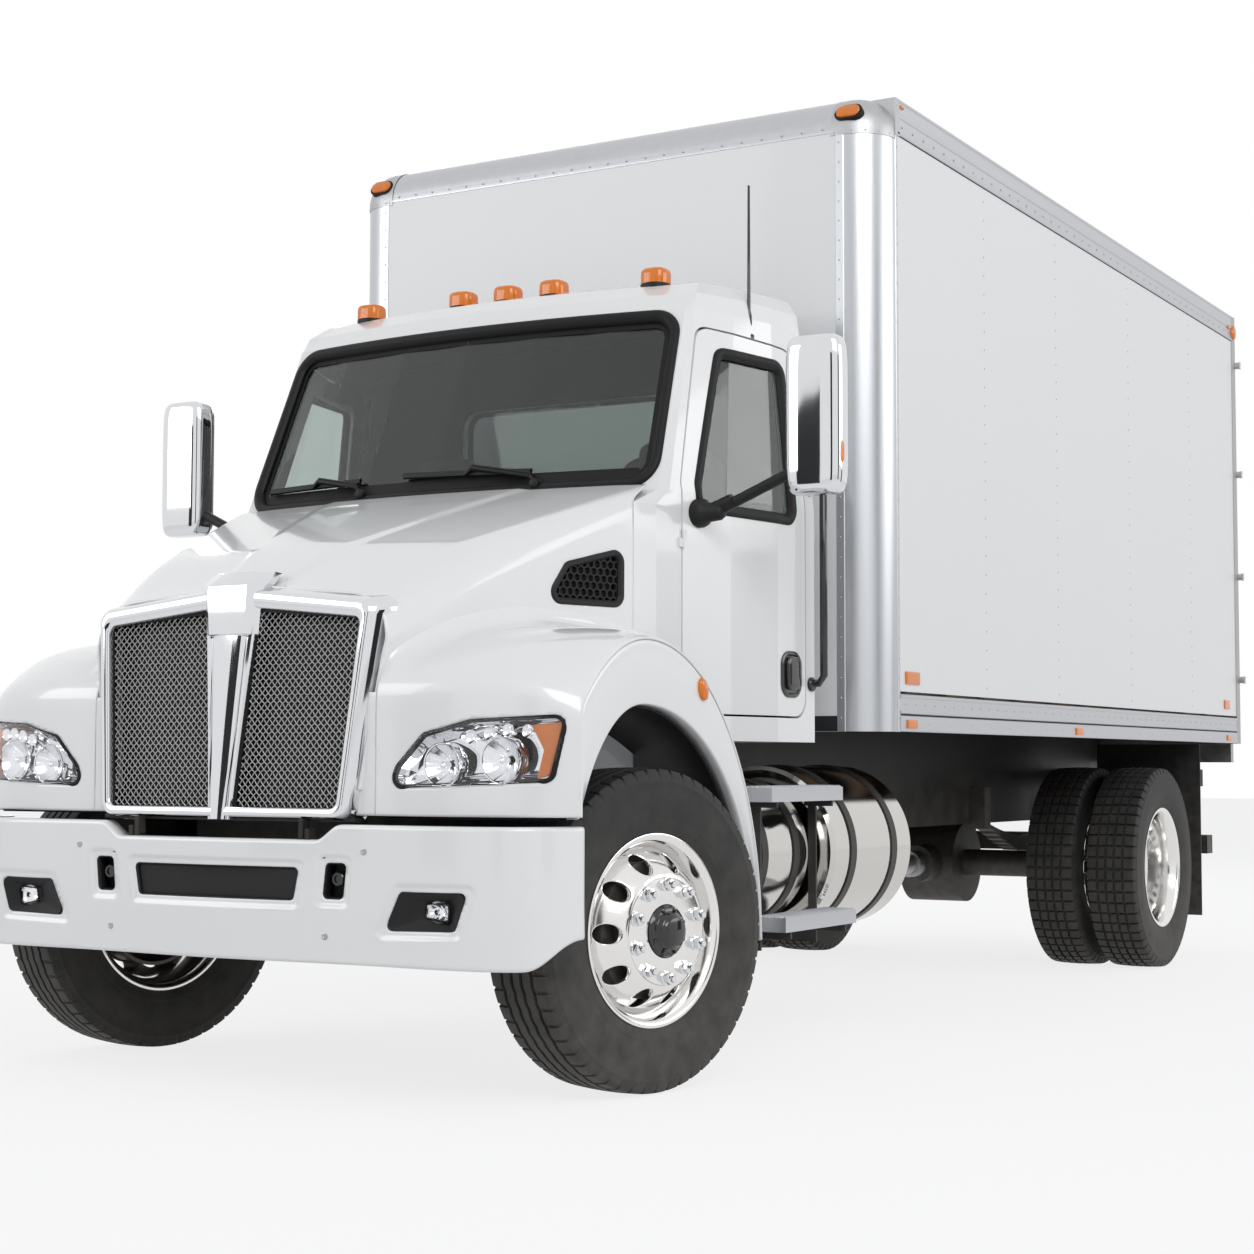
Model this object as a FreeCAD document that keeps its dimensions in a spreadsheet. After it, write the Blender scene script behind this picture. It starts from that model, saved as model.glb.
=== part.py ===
"""Box truck: a medium conventional cab and a van body on one ladder frame.

Millimetres, +Z up, front towards -Y, the vehicle's left towards +X.  The origin lies on the
ground, on the centre line, half way along the overall length.  "Behind" below means behind
the front axle.
"""
import FreeCAD
import Part
import math
import os
import re
from types import SimpleNamespace

import Sketcher

os.makedirs("parts", exist_ok=True)
doc = FreeCAD.newDocument("BoxTruck")
sheet = doc.addObject("Spreadsheet::Sheet", "Sizes")
Vector = FreeCAD.Vector
Rotation = FreeCAD.Rotation
Placement = FreeCAD.Placement
ORIGIN = Vector(0, 0, 0)
X_AXIS, Y_AXIS, Z_AXIS = Vector(1, 0, 0), Vector(0, 1, 0), Vector(0, 0, 1)

# Driving dimensions: alias, value, what it is.
SIZES = [
    ("overall_length", 7220, "front bumper face to rear bumper"),
    ("front_overhang", 810, "bumper face to front axle"),
    ("rear_overhang", 1432, "rear axle to rear bumper"),
    ("overrun", 20, "how far a cut runs past what it cuts"),
    ("fit_gap", 0.3, "gap between curved faces that nearly touch"),
    ("panel_gap", 7, "gap round doors and hood"),
    # Wheels and tyres
    ("tyre_radius", 500, "tread radius and axle height"),
    ("tyre_width", 256, "section width"),
    ("tread_width", 214, "tread"),
    ("shoulder_drop", 14, "shoulder below the tread"),
    ("bead_radius", 286, "bead seat"),
    ("rim_width", 228, "over the rim lips"),
    ("rim_lip_height", 12, "lip above the bead seat"),
    ("rim_lip_width", 9, "thickness of a lip"),
    ("rim_wall", 9, "barrel wall"),
    ("rim_well_depth", 22, "drop centre below the bead seat"),
    ("disc_thickness", 13, "wheel disc"),
    ("disc_bore_radius", 82, "centre bore of the disc"),
    ("disc_flat_radius", 168, "flat centre of the disc"),
    ("disc_root", 46, "where the disc meets the barrel, from the rim's middle"),
    ("hand_hole_radius", 32, "hand hole in the disc"),
    ("hand_hole_circle", 212, "radius of the circle of hand holes"),
    ("hand_hole_count", 10, "hand holes in a disc"),
    ("front_cap", 42, "front hub beyond the disc"),
    ("rear_cap", 112, "rear hub beyond the discs"),
    ("hub_end", 40, "solid end of a hub"),
    ("hub_core", 60, "hub inside the drum"),
    ("hub_flange", 158, "hub's flange behind the disc"),
    ("drum_back", 71, "drum's outer end behind the disc's face"),
    ("drum_wall", 13, "brake drum"),
    ("hub_radius", 78, "hub inside the disc's bore"),
    ("drum_radius", 212, "brake drum"),
    ("drum_width", 140, "brake drum"),
    ("front_wheel_x", 1030, "middle of a front tyre from the centre line"),
    ("kingpin_x", 885, "kingpin from the centre line"),
    ("kingpin_radius", 22, "kingpin"),
    ("rest_steer", 13, "front wheels as parked, degrees to the right"),
    ("rear_wheel_x", 1085, "middle of an outer rear tyre"),
    ("dual_spacing", 312, "between the tyres of a pair"),
    ("spindle_radius", 38, "spindle in the hub"),
    # Frame, axles, springs and driveline
    ("frame_width", 864, "over the rails"),
    ("rail_height", 270, "side rail"),
    ("rail_flange", 89, "side rail flange"),
    ("rail_web", 9, "side rail web and flange thickness"),
    ("rail_top", 990, "top of the rails above ground"),
    ("rail_setback", 150, "rail's front end behind the bumper face"),
    ("rail_end_gap", 150, "rail's rear end ahead of the overall rear"),
    ("cross_count", 5, "crossmembers between the rails"),
    ("cross_first", 1300, "first crossmember behind"),
    ("cross_last", 920, "last crossmember ahead of the rails' rear end"),
    ("cross_height", 190, "crossmember"),
    ("cross_width", 90, "crossmember"),
    ("beam_depth", 92, "front axle beam, top to bottom"),
    ("beam_width", 96, "front axle beam, front to back"),
    ("beam_drop", 74, "beam's middle below the wheel centre"),
    ("beam_seat_x", 620, "where the beam starts to rise"),
    ("boss_radius", 44, "kingpin boss of the beam"),
    ("boss_height", 120, "kingpin boss of the beam"),
    ("knuckle_ear", 34, "thickness of a knuckle's ear"),
    ("steer_arm", 190, "knuckle's arm, kingpin to tie rod"),
    ("steer_arm_thickness", 28, "knuckle's arm"),
    ("tie_rod_radius", 17, "tie rod"),
    ("tie_ball_radius", 24, "tie rod's end"),
    ("spring_width", 76, "leaf spring"),
    ("spring_leaf", 11, "one leaf"),
    ("front_spring_leaves", 5, "leaves of a front spring"),
    ("front_spring_length", 1180, "front spring's main leaf"),
    ("front_spring_rise", 96, "front spring's ends above its middle"),
    ("rear_spring_leaves", 7, "leaves of a rear spring"),
    ("rear_spring_length", 1320, "rear spring's main leaf"),
    ("rear_spring_rise", 90, "rear spring's ends above its middle"),
    ("axle_tube_radius", 68, "rear axle tube"),
    ("banjo_radius", 205, "rear axle's middle housing"),
    ("banjo_width", 300, "rear axle's middle housing"),
    ("pinion_length", 330, "rear axle's nose, ahead of its centre"),
    ("pinion_radius", 95, "rear axle's nose"),
    ("shaft_radius", 50, "drive shaft"),
    ("yoke_radius", 66, "drive shaft's joints"),
    ("yoke_length", 96, "drive shaft's joints"),
    ("engine_length", 740, "engine block"),
    ("engine_width", 620, "engine block"),
    ("engine_height", 860, "engine block"),
    ("gearbox_length", 620, "gearbox behind the engine"),
    ("gearbox_width", 420, "gearbox"),
    ("gearbox_height", 460, "gearbox"),
    ("engine_behind", -520, "front of the block"),
    ("engine_bottom", 560, "bottom of the block above ground"),
    ("radiator_width", 820, "radiator core"),
    ("radiator_height", 460, "radiator core"),
    ("radiator_depth", 90, "radiator core"),
    ("radiator_behind", -650, "radiator's front face"),
    # Tank, canister, battery box and steps
    ("tank_radius", 305, "fuel tank"),
    ("tank_x", 850, "fuel tank's axis from the centre line"),
    ("tank_height", 700, "fuel tank's axis above ground"),
    ("tank_behind", 1190, "fuel tank's front end"),
    ("tank_length", 700, "fuel tank"),
    ("tank_edge", 14, "rounded edge of the tank's ends"),
    ("strap_width", 46, "tank strap"),
    ("strap_thickness", 5, "tank strap"),
    ("canister_radius", 262, "exhaust canister under the cab"),
    ("canister_behind", 660, "canister's front end"),
    ("canister_length", 470, "canister"),
    ("canister_x", 825, "canister's axis from the centre line"),
    ("box_inner_x", 560, "battery box's inner face from the centre line"),
    ("box_height", 460, "battery box"),
    ("step_out", 1190, "outer face of the upper step from the centre line"),
    ("step_depth", 117, "tread, front to back of the foot"),
    ("step_length", 560, "tread along the truck"),
    ("step_thickness", 48, "tread"),
    ("step_wall", 4, "tread's sheet"),
    ("step_behind", 630, "upper tread's front end"),
    ("upper_step_height", 932, "upper tread's top above ground"),
    ("lower_step_height", 500, "lower tread's top above ground"),
    ("lower_step_out", 50, "lower tread beyond the upper one"),
    ("step_bracket", 10, "step bracket plate"),
    # Bumper
    ("bumper_top", 830, "bumper's top above ground at its ends"),
    ("bumper_height", 412, "bumper, top to bottom"),
    ("bumper_dip", 46, "bumper's top lower under the grille"),
    ("bumper_dip_half", 395, "half width of the lower middle"),
    ("bumper_flat_half", 640, "half width of the nearly flat face"),
    ("bumper_crown", 26, "face further forward at the middle"),
    ("bumper_half_width", 1186, "bumper from the centre line"),
    ("bumper_sweep", 118, "face further back near the corner"),
    ("bumper_wing", 270, "depth of the bumper at its ends"),
    ("bumper_wall", 8, "bumper sheet"),
    ("bumper_return", 40, "depth of the sheet's return along its top and bottom"),
    ("bumper_corner", 1110, "where the face turns back"),
    ("tow_bore", 14, "radius of the tow pin's bore through a bumper arm"),
    ("tow_behind", 98, "tow pin's bore behind the bumper's face"),
    ("tow_opening_x", 455, "tow opening from the centre line"),
    ("tow_opening_width", 92, "tow opening"),
    ("tow_opening_height", 112, "tow opening"),
    ("tow_opening_z", 663, "tow opening above ground"),
    ("bumper_slot_half", 330, "half width of the middle slot"),
    ("bumper_slot_height", 104, "middle slot"),
    ("bumper_slot_z", 651, "middle slot above ground"),
    ("fog_x", 800, "fog lamp from the centre line"),
    ("fog_z", 582, "fog lamp above ground"),
    ("fog_radius", 52, "fog lamp"),
    ("fog_opening_width", 300, "fog lamp opening"),
    ("fog_opening_height", 122, "fog lamp opening"),
    ("fog_depth", 95, "fog lamp housing"),
    # Hood and fenders
    ("hood_pivot_behind", -765, "hood's pivot"),
    ("hood_pivot_z", 800, "hood's pivot above ground"),
    ("hinge_plate", 16, "hood hinge plates"),
    ("hinge_pin", 9, "hood hinge pins' radius"),
    ("hood_seam", 234, "hood's rear edge on the sides"),
    ("hood_wall", 7, "hood shell"),
    ("grille_top", 1517, "grille's upper outer corner above ground"),
    ("grille_bottom", 842, "grille's bottom above ground"),
    ("grille_top_half", 590, "grille's half width at the top"),
    ("grille_bottom_half", 505, "grille's half width at the bottom"),
    ("grille_top_behind", -716, "grille's face at its upper corner"),
    ("grille_bottom_behind", -764, "grille's face at its bottom"),
    ("grille_depth", 46, "grille surround"),
    ("grille_border", 66, "width of the surround"),
    ("grille_bar_top", 96, "half width of the middle bar at the top"),
    ("grille_bar_bottom", 44, "half width of the middle bar at the bottom"),
    ("grille_crown", 92, "crown above the grille's top corner"),
    ("mesh_wire", 5, "grille wire"),
    ("mesh_pitch", 52, "grille wire spacing"),
    ("hood_nose_half", 596, "hood's half width at the grille"),
    ("hood_nose_top", 1530, "hood's shoulder at the grille above ground"),
    ("hood_nose_crown", 1572, "hood's middle at the grille above ground"),
    ("hood_cowl_half", 884, "hood's half width at the seam"),
    ("hood_cowl_top", 1900, "hood's shoulder at the seam above ground"),
    ("hood_cowl_crown", 1934, "hood's middle at the seam above ground"),
    ("hood_shoulder", 120, "rounding of the hood's upper edges at the grille"),
    ("hood_cowl_shoulder", 48, "rounding of the hood's upper edges at the seam"),
    ("fender_out", 1190, "fender's outer face from the centre line"),
    ("fender_top", 1438, "fender's top above ground"),
    ("fender_front", -725, "fender's front at the grille"),
    ("fender_corner", -590, "fender's front at its outer corner"),
    ("fender_bottom", 856, "fender's bottom edge at the front"),
    ("fender_tail_z", 432, "bottom of the fender's tail above ground"),
    ("arch_behind", -190, "top of the wheel opening"),
    ("arch_top", 1197, "wheel opening above ground"),
    ("arch_front", 455, "wheel opening, its top to its front"),
    ("arch_rear", 735, "wheel opening, its top to its rear"),
    ("crest_top", 1390, "fender's outer crest above ground"),
    ("crest_front", 620, "crest's curve, its top to its front"),
    ("crest_rear", 748, "crest's curve, its top to its rear"),
    ("crest_inner_rear", 1300, "curve of the fender's inner top, to its rear"),
    ("fender_inner_x", 560, "fender's inner end under the hood"),
    ("tail_inner_x", 1060, "inner edge of the fender's tail"),
    ("lamp_inner_x", 612, "headlamp's inner end from the centre line"),
    ("lamp_outer_x", 1160, "headlamp's outer end from the centre line"),
    ("lamp_bottom", 938, "headlamp's bottom above ground"),
    ("lamp_top", 1152, "headlamp's top above ground"),
    ("lamp_depth", 90, "headlamp"),
    ("lamp_gap", 0.5, "gap round a headlamp"),
    ("vent_front", -114, "hood vent's front"),
    ("vent_rear", 183, "hood vent's rear"),
    ("vent_low", 1528, "hood vent's bottom above ground"),
    ("vent_high", 1705, "hood vent's top above ground"),
    # Cab
    ("cab_wall", 45, "cab wall, pillar and door thickness"),
    ("cab_bottom", 1090, "cab's lower edge above ground"),
    ("cab_front", 241, "cab's cowl front"),
    ("cab_front_half", 880, "cab's half width at the cowl"),
    ("cab_rear", 1272, "cab's rear face"),
    ("cab_rear_half", 1048, "cab's half width at the rear"),
    ("cab_roof", 2740, "roof above ground"),
    ("cab_floor_z", 1120, "cab floor's underside above ground"),
    ("cab_floor_thickness", 40, "cab floor"),
    ("cab_mount_front", 330, "front cab mounts"),
    ("cab_mount_rear", 1110, "rear cab mounts"),
    ("cab_mount_width", 90, "cab mount, along the rail"),
    ("belt_z", 1872, "cowl's top above ground"),
    ("glass_bottom_z", 1963, "windshield's bottom above ground"),
    ("glass_top_z", 2563, "windshield's top above ground"),
    ("glass_bottom_behind", 306, "windshield's bottom at the middle"),
    ("glass_top_behind", 548, "windshield's top at the middle"),
    ("glass_bottom_half", 854, "windshield's half width at its bottom"),
    ("glass_top_half", 811, "windshield's half width at its top"),
    ("glass_bow", 92, "windshield's corners behind its middle"),
    ("glass_thickness", 7, "glass"),
    ("glass_lip", 34, "pillar round the windshield"),
    ("roof_tuck", 30, "roof's step inwards"),
    ("rear_window_half", 480, "rear window's half width"),
    ("column_tilt", 28, "steering column, degrees"),
    ("door_front", 487, "door's front edge"),
    ("door_rear", 1188, "door's rear edge"),
    ("door_bottom", 1182, "door's bottom above ground"),
    ("door_top", 2530, "door's top above ground"),
    ("door_front_half", 927, "cab's half width at the door's front edge"),
    ("door_rake", 190, "door's front edge further back at its top"),
    ("window_border", 78, "door frame round the window"),
    ("window_bottom", 1880, "door window's bottom above ground"),
    ("door_hinge_x", 933, "door's pivot from the centre line"),
    ("door_hinge_radius", 6, "door hinge barrels"),
    ("door_hinge_tall", 30, "half of a door hinge"),
    ("door_hinge_leaf", 24, "leaf of a door hinge"),
    ("door_hinge_low", 1300, "lower door hinge above ground"),
    ("door_hinge_high", 1740, "upper door hinge above ground"),
    ("mirror_x", 1376, "mirror from the centre line"),
    ("mirror_behind", 596, "mirror"),
    ("mirror_bottom", 1902, "mirror head's bottom above ground"),
    ("mirror_height", 533, "mirror head"),
    ("mirror_width", 205, "mirror head"),
    ("mirror_depth", 118, "mirror head, front to back"),
    ("mirror_arm_radius", 21, "mirror arm"),
    ("mirror_ball_radius", 29.4, "joint between the arm and its foot"),
    ("mirror_arm_z", 1862, "mirror arm's foot above ground"),
    ("seat_width", 500, "seat"),
    ("seat_depth", 500, "seat"),
    ("seat_height", 420, "seat's top above the floor"),
    ("seat_back", 640, "backrest above the seat"),
    ("seat_thickness", 130, "backrest"),
    ("seat_x", 520, "seat's middle from the centre line"),
    ("dash_depth", 250, "dashboard"),
    ("dash_height", 460, "dashboard"),
    ("steering_wheel_radius", 225, "steering wheel"),
    ("steering_rim_radius", 15, "steering wheel's rim"),
    ("steering_spoke_radius", 12, "steering wheel's spokes"),
    ("steering_column_radius", 22.5, "steering column"),
    ("marker_radius", 44, "roof marker"),
    ("marker_height", 34, "roof marker"),
    ("marker_outer_x", 636, "outer roof marker from the centre line"),
    ("marker_inner_x", 203, "inner roof marker from the centre line"),
    ("marker_behind", 800, "roof markers"),
    ("antenna_x", 950, "antenna from the centre line"),
    ("antenna_length", 560, "antenna"),
    ("antenna_radius", 4, "antenna"),
    ("antenna_base_radius", 16, "antenna's base"),
    ("antenna_base_length", 117, "antenna's base"),
    ("grab_radius", 15, "grab handle"),
    ("grab_bottom", 1300, "grab handle's lower foot above ground"),
    ("grab_top", 2010, "grab handle's upper foot above ground"),
    ("grab_stand", 62, "grab handle from the cab's side"),
    # Van body
    ("body_front", 1462, "front of the van body"),
    ("body_end", 18, "rear bumper behind the van body"),
    ("body_width", 2438, "van body"),
    ("body_bottom", 1133, "bottom rail's underside above ground"),
    ("bottom_rail", 152, "bottom rail's height"),
    ("top_rail", 139, "top rail's height"),
    ("body_top", 3541, "roof's edge above ground"),
    ("side_wall", 20, "side panel"),
    ("rail_proud", 4, "rails beyond the side panels"),
    ("rail_sheet", 26, "rail thickness"),
    ("front_wall", 38, "front wall"),
    ("post_round", 152, "front corner post's radius"),
    ("post_wall", 12, "front corner post's wall"),
    ("post_flange", 18, "front corner post's flange"),
    ("roof_skin", 24, "roof"),
    ("floor_thickness", 40, "load floor"),
    ("joist_count", 12, "joists under the load floor"),
    ("joist_height", 102, "joist"),
    ("joist_width", 56, "joist"),
    ("rear_frame_depth", 70, "rear frame, front to back"),
    ("rear_post", 76, "rear frame's posts"),
    ("rear_header", 130, "rear frame's top"),
    ("cargo_door_thickness", 38, "cargo door"),
    ("cargo_gap", 9, "gap round the cargo doors"),
    ("cargo_hinge_out", 30, "cargo door's pivot beyond the body"),
    ("lock_rod_radius", 9, "lock rod"),
    ("cargo_hinge_plate", 7.2, "cargo door's hinge straps"),
    ("cargo_hinge_radius", 8.5, "cargo door's hinge barrels"),
    ("side_marker_width", 62, "side marker"),
    ("side_marker_height", 42, "side marker"),
    ("side_marker_depth", 9, "side marker"),
    ("flap_width", 560, "mud flap"),
    ("flap_height", 900, "mud flap"),
    ("flap_thickness", 9, "mud flap"),
    ("flap_gap", 130, "mud flap behind the rear tyres"),
    ("guard_size", 102, "rear bumper's tube"),
    ("guard_z", 520, "rear bumper's underside above ground"),
    ("guard_width", 2100, "rear bumper"),
    ("lamp_radius", 52, "tail lamp's housing"),
    ("tail_lamp_depth", 9, "tail lamp"),
]
NAMES = {alias for alias, _, _ in SIZES}
for row, (alias, value, meaning) in enumerate(SIZES, start=1):
    sheet.set(f"A{row}", meaning)
    sheet.set(f"B{row}", str(value))
    sheet.setAlias(f"B{row}", alias)
doc.recompute()
s = SimpleNamespace(**{alias: float(sheet.get(alias)) for alias in NAMES})

# Places that follow from the sizes, as expressions for bound objects and as numbers.
AXLE = "(front_overhang - overall_length / 2)"
REAR_AXLE = "(overall_length / 2 - rear_overhang)"
BODY_FRONT = f"({AXLE} + body_front)"
BODY_REAR = "(overall_length / 2 - body_end)"
TOP_RAIL_Z = "(body_top - top_rail)"
FLOOR_TOP = "(body_bottom + bottom_rail + floor_thickness)"
axle_y = s.front_overhang - s.overall_length / 2
rear_axle_y = s.overall_length / 2 - s.rear_overhang
body_front_y = axle_y + s.body_front
body_rear_y = s.overall_length / 2 - s.body_end
top_rail_z = s.body_top - s.top_rail
half_body = s.body_width / 2
WORD = re.compile(r"[A-Za-z_]\w*")


def cell(text):
    """Expression text with each size's name pointing at its cell."""
    return WORD.sub(lambda m: "Sizes." + m.group() if m.group() in NAMES else m.group(), text)


def bind(thing, **expressions):
    """Bind properties to expressions; x, y and z are the placement's base."""
    for prop, text in expressions.items():
        path = f"Placement.Base.{prop}" if prop in "xyz" else prop
        thing.setExpression(path, cell(text))
    return thing


def block(name, x, y, z):
    """Box between two corners, given as a pair of expressions for each axis."""
    box = doc.addObject("Part::Box", name)
    bind(box, Length=f"({x[1]}) - ({x[0]})", Width=f"({y[1]}) - ({y[0]})",
         Height=f"({z[1]}) - ({z[0]})", x=x[0], y=y[0], z=z[0])
    return box


TURNS = {"x": Rotation(Y_AXIS, 90), "y": Rotation(X_AXIS, -90), "z": Rotation()}


def rod(name, radius, length, along, x="0", y="0", z="0"):
    """Cylinder from a point along an axis."""
    cylinder = doc.addObject("Part::Cylinder", name)
    cylinder.Placement = Placement(ORIGIN, TURNS[along])
    return bind(cylinder, Radius=radius, Height=length, x=x, y=y, z=z)


def fused(name, *things):
    fuse = doc.addObject("Part::MultiFuse", name)
    fuse.Shapes = list(things)
    return fuse


def cut(name, base, tool):
    difference = doc.addObject("Part::Cut", name)
    difference.Base = base
    difference.Tool = tool
    return difference


def group(name, *things):
    """Separate solids of one sub-part."""
    compound = doc.addObject("Part::Compound", name)
    compound.Links = list(things)
    return compound


def mirrored(name, source):
    """Copy on the truck's other side."""
    mirror = doc.addObject("Part::Mirroring", name)
    mirror.Source = source
    mirror.Normal = X_AXIS
    return mirror


def made(name, shape):
    """Sub-part whose shape is worked out from the sizes."""
    feature = doc.addObject("Part::Feature", name)
    feature.Shape = shape
    return feature


def plane_of(body, role):
    return next(item for item in body.Origin.OriginFeatures if item.Role == role)


def outline(body, role, points, name="outline", offset=None):
    """Closed polygon in a sketch, each corner bound to a pair of expressions."""
    sketch = body.newObject("Sketcher::SketchObject", f"{body.Name}_{name}")
    sketch.AttachmentSupport = [(plane_of(body, role), "")]
    sketch.MapMode = "FlatFace"
    if offset:
        sketch.setExpression("AttachmentOffset.Base.z", cell(offset))
    corners = [Vector(*(float(sheet.evalExpression(cell(text))) for text in point), 0)
               for point in points]
    count = len(corners)
    sketch.addGeometry([Part.LineSegment(corners[i], corners[(i + 1) % count])
                        for i in range(count)], False)
    for i in range(count):
        sketch.addConstraint(Sketcher.Constraint("Coincident", i, 2, (i + 1) % count, 1))
    for i, point in enumerate(points):
        for kind, text, value in zip(("DistanceX", "DistanceY"), point, corners[i]):
            index = sketch.addConstraint(Sketcher.Constraint(kind, -1, 1, i, 1, value))
            sketch.setExpression(f"Constraints[{index}]", cell(text))
    return sketch


def pad(body, sketch, length):
    feature = body.newObject("PartDesign::Pad", f"{body.Name}_pad")
    feature.Profile = sketch
    feature.setExpression("Length", cell(length))
    return feature


def revolved(body, sketch, axis_role):
    feature = body.newObject("PartDesign::Revolution", f"{body.Name}_turned")
    feature.Profile = sketch
    feature.ReferenceAxis = (plane_of(body, axis_role), [""])
    feature.Angle = 360
    return feature


def new_body(name):
    return doc.addObject("PartDesign::Body", name)


# Plain helpers for shapes that are worked out point by point.
def extrude(points, direction, radius=0):
    """Prism of a closed polygon whose corners are rounded by radius."""
    return Part.Face(ring(points, radius)).extrude(direction)


def ring(points, radius=0):
    """Closed wire through points, its corners rounded where radius is not zero."""
    if not radius:
        return Part.makePolygon(points + points[:1])
    count = len(points)
    edges, starts, ends = [], [], []
    for i, corner in enumerate(points):
        before = points[i - 1] - corner
        after = points[(i + 1) % count] - corner
        half_turn = before.getAngle(after) / 2
        reach = radius / math.tan(half_turn)
        before.normalize()
        after.normalize()
        inward = before + after
        inward.normalize()
        middle = corner + inward * (radius / math.sin(half_turn) - radius)
        starts.append(corner + before * reach)
        ends.append(corner + after * reach)
        edges.append(Part.Arc(starts[-1], middle, ends[-1]).toShape())
    sides = [Part.LineSegment(ends[i], starts[(i + 1) % count]).toShape() for i in range(count)]
    return Part.Wire([edge for pair in zip(edges, sides) for edge in pair])


def loft(rings, ruled=True):
    return Part.makeLoft(rings, True, ruled)


def both(shape):
    """The shape and its copy on the truck's other side."""
    return Part.Compound([shape, shape.mirror(ORIGIN, X_AXIS)])


def solids_of(*shapes):
    return Part.Compound([solid for shape in shapes for solid in shape.Solids])


def box_at(x, y, z):
    return Part.makeBox(x[1] - x[0], y[1] - y[0], z[1] - z[0], Vector(x[0], y[0], z[0]))


def tube_along(points, radius):
    """Round bar through points with balls at its bends."""
    pieces = []
    for start, end in zip(points, points[1:]):
        pieces.append(Part.makeCylinder(radius, (end - start).Length, start, end - start))
    for bend in points[1:-1]:
        pieces.append(Part.makeSphere(radius, bend))
    return pieces[0].multiFuse(pieces[1:]) if len(pieces) > 1 else pieces[0]


# Ladder frame.
def frame_rails():
    """Two channels, open towards each other, padded front to back."""
    body = new_body("frame_rails")
    half, top, bottom = "frame_width / 2", "rail_top", "(rail_top - rail_height)"
    lip, web = f"({half} - rail_flange)", f"({half} - rail_web)"
    sketch = outline(body, "XZ_Plane", [
        (half, top), (lip, top), (lip, f"{top} - rail_web"), (web, f"{top} - rail_web"),
        (web, f"{bottom} + rail_web"), (lip, f"{bottom} + rail_web"), (lip, bottom),
        (half, bottom)], offset="-(overall_length / 2 - rail_end_gap)")
    rail = pad(body, sketch, "overall_length - rail_setback - rail_end_gap")
    pair = body.newObject("PartDesign::Mirrored", "frame_rails_pair")
    pair.Originals = [rail]
    pair.MirrorPlane = (plane_of(body, "YZ_Plane"), [""])
    body.Tip = pair
    return body


def frame():
    """Rails and crossmembers, joined."""
    return fused("frame", frame_rails(), frame_crossmembers())


def frame_crossmembers():
    """Channels between the rails' webs, repeated along the frame."""
    body = new_body("frame_crossmembers")
    top = "(rail_top - rail_height / 2 + cross_height / 2)"
    bottom = "(rail_top - rail_height / 2 - cross_height / 2)"
    front = f"({AXLE} + cross_first)"
    rear = f"({front} + cross_width)"
    inner = f"({front} + rail_web)"
    sketch = outline(body, "YZ_Plane", [
        (front, bottom), (rear, bottom), (rear, f"{bottom} + rail_web"),
        (inner, f"{bottom} + rail_web"), (inner, f"{top} - rail_web"),
        (rear, f"{top} - rail_web"), (rear, top), (front, top)],
        offset="-(frame_width / 2 - rail_web)")
    member = pad(body, sketch, "frame_width - 2 * rail_web")
    row_of = body.newObject("PartDesign::LinearPattern", "frame_crossmembers_row")
    row_of.Originals = [member]
    row_of.Direction = (plane_of(body, "Y_Axis"), [""])
    bind(row_of, Length=f"overall_length / 2 - rail_end_gap - cross_last - {front}",
         Occurrences="cross_count")
    body.Tip = row_of
    return body


# Axles, springs and driveline.
boss_low = s.tyre_radius - s.boss_height / 2
beam_bottom = s.tyre_radius - s.beam_drop - s.beam_depth / 2


def front_axle():
    """Dropped beam with a bored boss for each kingpin."""
    low, high = beam_bottom, beam_bottom + s.beam_depth
    rise = s.tyre_radius + s.beam_depth / 2 - high
    half = [(s.beam_seat_x, low), (s.kingpin_x - s.boss_radius, low + rise),
            (s.kingpin_x, low + rise), (s.kingpin_x, high + rise),
            (s.kingpin_x - s.boss_radius, high + rise), (s.beam_seat_x, high)]
    corners = half + [(-x, z) for x, z in reversed(half)]
    front = axle_y - s.beam_width / 2
    beam = extrude([Vector(x, front, z) for x, z in corners], Vector(0, s.beam_width, 0))
    for side in (-1, 1):
        at = Vector(side * s.kingpin_x, axle_y, boss_low)
        end = Part.makeBox(s.beam_width, s.beam_width, s.boss_height + 2 * s.overrun,
                           at + Vector(0 if side > 0 else -s.beam_width, -s.beam_width / 2,
                                       -s.overrun))
        beam = beam.cut(end).fuse(Part.makeCylinder(s.boss_radius, s.boss_height, at))
        bore = Part.makeCylinder(s.kingpin_radius + s.fit_gap, s.boss_height + 2 * s.overrun,
                                 at - Vector(0, 0, s.overrun))
        beam = beam.cut(bore)
    return made("front_axle", beam.removeSplitter())


def leaf_pack(middle, leaves, length, rise, seat_z):
    """Stack of curved leaves, each shorter than the one above; the longest is on top."""
    leaves = int(leaves)
    halves = [length / 2 * (1 - number / (leaves + 2)) for number in range(leaves)] + [0]

    def low(y, number):
        return seat_z + (leaves - 1 - number) * s.spring_leaf + rise * (2 * y / length) ** 2
    right = [(y, low(y, 0) + s.spring_leaf) for y in halves[::-1]]
    for number, (outer, inner) in enumerate(zip(halves, halves[1:])):
        right += [(outer, low(outer, number)), (inner, low(inner, number))]
    left = [(-y, z) for y, z in right[-2:0:-1]]
    return extrude([Vector(0, middle.y + y, z) for y, z in right + left],
                   Vector(s.spring_width, 0, 0))


spring_x = s.frame_width / 2 - s.spring_width + s.rail_web
front_seat_z = beam_bottom + s.beam_depth
rear_spring_x = s.frame_width / 2 + s.fit_gap
rear_seat_z = s.tyre_radius + s.axle_tube_radius + s.fit_gap


def hanger(x, y, top, low, depth):
    """Bracket from the rail down to a spring's end."""
    return box_at((x, x + s.spring_width), (y - depth / 2, y + depth / 2), (low, top))


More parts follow.
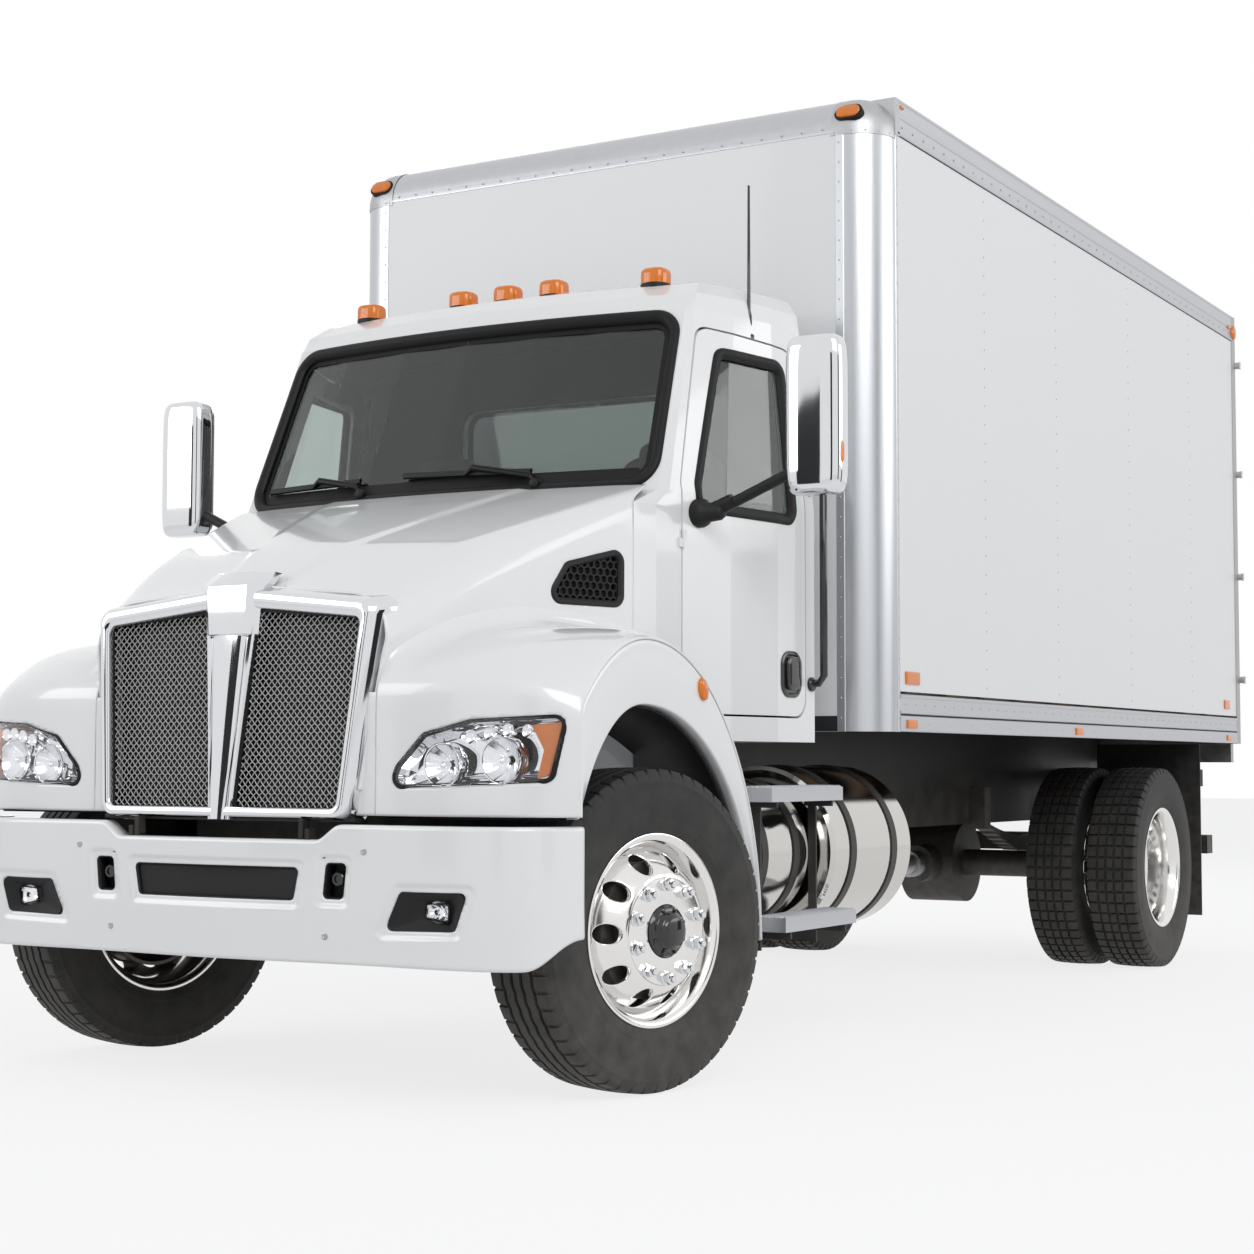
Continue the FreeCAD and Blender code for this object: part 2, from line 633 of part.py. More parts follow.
def leaf_springs():
    """Front packs under the rails and rear packs beside them, with their hangers."""
    rail_bottom = s.rail_top - s.rail_height
    pieces = []
    for x, y, leaves, length, rise, seat, top in (
            (spring_x, axle_y, s.front_spring_leaves, s.front_spring_length,
             s.front_spring_rise, front_seat_z, rail_bottom),
            (rear_spring_x, rear_axle_y, s.rear_spring_leaves, s.rear_spring_length,
             s.rear_spring_rise, rear_seat_z, s.rail_top - s.rail_flange)):
        pack = leaf_pack(Vector(0, y, 0), leaves, length, rise, seat)
        pack.translate(Vector(x, 0, 0))
        end_top = seat + leaves * s.spring_leaf + rise
        for end in (-1, 1):
            pack = pack.fuse(hanger(x, y + end * (length / 2 - s.spring_width / 2), top,
                                    end_top - s.spring_width / 2, s.spring_width))
        pieces.append(both(pack))
    return made("leaf_springs", solids_of(*pieces))


def rear_axle():
    """Banjo housing with its nose, tubes out to the drums and spindles."""
    inner_end = "(rear_wheel_x - dual_spacing / 2 - drum_back - drum_width - drum_wall)"
    tube = rod("rear_axle_tube", "axle_tube_radius", f"2 * {inner_end}", "x", f"-{inner_end}",
               REAR_AXLE, "tyre_radius")
    tip = "(rear_wheel_x - dual_spacing / 2 + rear_cap - hub_end - fit_gap)"
    spindle = rod("rear_axle_spindle", "spindle_radius", f"2 * {tip}", "x", f"-{tip}",
                  REAR_AXLE, "tyre_radius")
    banjo = rod("rear_axle_banjo", "banjo_radius", "banjo_width", "x", "-banjo_width / 2",
                REAR_AXLE, "tyre_radius")
    nose = rod("rear_axle_nose", "pinion_radius", "pinion_length", "y", "0",
               f"{REAR_AXLE} - pinion_length", "tyre_radius")
    return fused("rear_axle", tube, spindle, banjo, nose)


def drive_shaft():
    """Shaft from the gearbox to the rear axle's nose, with a joint at each end."""
    start = f"({AXLE} + engine_behind + engine_length + gearbox_length)"
    end = f"({REAR_AXLE} - pinion_length)"
    z = "tyre_radius"
    tube = rod("drive_shaft_tube", "shaft_radius", f"{end} - {start}", "y", "0", start, z)
    yokes = [rod(f"drive_shaft_yoke_{where}", "yoke_radius", "yoke_length", "y", "0", y, z)
             for where, y in (("front", start), ("rear", f"{end} - yoke_length"))]
    return fused("drive_shaft", tube, *yokes)


def engine_block():
    """Plain block between the rails, on a foot each side that reaches the rails' webs."""
    front = f"({AXLE} + engine_behind)"
    core = block("engine_core", ("-engine_width / 2", "engine_width / 2"),
                 (front, f"{front} + engine_length"),
                 ("engine_bottom", "engine_bottom + engine_height"))
    gearbox = block("gearbox", ("-gearbox_width / 2", "gearbox_width / 2"),
                    (f"{front} + engine_length", f"{front} + engine_length + gearbox_length"),
                    ("tyre_radius - yoke_radius", "tyre_radius - yoke_radius + gearbox_height"))
    reach = "(frame_width / 2 - rail_web - fit_gap)"
    feet = block("engine_feet", (f"-{reach}", reach),
                 (f"{front} + engine_length / 2", f"{front} + engine_length / 2 + cross_width"),
                 ("rail_top - rail_height / 2", "rail_top - rail_height / 2 + cross_width"))
    return fused("engine_block", core, gearbox, feet)


def radiator():
    return block("radiator", ("-radiator_width / 2", "radiator_width / 2"),
                 (f"{AXLE} + radiator_behind", f"{AXLE} + radiator_behind + radiator_depth"),
                 ("rail_top + fit_gap", "rail_top + radiator_height"))


# Wheels, in their own frame: the axle along X, outboard towards +X, the tyre's middle at zero.
belly_share = 0.55


def tyre_body():
    """Tyre turned from half its section: bead, bellied sidewall, shoulder and flat tread."""
    body = new_body("tyre")
    bead = "(rim_width / 2 - rim_lip_width - fit_gap)"
    seat = "(bead_radius + fit_gap)"
    half, tread, radius = "(tyre_width / 2)", "(tread_width / 2)", "tyre_radius"
    side = [(bead, seat), (half, f"{seat} + {belly_share} * ({radius} - {seat})"),
            (f"({half} + {tread}) / 2", f"{radius} - shoulder_drop"), (tread, radius)]
    points = [(f"-({x})", r) for x, r in side] + side[::-1]
    revolved(body, outline(body, "XZ_Plane", points), "X_Axis")
    return body


def wheel_body():
    """Disc wheel turned in one piece, with its ring of hand holes."""
    body = new_body("wheel")
    half, lip = "(rim_width / 2)", "(bead_radius + rim_lip_height)"
    ledge = f"({half} - rim_lip_width)"
    well = "(disc_root + disc_thickness / 2)"
    floor = "(bead_radius - rim_well_depth)"
    under = "(bead_radius - rim_wall)"
    deep = "(bead_radius - rim_well_depth - rim_wall)"
    face = "(dual_spacing / 2)"
    barrel = [(half, under), (half, lip), (ledge, "bead_radius"), (well, floor)]
    inner = [(f"-({x})", r) for x, r in barrel[::-1]]
    disc = [(f"-{well}", deep), ("disc_root - 2 * disc_thickness", deep),
            (f"{face} - disc_thickness", "disc_flat_radius"),
            (f"{face} - disc_thickness", "disc_bore_radius"), (face, "disc_bore_radius"),
            (face, "disc_flat_radius"), ("disc_root + disc_thickness / 2", deep)]
    revolved(body, outline(body, "XZ_Plane", barrel + inner + disc), "X_Axis")
    doc.recompute()
    hole = body.newObject("Sketcher::SketchObject", "wheel_hand_hole")
    hole.AttachmentSupport = [(plane_of(body, "YZ_Plane"), "")]
    hole.MapMode = "FlatFace"
    hole.addGeometry(Part.Circle(Vector(0, s.hand_hole_circle, 0), Z_AXIS, s.hand_hole_radius))
    index = hole.addConstraint(Sketcher.Constraint("Radius", 0, s.hand_hole_radius))
    hole.setExpression(f"Constraints[{index}]", cell("hand_hole_radius"))
    hole.addConstraint(Sketcher.Constraint("PointOnObject", 0, 3, -2))
    index = hole.addConstraint(Sketcher.Constraint("DistanceY", -1, 1, 0, 3,
                                                   s.hand_hole_circle))
    hole.setExpression(f"Constraints[{index}]", cell("hand_hole_circle"))
    pocket = body.newObject("PartDesign::Pocket", "wheel_hand_hole_pocket")
    pocket.Profile = hole
    pocket.Type = "ThroughAll"
    pocket.Midplane = True
    pattern = body.newObject("PartDesign::PolarPattern", "wheel_hand_holes")
    pattern.Originals = [pocket]
    pattern.Axis = (plane_of(body, "X_Axis"), [""])
    pattern.Angle = 360
    bind(pattern, Occurrences="hand_hole_count")
    body.Tip = pattern
    return body


def hub_body(name, cap):
    """Brake drum, flange and hub, bored for the spindle; zero is the disc's outer face."""
    body = new_body(name)
    bore = "(spindle_radius + fit_gap)"
    drum_out, drum_in = "(-drum_back)", "(-drum_back - drum_width)"
    seat = "(-disc_thickness)"
    points = [(drum_in, "drum_radius - drum_wall"), (drum_in, "drum_radius"),
              (drum_out, "drum_radius"), (drum_out, "hub_flange"), (seat, "hub_flange"),
              (seat, "hub_radius"), (cap, "hub_radius"), (cap, "0"),
              (f"{cap} - hub_end", "0"), (f"{cap} - hub_end", bore),
              (f"{drum_in} + drum_wall", bore), (f"{drum_in} + drum_wall", "hub_core"),
              (f"{drum_out} - drum_wall", "hub_core"),
              (f"{drum_out} - drum_wall", "drum_radius - drum_wall")]
    revolved(body, outline(body, "XZ_Plane", points), "X_Axis")
    return body


def placed(name, *pairs):
    """Copies of finished bodies, each at its own placement, joined where they meet."""
    doc.recompute()
    shapes = []
    for body, placement in pairs:
        shape = body.Shape.copy()
        shape.Placement = placement.multiply(shape.Placement)
        shapes.append(shape)
    return made(name, shapes[0].multiFuse(shapes[1:]) if len(shapes) > 1 else shapes[0])


HALF_TURN = Rotation(Z_AXIS, 180)
STEER = Rotation(Z_AXIS, -s.rest_steer)
face_out = s.dual_spacing / 2
pair_x = s.rear_wheel_x - face_out
outer_turn = {1: Rotation(), -1: HALF_TURN}


def front_place(side, offset):
    """Placement on a front knuckle as parked, offset outboard of the wheel's middle."""
    kingpin = Placement(Vector(side * s.kingpin_x, axle_y, 0), STEER)
    out = side * (s.front_wheel_x - s.kingpin_x + offset)
    return kingpin.multiply(Placement(Vector(out, 0, s.tyre_radius), outer_turn[side]))


def rear_place(side, x, flipped=False):
    turn = outer_turn[-side if flipped else side]
    return Placement(Vector(side * x, rear_axle_y, s.tyre_radius), turn)


def knuckle(side):
    """Yoke round the beam's boss with kingpin, spindle and tie rod arm."""
    top = boss_low + s.boss_height
    outer = s.front_wheel_x - s.kingpin_x + face_out - s.drum_back - s.drum_width
    plate_x = (s.boss_radius + s.fit_gap + s.drum_wall / 2, outer - s.drum_wall / 2)
    ears = [(boss_low - s.fit_gap - s.knuckle_ear, boss_low - s.fit_gap),
            (top + s.fit_gap, top + s.fit_gap + s.knuckle_ear)]
    shape = box_at(plate_x, (-s.boss_radius, s.boss_radius), (ears[0][0], ears[1][1]))
    for low, high in ears:
        ear = Part.makeCylinder(s.boss_radius, high - low, Vector(0, 0, low))
        ear = ear.fuse(box_at((0, plate_x[0] + s.fit_gap), (-s.boss_radius, s.boss_radius),
                              (low, high)))
        shape = shape.fuse(ear)
    pin = Part.makeCylinder(s.kingpin_radius, ears[1][1] - ears[0][0], Vector(0, 0, ears[0][0]))
    reach = s.front_wheel_x - s.kingpin_x + face_out + s.front_cap - s.hub_end - s.fit_gap
    spindle = Part.makeCylinder(s.spindle_radius, reach - plate_x[0],
                                Vector(plate_x[0], 0, s.tyre_radius), X_AXIS)
    arm = box_at((-s.steer_arm_thickness / 2, s.steer_arm_thickness / 2), (0, s.steer_arm),
                 (ears[0][0], ears[0][1]))
    eye = Part.makeCylinder(s.tie_ball_radius, s.knuckle_ear, Vector(0, s.steer_arm, ears[0][0]))
    shape = shape.multiFuse([pin, spindle, arm, eye]).removeSplitter()
    if side < 0:
        shape = shape.mirror(ORIGIN, X_AXIS)
    shape.Placement = Placement(Vector(side * s.kingpin_x, axle_y, 0), STEER)
    return shape


def arm_end(side):
    """Centre of the tie rod joint under a knuckle's arm, as parked."""
    turned = STEER.multVec(Vector(0, s.steer_arm, 0))
    low = boss_low - s.fit_gap - s.knuckle_ear
    return Vector(side * s.kingpin_x, axle_y, low) + turned


def tie_rod():
    """Rod under the two arms, with a joint at each end."""
    drop = Vector(0, 0, -s.fit_gap - 2 * s.tie_ball_radius)
    ends = [arm_end(side) + drop for side in (-1, 1)]
    level = Vector(0, 0, s.tie_ball_radius)
    rod_shape = Part.makeCylinder(s.tie_rod_radius, (ends[1] - ends[0]).Length,
                                  ends[0] + level, X_AXIS)
    joints = [Part.makeCylinder(s.tie_ball_radius, 2 * s.tie_ball_radius, end) for end in ends]
    return made("tie_rod", rod_shape.multiFuse(joints))


def running_gear():
    tyre, wheel = tyre_body(), wheel_body()
    hubs = {"front": hub_body("front_hub", "front_cap"), "rear": hub_body("rear_hub", "rear_cap")}
    parts = []
    for side, label in ((1, "left"), (-1, "right")):
        front, hub_front = front_place(side, 0), front_place(side, face_out)
        inner_x = pair_x - face_out
        parts += [
            placed(f"tyre_front_{label}", (tyre, front)),
            placed(f"wheel_front_{label}", (wheel, front), (hubs["front"], hub_front)),
            made(f"knuckle_{label}", knuckle(side)),
            placed(f"tyres_rear_{label}", (tyre, rear_place(side, s.rear_wheel_x)),
                   (tyre, rear_place(side, inner_x))),
            placed(f"wheels_rear_{label}", (wheel, rear_place(side, s.rear_wheel_x, True)),
                   (wheel, rear_place(side, inner_x)),
                   (hubs["rear"], rear_place(side, pair_x))),
        ]
    return parts + [tie_rod()]


# Tank, canister, battery box and steps.
def turned_tank(name, radius, front, length, x):
    """Cylinder along the truck with rounded ends."""
    body = new_body(name)
    edge = "tank_edge"
    points = [("0", "0"), (f"{radius} - {edge}", "0"), (radius, edge),
              (radius, f"{length} - {edge}"), (f"{radius} - {edge}", length), ("0", length)]
    revolved(body, outline(body, "XY_Plane", points), "Y_Axis")
    return bind(body, x=x, y=f"{AXLE} + {front}", z="tank_height")


def fuel_tank():
    return turned_tank("fuel_tank", "tank_radius", "tank_behind", "tank_length", "tank_x")


def exhaust_canister():
    return turned_tank("exhaust_canister", "canister_radius", "canister_behind",
                       "canister_length", "canister_x")


def saddle(x, y, radius, width, arms):
    """Strap round a tank with its arms, as boxes of x and z ranges, bored for the tank."""
    at = Vector(x, y, s.tank_height)
    shape = Part.makeCylinder(radius + s.strap_thickness, width, at, Y_AXIS)
    for arm_x, arm_z in arms:
        shape = shape.fuse(box_at(arm_x, (y, y + width), arm_z))
    bore = Part.makeCylinder(radius + s.fit_gap, width + 2 * s.overrun,
                             at - Vector(0, s.overrun, 0), Y_AXIS)
    return shape.cut(bore)


strap_shares = (0.2, 0.72)


def rail_brackets():
    """Tank straps and step hangers, each on its own arm from a rail."""
    return made("rail_brackets", Part.Compound(tank_straps() + step_brackets()))


def tank_straps():
    """Straps of the tank and of the canister."""
    rail = s.frame_width / 2 + s.fit_gap
    arm_z = (s.tank_height + s.strap_width, s.rail_top - s.rail_web)
    pieces = []
    for share in strap_shares:
        y = axle_y + s.tank_behind + share * s.tank_length
        pieces.append(saddle(s.tank_x, y, s.tank_radius, s.strap_width,
                             [((rail, s.tank_x), arm_z)]))
        y = axle_y + s.canister_behind + share * s.canister_length
        pieces.append(saddle(s.canister_x, y, s.canister_radius, s.strap_width,
                             [((rail, s.canister_x), arm_z)]))
    return pieces


def battery_box():
    """Box on the right under the cab, on arms from the rail."""
    front = f"({AXLE} + canister_behind)"
    rear = f"({front} + canister_length)"
    top = "(upper_step_height - step_thickness - fit_gap)"
    outer = "(step_out - step_depth - fit_gap)"
    core = block("battery_case", (f"-{outer}", "-box_inner_x"), (front, rear),
                 (f"{top} - box_height + step_thickness", f"{top} + step_thickness"))
    rail = "(frame_width / 2 + fit_gap)"
    arm = block("battery_arm", ("-box_inner_x", f"-{rail}"),
                (f"{front} + strap_width", f"{rear} - strap_width"),
                ("rail_top - rail_height", "rail_top - rail_height / 2"))
    return fused("battery_box", core, arm)


def tread(name, outer, top):
    """Step tread: a tray of sheet, open below."""
    front = f"({AXLE} + step_behind)"
    rear = f"({front} + step_length)"
    inner = f"({outer} - step_depth)"
    low = f"({top} - step_thickness)"
    shell = block(f"{name}_shell", (inner, outer), (front, rear), (low, top))
    hollow = block(f"{name}_hollow", (f"{inner} + step_wall", f"{outer} - step_wall"),
                   (f"{front} + step_wall", f"{rear} - step_wall"),
                   (f"{low} - overrun", f"{top} - step_wall"))
    return cut(name, shell, hollow)


def steps():
    """Upper and lower treads on each side."""
    upper = tread("step_upper", "step_out", "upper_step_height")
    lower = tread("step_lower", "(step_out + lower_step_out)", "lower_step_height")
    return group("steps", upper, lower, mirrored("step_upper_right", upper),
                 mirrored("step_lower_right", lower))


bracket_shares = (0.08, 0.85)


def step_brackets():
    """Two hangers a side that carry both treads from the rail, round what lies between."""
    reach = s.canister_radius + s.strap_thickness + s.fit_gap
    pieces = []
    upper_low = s.upper_step_height - s.step_thickness + s.step_wall
    inner = s.step_out - s.step_depth
    tread_in = inner + s.step_wall + s.fit_gap
    shelf = s.lower_step_height - s.step_thickness - s.fit_gap
    for share in bracket_shares:
        y = axle_y + s.step_behind + share * s.step_length
        plate_y = (y, y + s.step_bracket)
        post_x = (s.canister_x + reach, inner + s.lower_step_out - s.fit_gap)
        foot_low = s.tank_height - reach - s.step_thickness
        post = box_at(post_x, plate_y, (foot_low, upper_low))
        upper = box_at((tread_in, s.step_out - s.step_wall - s.fit_gap), plate_y,
                       (upper_low - s.step_thickness / 2, s.upper_step_height - s.step_wall
                        - s.fit_gap))
        lower = box_at((post_x[0], s.step_out + s.lower_step_out - s.step_wall), plate_y,
                       (shelf - s.step_thickness / 2, shelf))
        foot = box_at((s.frame_width / 2 + s.fit_gap, post_x[1]), plate_y,
                      (foot_low, s.tank_height - reach))
        hang = box_at((s.frame_width / 2 + s.fit_gap,
                       s.frame_width / 2 + s.fit_gap + s.rail_flange), plate_y,
                      (foot_low, s.rail_top - s.rail_web))
        pieces.append(post.multiFuse([upper, lower, foot, hang]).removeSplitter())
    return both(Part.Compound(pieces)).Solids


# Bumper.
nose_y = -s.overall_length / 2
bumper_low = s.bumper_top - s.bumper_height


def bumper_region(inset, low, high):
    """Block behind the bumper's swept face, its outline inset by a distance."""
    half = [(0, 0), (s.bumper_flat_half, s.bumper_crown), (s.bumper_corner, s.bumper_sweep),
            (s.bumper_half_width, s.bumper_wing)]
    right = [(x * (1 - inset / s.bumper_half_width), y + inset) for x, y in half]
    back = s.bumper_wing + s.overrun
    points = [(-x, y) for x, y in right[:0:-1]] + right
    face = Part.BSplineCurve()
    face.interpolate([Vector(x, nose_y + y, low) for x, y in points])
    last = right[-1][0]
    sides = [Vector(last, nose_y + right[-1][1], low), Vector(last, nose_y + back + inset, low),
             Vector(-last, nose_y + back + inset, low),
             Vector(-last, nose_y + right[-1][1], low)]
    edges = [Part.LineSegment(a, b).toShape() for a, b in zip(sides, sides[1:])]
    return Part.Face(Part.Wire([face.toShape()] + edges)).extrude(Vector(0, 0, high - low))


def front_prism(points, radius=0, low=0, high=0):
    """Prism along the truck from an outline in x and z, from low to high behind the nose."""
    return extrude([Vector(x, nose_y + low, z) for x, z in points], Vector(0, high - low, 0),
                   radius)


# How far the sides of the bumper's openings slant, as shares of their height or width.
slot_slant_share, tow_slant_share, fog_slant_share = 0.2, 0.125, 0.143


def slot_outline(grow=0):
    half, tall = s.bumper_slot_half + grow, s.bumper_slot_height / 2 + grow
    slant = s.bumper_slot_height * slot_slant_share
    return [(-half, s.bumper_slot_z + tall), (half, s.bumper_slot_z + tall),
            (half - slant, s.bumper_slot_z - tall), (-half + slant, s.bumper_slot_z - tall)]


def tow_outline(grow=0):
    half, tall = s.tow_opening_width / 2 + grow, s.tow_opening_height / 2 + grow
    slant = s.tow_opening_width * tow_slant_share
    return [(s.tow_opening_x - half, s.tow_opening_z - tall),
            (s.tow_opening_x + half - slant, s.tow_opening_z - tall),
            (s.tow_opening_x + half, s.tow_opening_z + tall),
            (s.tow_opening_x - half + slant, s.tow_opening_z + tall)]


def fog_outline(grow=0):
    half, tall = s.fog_opening_width / 2 + grow, s.fog_opening_height / 2 + grow
    slant = s.fog_opening_width * fog_slant_share
    middle = s.fog_x - slant
    return [(middle - half, s.fog_z - tall), (middle + half - slant, s.fog_z - tall),
            (middle + half, s.fog_z + tall), (middle - half + slant, s.fog_z + tall)]


pocket_round = s.bumper_wall + s.bumper_wall / 2
pocket_outlines = ((slot_outline, s.fog_depth / 3), (tow_outline, s.fog_depth),
                   (fog_outline, s.fog_depth))
wing_share = 0.46
dip_ramp_share = 1.6


def bumper():
    """Swept sheet with a return along its top and bottom and its five openings."""
    shell = bumper_region(0, bumper_low, s.bumper_top)
    hollow = bumper_region(s.bumper_wall, bumper_low + s.bumper_wall,
                           s.bumper_top - s.bumper_wall)
    within = bumper_region(s.bumper_return, bumper_low - s.overrun, s.bumper_top + s.overrun)
    shell = shell.cut(hollow).cut(within)
    deep = 2 * s.bumper_wing
    dip_low = s.bumper_top - s.bumper_dip
    ramp = s.bumper_dip_half + s.bumper_dip * dip_ramp_share
    dip = front_prism([(-ramp, s.bumper_top + s.overrun), (-ramp, s.bumper_top),
                       (-s.bumper_dip_half, dip_low), (s.bumper_dip_half, dip_low),
                       (ramp, s.bumper_top), (ramp, s.bumper_top + s.overrun)],
                      0, -s.overrun, deep)
    wedge_y = [nose_y + s.bumper_wing, nose_y + deep, nose_y + deep,
               nose_y + s.bumper_wing * wing_share]
    wedge_z = [s.bumper_top + s.overrun, s.bumper_top + s.overrun, bumper_low - s.overrun,
               bumper_low - s.overrun]
    wide = s.bumper_half_width + s.overrun
    wedge = extrude([Vector(-wide, y, z) for y, z in zip(wedge_y, wedge_z)],
                    Vector(2 * wide, 0, 0))
    shell = shell.cut(dip).cut(wedge)
    for shape_of, _ in pocket_outlines:
        hole = front_prism(shape_of(), pocket_round, -s.overrun, s.bumper_wing)
        shell = shell.cut(hole).cut(hole.mirror(ORIGIN, X_AXIS))
    return made("bumper", shell)


def bumper_pockets():
    """Trays that close the five openings behind the bumper's face."""
    pieces = []
    for shape_of, depth in pocket_outlines:
        low, high = bumper_low, s.bumper_top
        body = front_prism(shape_of(-s.fit_gap), pocket_round, -s.overrun, s.bumper_wing)
        behind = bumper_region(depth, low - s.overrun, high + s.overrun)
        layer = bumper_region(s.bumper_wall / 2, low, high).cut(behind)
        inner = front_prism(shape_of(-s.bumper_wall / 2), pocket_round, -s.overrun,
                            s.bumper_wing)
        floor = bumper_region(depth - s.bumper_wall / 2, low - s.overrun, high + s.overrun)
        inner_layer = bumper_region(0, low, high).cut(floor)
        tray = body.common(layer).cut(inner.common(inner_layer))
        pieces.append(tray)
        if shape_of is not slot_outline:
            pieces.append(tray.mirror(ORIGIN, X_AXIS))
    return made("bumper_pockets", solids_of(*pieces))


def fog_lamps():
    """Round lamps on the floors of the outer pockets."""
    lamp = Part.makeCylinder(s.fog_radius, s.bumper_wing, Vector(s.fog_x, nose_y, s.fog_z),
                             Y_AXIS)
    front = bumper_region(s.fog_depth / 3, bumper_low, s.bumper_top)
    back = bumper_region(s.fog_depth - s.bumper_wall / 2 - s.fit_gap, bumper_low,
                         s.bumper_top)
    return both(lamp.common(front.cut(back)).Solids[0]).Solids


def bumper_arms():
    """Bored arms in the rails' ends that carry the bumper, with the hood's pivot pins."""
    inner = s.frame_width / 2 - s.rail_flange
    outer = s.frame_width / 2 - s.rail_web - s.fit_gap
    high = s.bumper_top - s.bumper_dip - s.bumper_wall - s.fit_gap
    low = s.rail_top - s.rail_height + s.rail_web + s.fit_gap
    rear = nose_y + s.rail_setback + s.rail_flange
    arm = box_at((inner, outer), (nose_y, rear), (low, high))
    arm = arm.common(bumper_region(s.bumper_wall + s.fit_gap, low, high))
    bore = Part.makeCylinder(s.tow_bore, high, Vector((inner + outer) / 2,
                                                      nose_y + s.tow_behind, 0), Z_AXIS)
    y = axle_y + s.hood_pivot_behind
    ear = box_at((inner, inner + s.hinge_plate), (y - s.hinge_plate, y + s.hinge_plate),
                 (high, s.hood_pivot_z + s.hinge_plate))
    pin = Part.makeCylinder(s.hinge_pin, 2 * s.hinge_plate,
                            Vector(inner - 2 * s.hinge_plate, y, s.hood_pivot_z), X_AXIS)
    return made("bumper_arms", both(arm.cut(bore).multiFuse([ear, pin])))


# Hood and fenders.
station_shares = (-0.12, 0, 0.2, 0.45, 0.7, 1, 1.17)
top_rise_share = 0.12
crown_shares = (0.72, 0.45, 0.2)
arc_shares = (0.28, 0.56, 0.83)


def grille_behind(z):
    """How far behind the axle the grille's sloping plane lies at a height."""
    share = (z - s.grille_bottom) / (s.grille_top - s.grille_bottom)
    return s.grille_bottom_behind + share * (s.grille_top_behind - s.grille_bottom_behind)


def hood_ring(share, inset):
    """Cross-section of the hood's centre; share runs from the grille to the seam."""
    bend = share * (1 + top_rise_share * (1 - share))
    top_half = s.hood_nose_half + share * (s.hood_cowl_half - s.hood_nose_half) - inset
    low_half = (s.grille_bottom_half
                + share * (s.hood_cowl_half - s.grille_bottom_half) - inset)
    shoulder = s.hood_nose_top + bend * (s.hood_cowl_top - s.hood_nose_top) - inset
    crown = s.hood_nose_crown + bend * (s.hood_cowl_crown - s.hood_nose_crown) - inset
    r = s.hood_shoulder + share * (s.hood_cowl_shoulder - s.hood_shoulder)
    low = s.grille_bottom - (s.overrun if inset else 0)
    half = [(low_half, low), (top_half, shoulder - r)]
    half += [(top_half - r * (1 - math.cos(a)), shoulder - r * (1 - math.sin(a)))
             for a in (math.pi / 2 * turn for turn in arc_shares)]
    half += [(top_half * share_x, shoulder + (crown - shoulder) * (1 - share_x ** 2))
             for share_x in crown_shares]
    y = axle_y + s.grille_top_behind + share * (s.hood_seam - s.grille_top_behind)
    outline_xz = half + [(-x, z) for x, z in reversed(half)]
    return ring([Vector(x, y, z) for x, z in outline_xz])


def hood_centre(inset):
    """Hood between the fenders as a solid, its skin inset."""
    body = loft([hood_ring(share, inset) for share in station_shares])
    skin = s.grille_depth / 2
    wide = s.hood_cowl_half + s.overrun
    high = s.cab_roof
    front = [Vector(-wide, axle_y + grille_behind(z) + skin, z)
             for z in (s.grille_bottom - 2 * s.overrun, high)]
    nose = Part.Face(ring([front[0], front[1], front[1] - Vector(0, s.front_overhang, 0),
                           front[0] - Vector(0, s.front_overhang, 0)]))
    return body.cut(nose.extrude(Vector(2 * wide, 0, 0)))


def quarter(steps):
    """Angles from 0 to a right angle in equal steps."""
    return [math.pi / 2 * step / steps for step in range(steps + 1)]


# Fender sections: x as a share of the way out, and how much of the inner curve is left.
fender_shares = ((0, 1), (0.5, 0.9), (0.72, 0.62), (0.88, 0.28), (0.965, 0.06), (1, 0))
fender_steps = 12
inner_reach_share = 0.55


def fender_ring(out_share, inner_share, inset):
    """Fender's section along the truck at one distance from the centre line."""
    x = s.fender_inner_x + out_share * (s.fender_out - s.fender_inner_x)
    x -= inset if out_share == 1 else 0
    front = s.fender_front + (s.fender_corner - s.fender_front) * out_share ** 3 + inset
    rise = s.crest_top + (s.fender_top - s.crest_top) * math.sqrt(inner_share)
    rear = s.crest_rear + (s.crest_inner_rear - s.crest_rear) * inner_share ** 2 - inset
    base = s.fender_tail_z
    tall = rise - inset - base
    ahead = s.crest_front - inset + s.crest_front * inner_reach_share * inner_share
    start = math.acos(max(-1, (front - s.arch_behind) / ahead))
    points = [(s.arch_behind + (ahead if a > math.pi / 2 else rear) * math.cos(a),
               base + tall * math.sin(a))
              for a in (start * (1 - step / fender_steps) for step in range(fender_steps + 1))]
    low = s.fender_bottom - (s.overrun if inset else 0)
    tail = base - (s.overrun if inset else 0)
    points[-1] = (points[-1][0], tail)
    points.insert(0, (front, low))
    points.append((s.arch_behind, tail))
    return ring([Vector(x, axle_y + y, z) for y, z in points])


def fender_solid(inset):
    """Left fender as a solid, its skin inset."""
    body = loft([fender_ring(out, inner, inset) for out, inner in fender_shares])
    rear = [(s.arch_behind + s.crest_rear * math.cos(a) - inset,
             s.fender_tail_z - s.overrun + (s.fender_top + s.overrun) * math.sin(a))
            for a in quarter(7)[:-2]]
    limit = ([(s.fender_front - s.overrun, s.fender_tail_z - 2 * s.overrun)] + rear
             + [(s.fender_front - s.overrun, s.cab_roof)])
    side = extrude([Vector(0, axle_y + y, z) for y, z in limit],
                   Vector(s.fender_out + s.overrun, 0, 0))
    inner_x = s.tail_inner_x + inset
    gap = box_at((0, inner_x), (axle_y + s.hood_seam - inset, axle_y + s.cab_rear),
                 (0, s.cab_roof))
    return body.common(side).cut(gap)


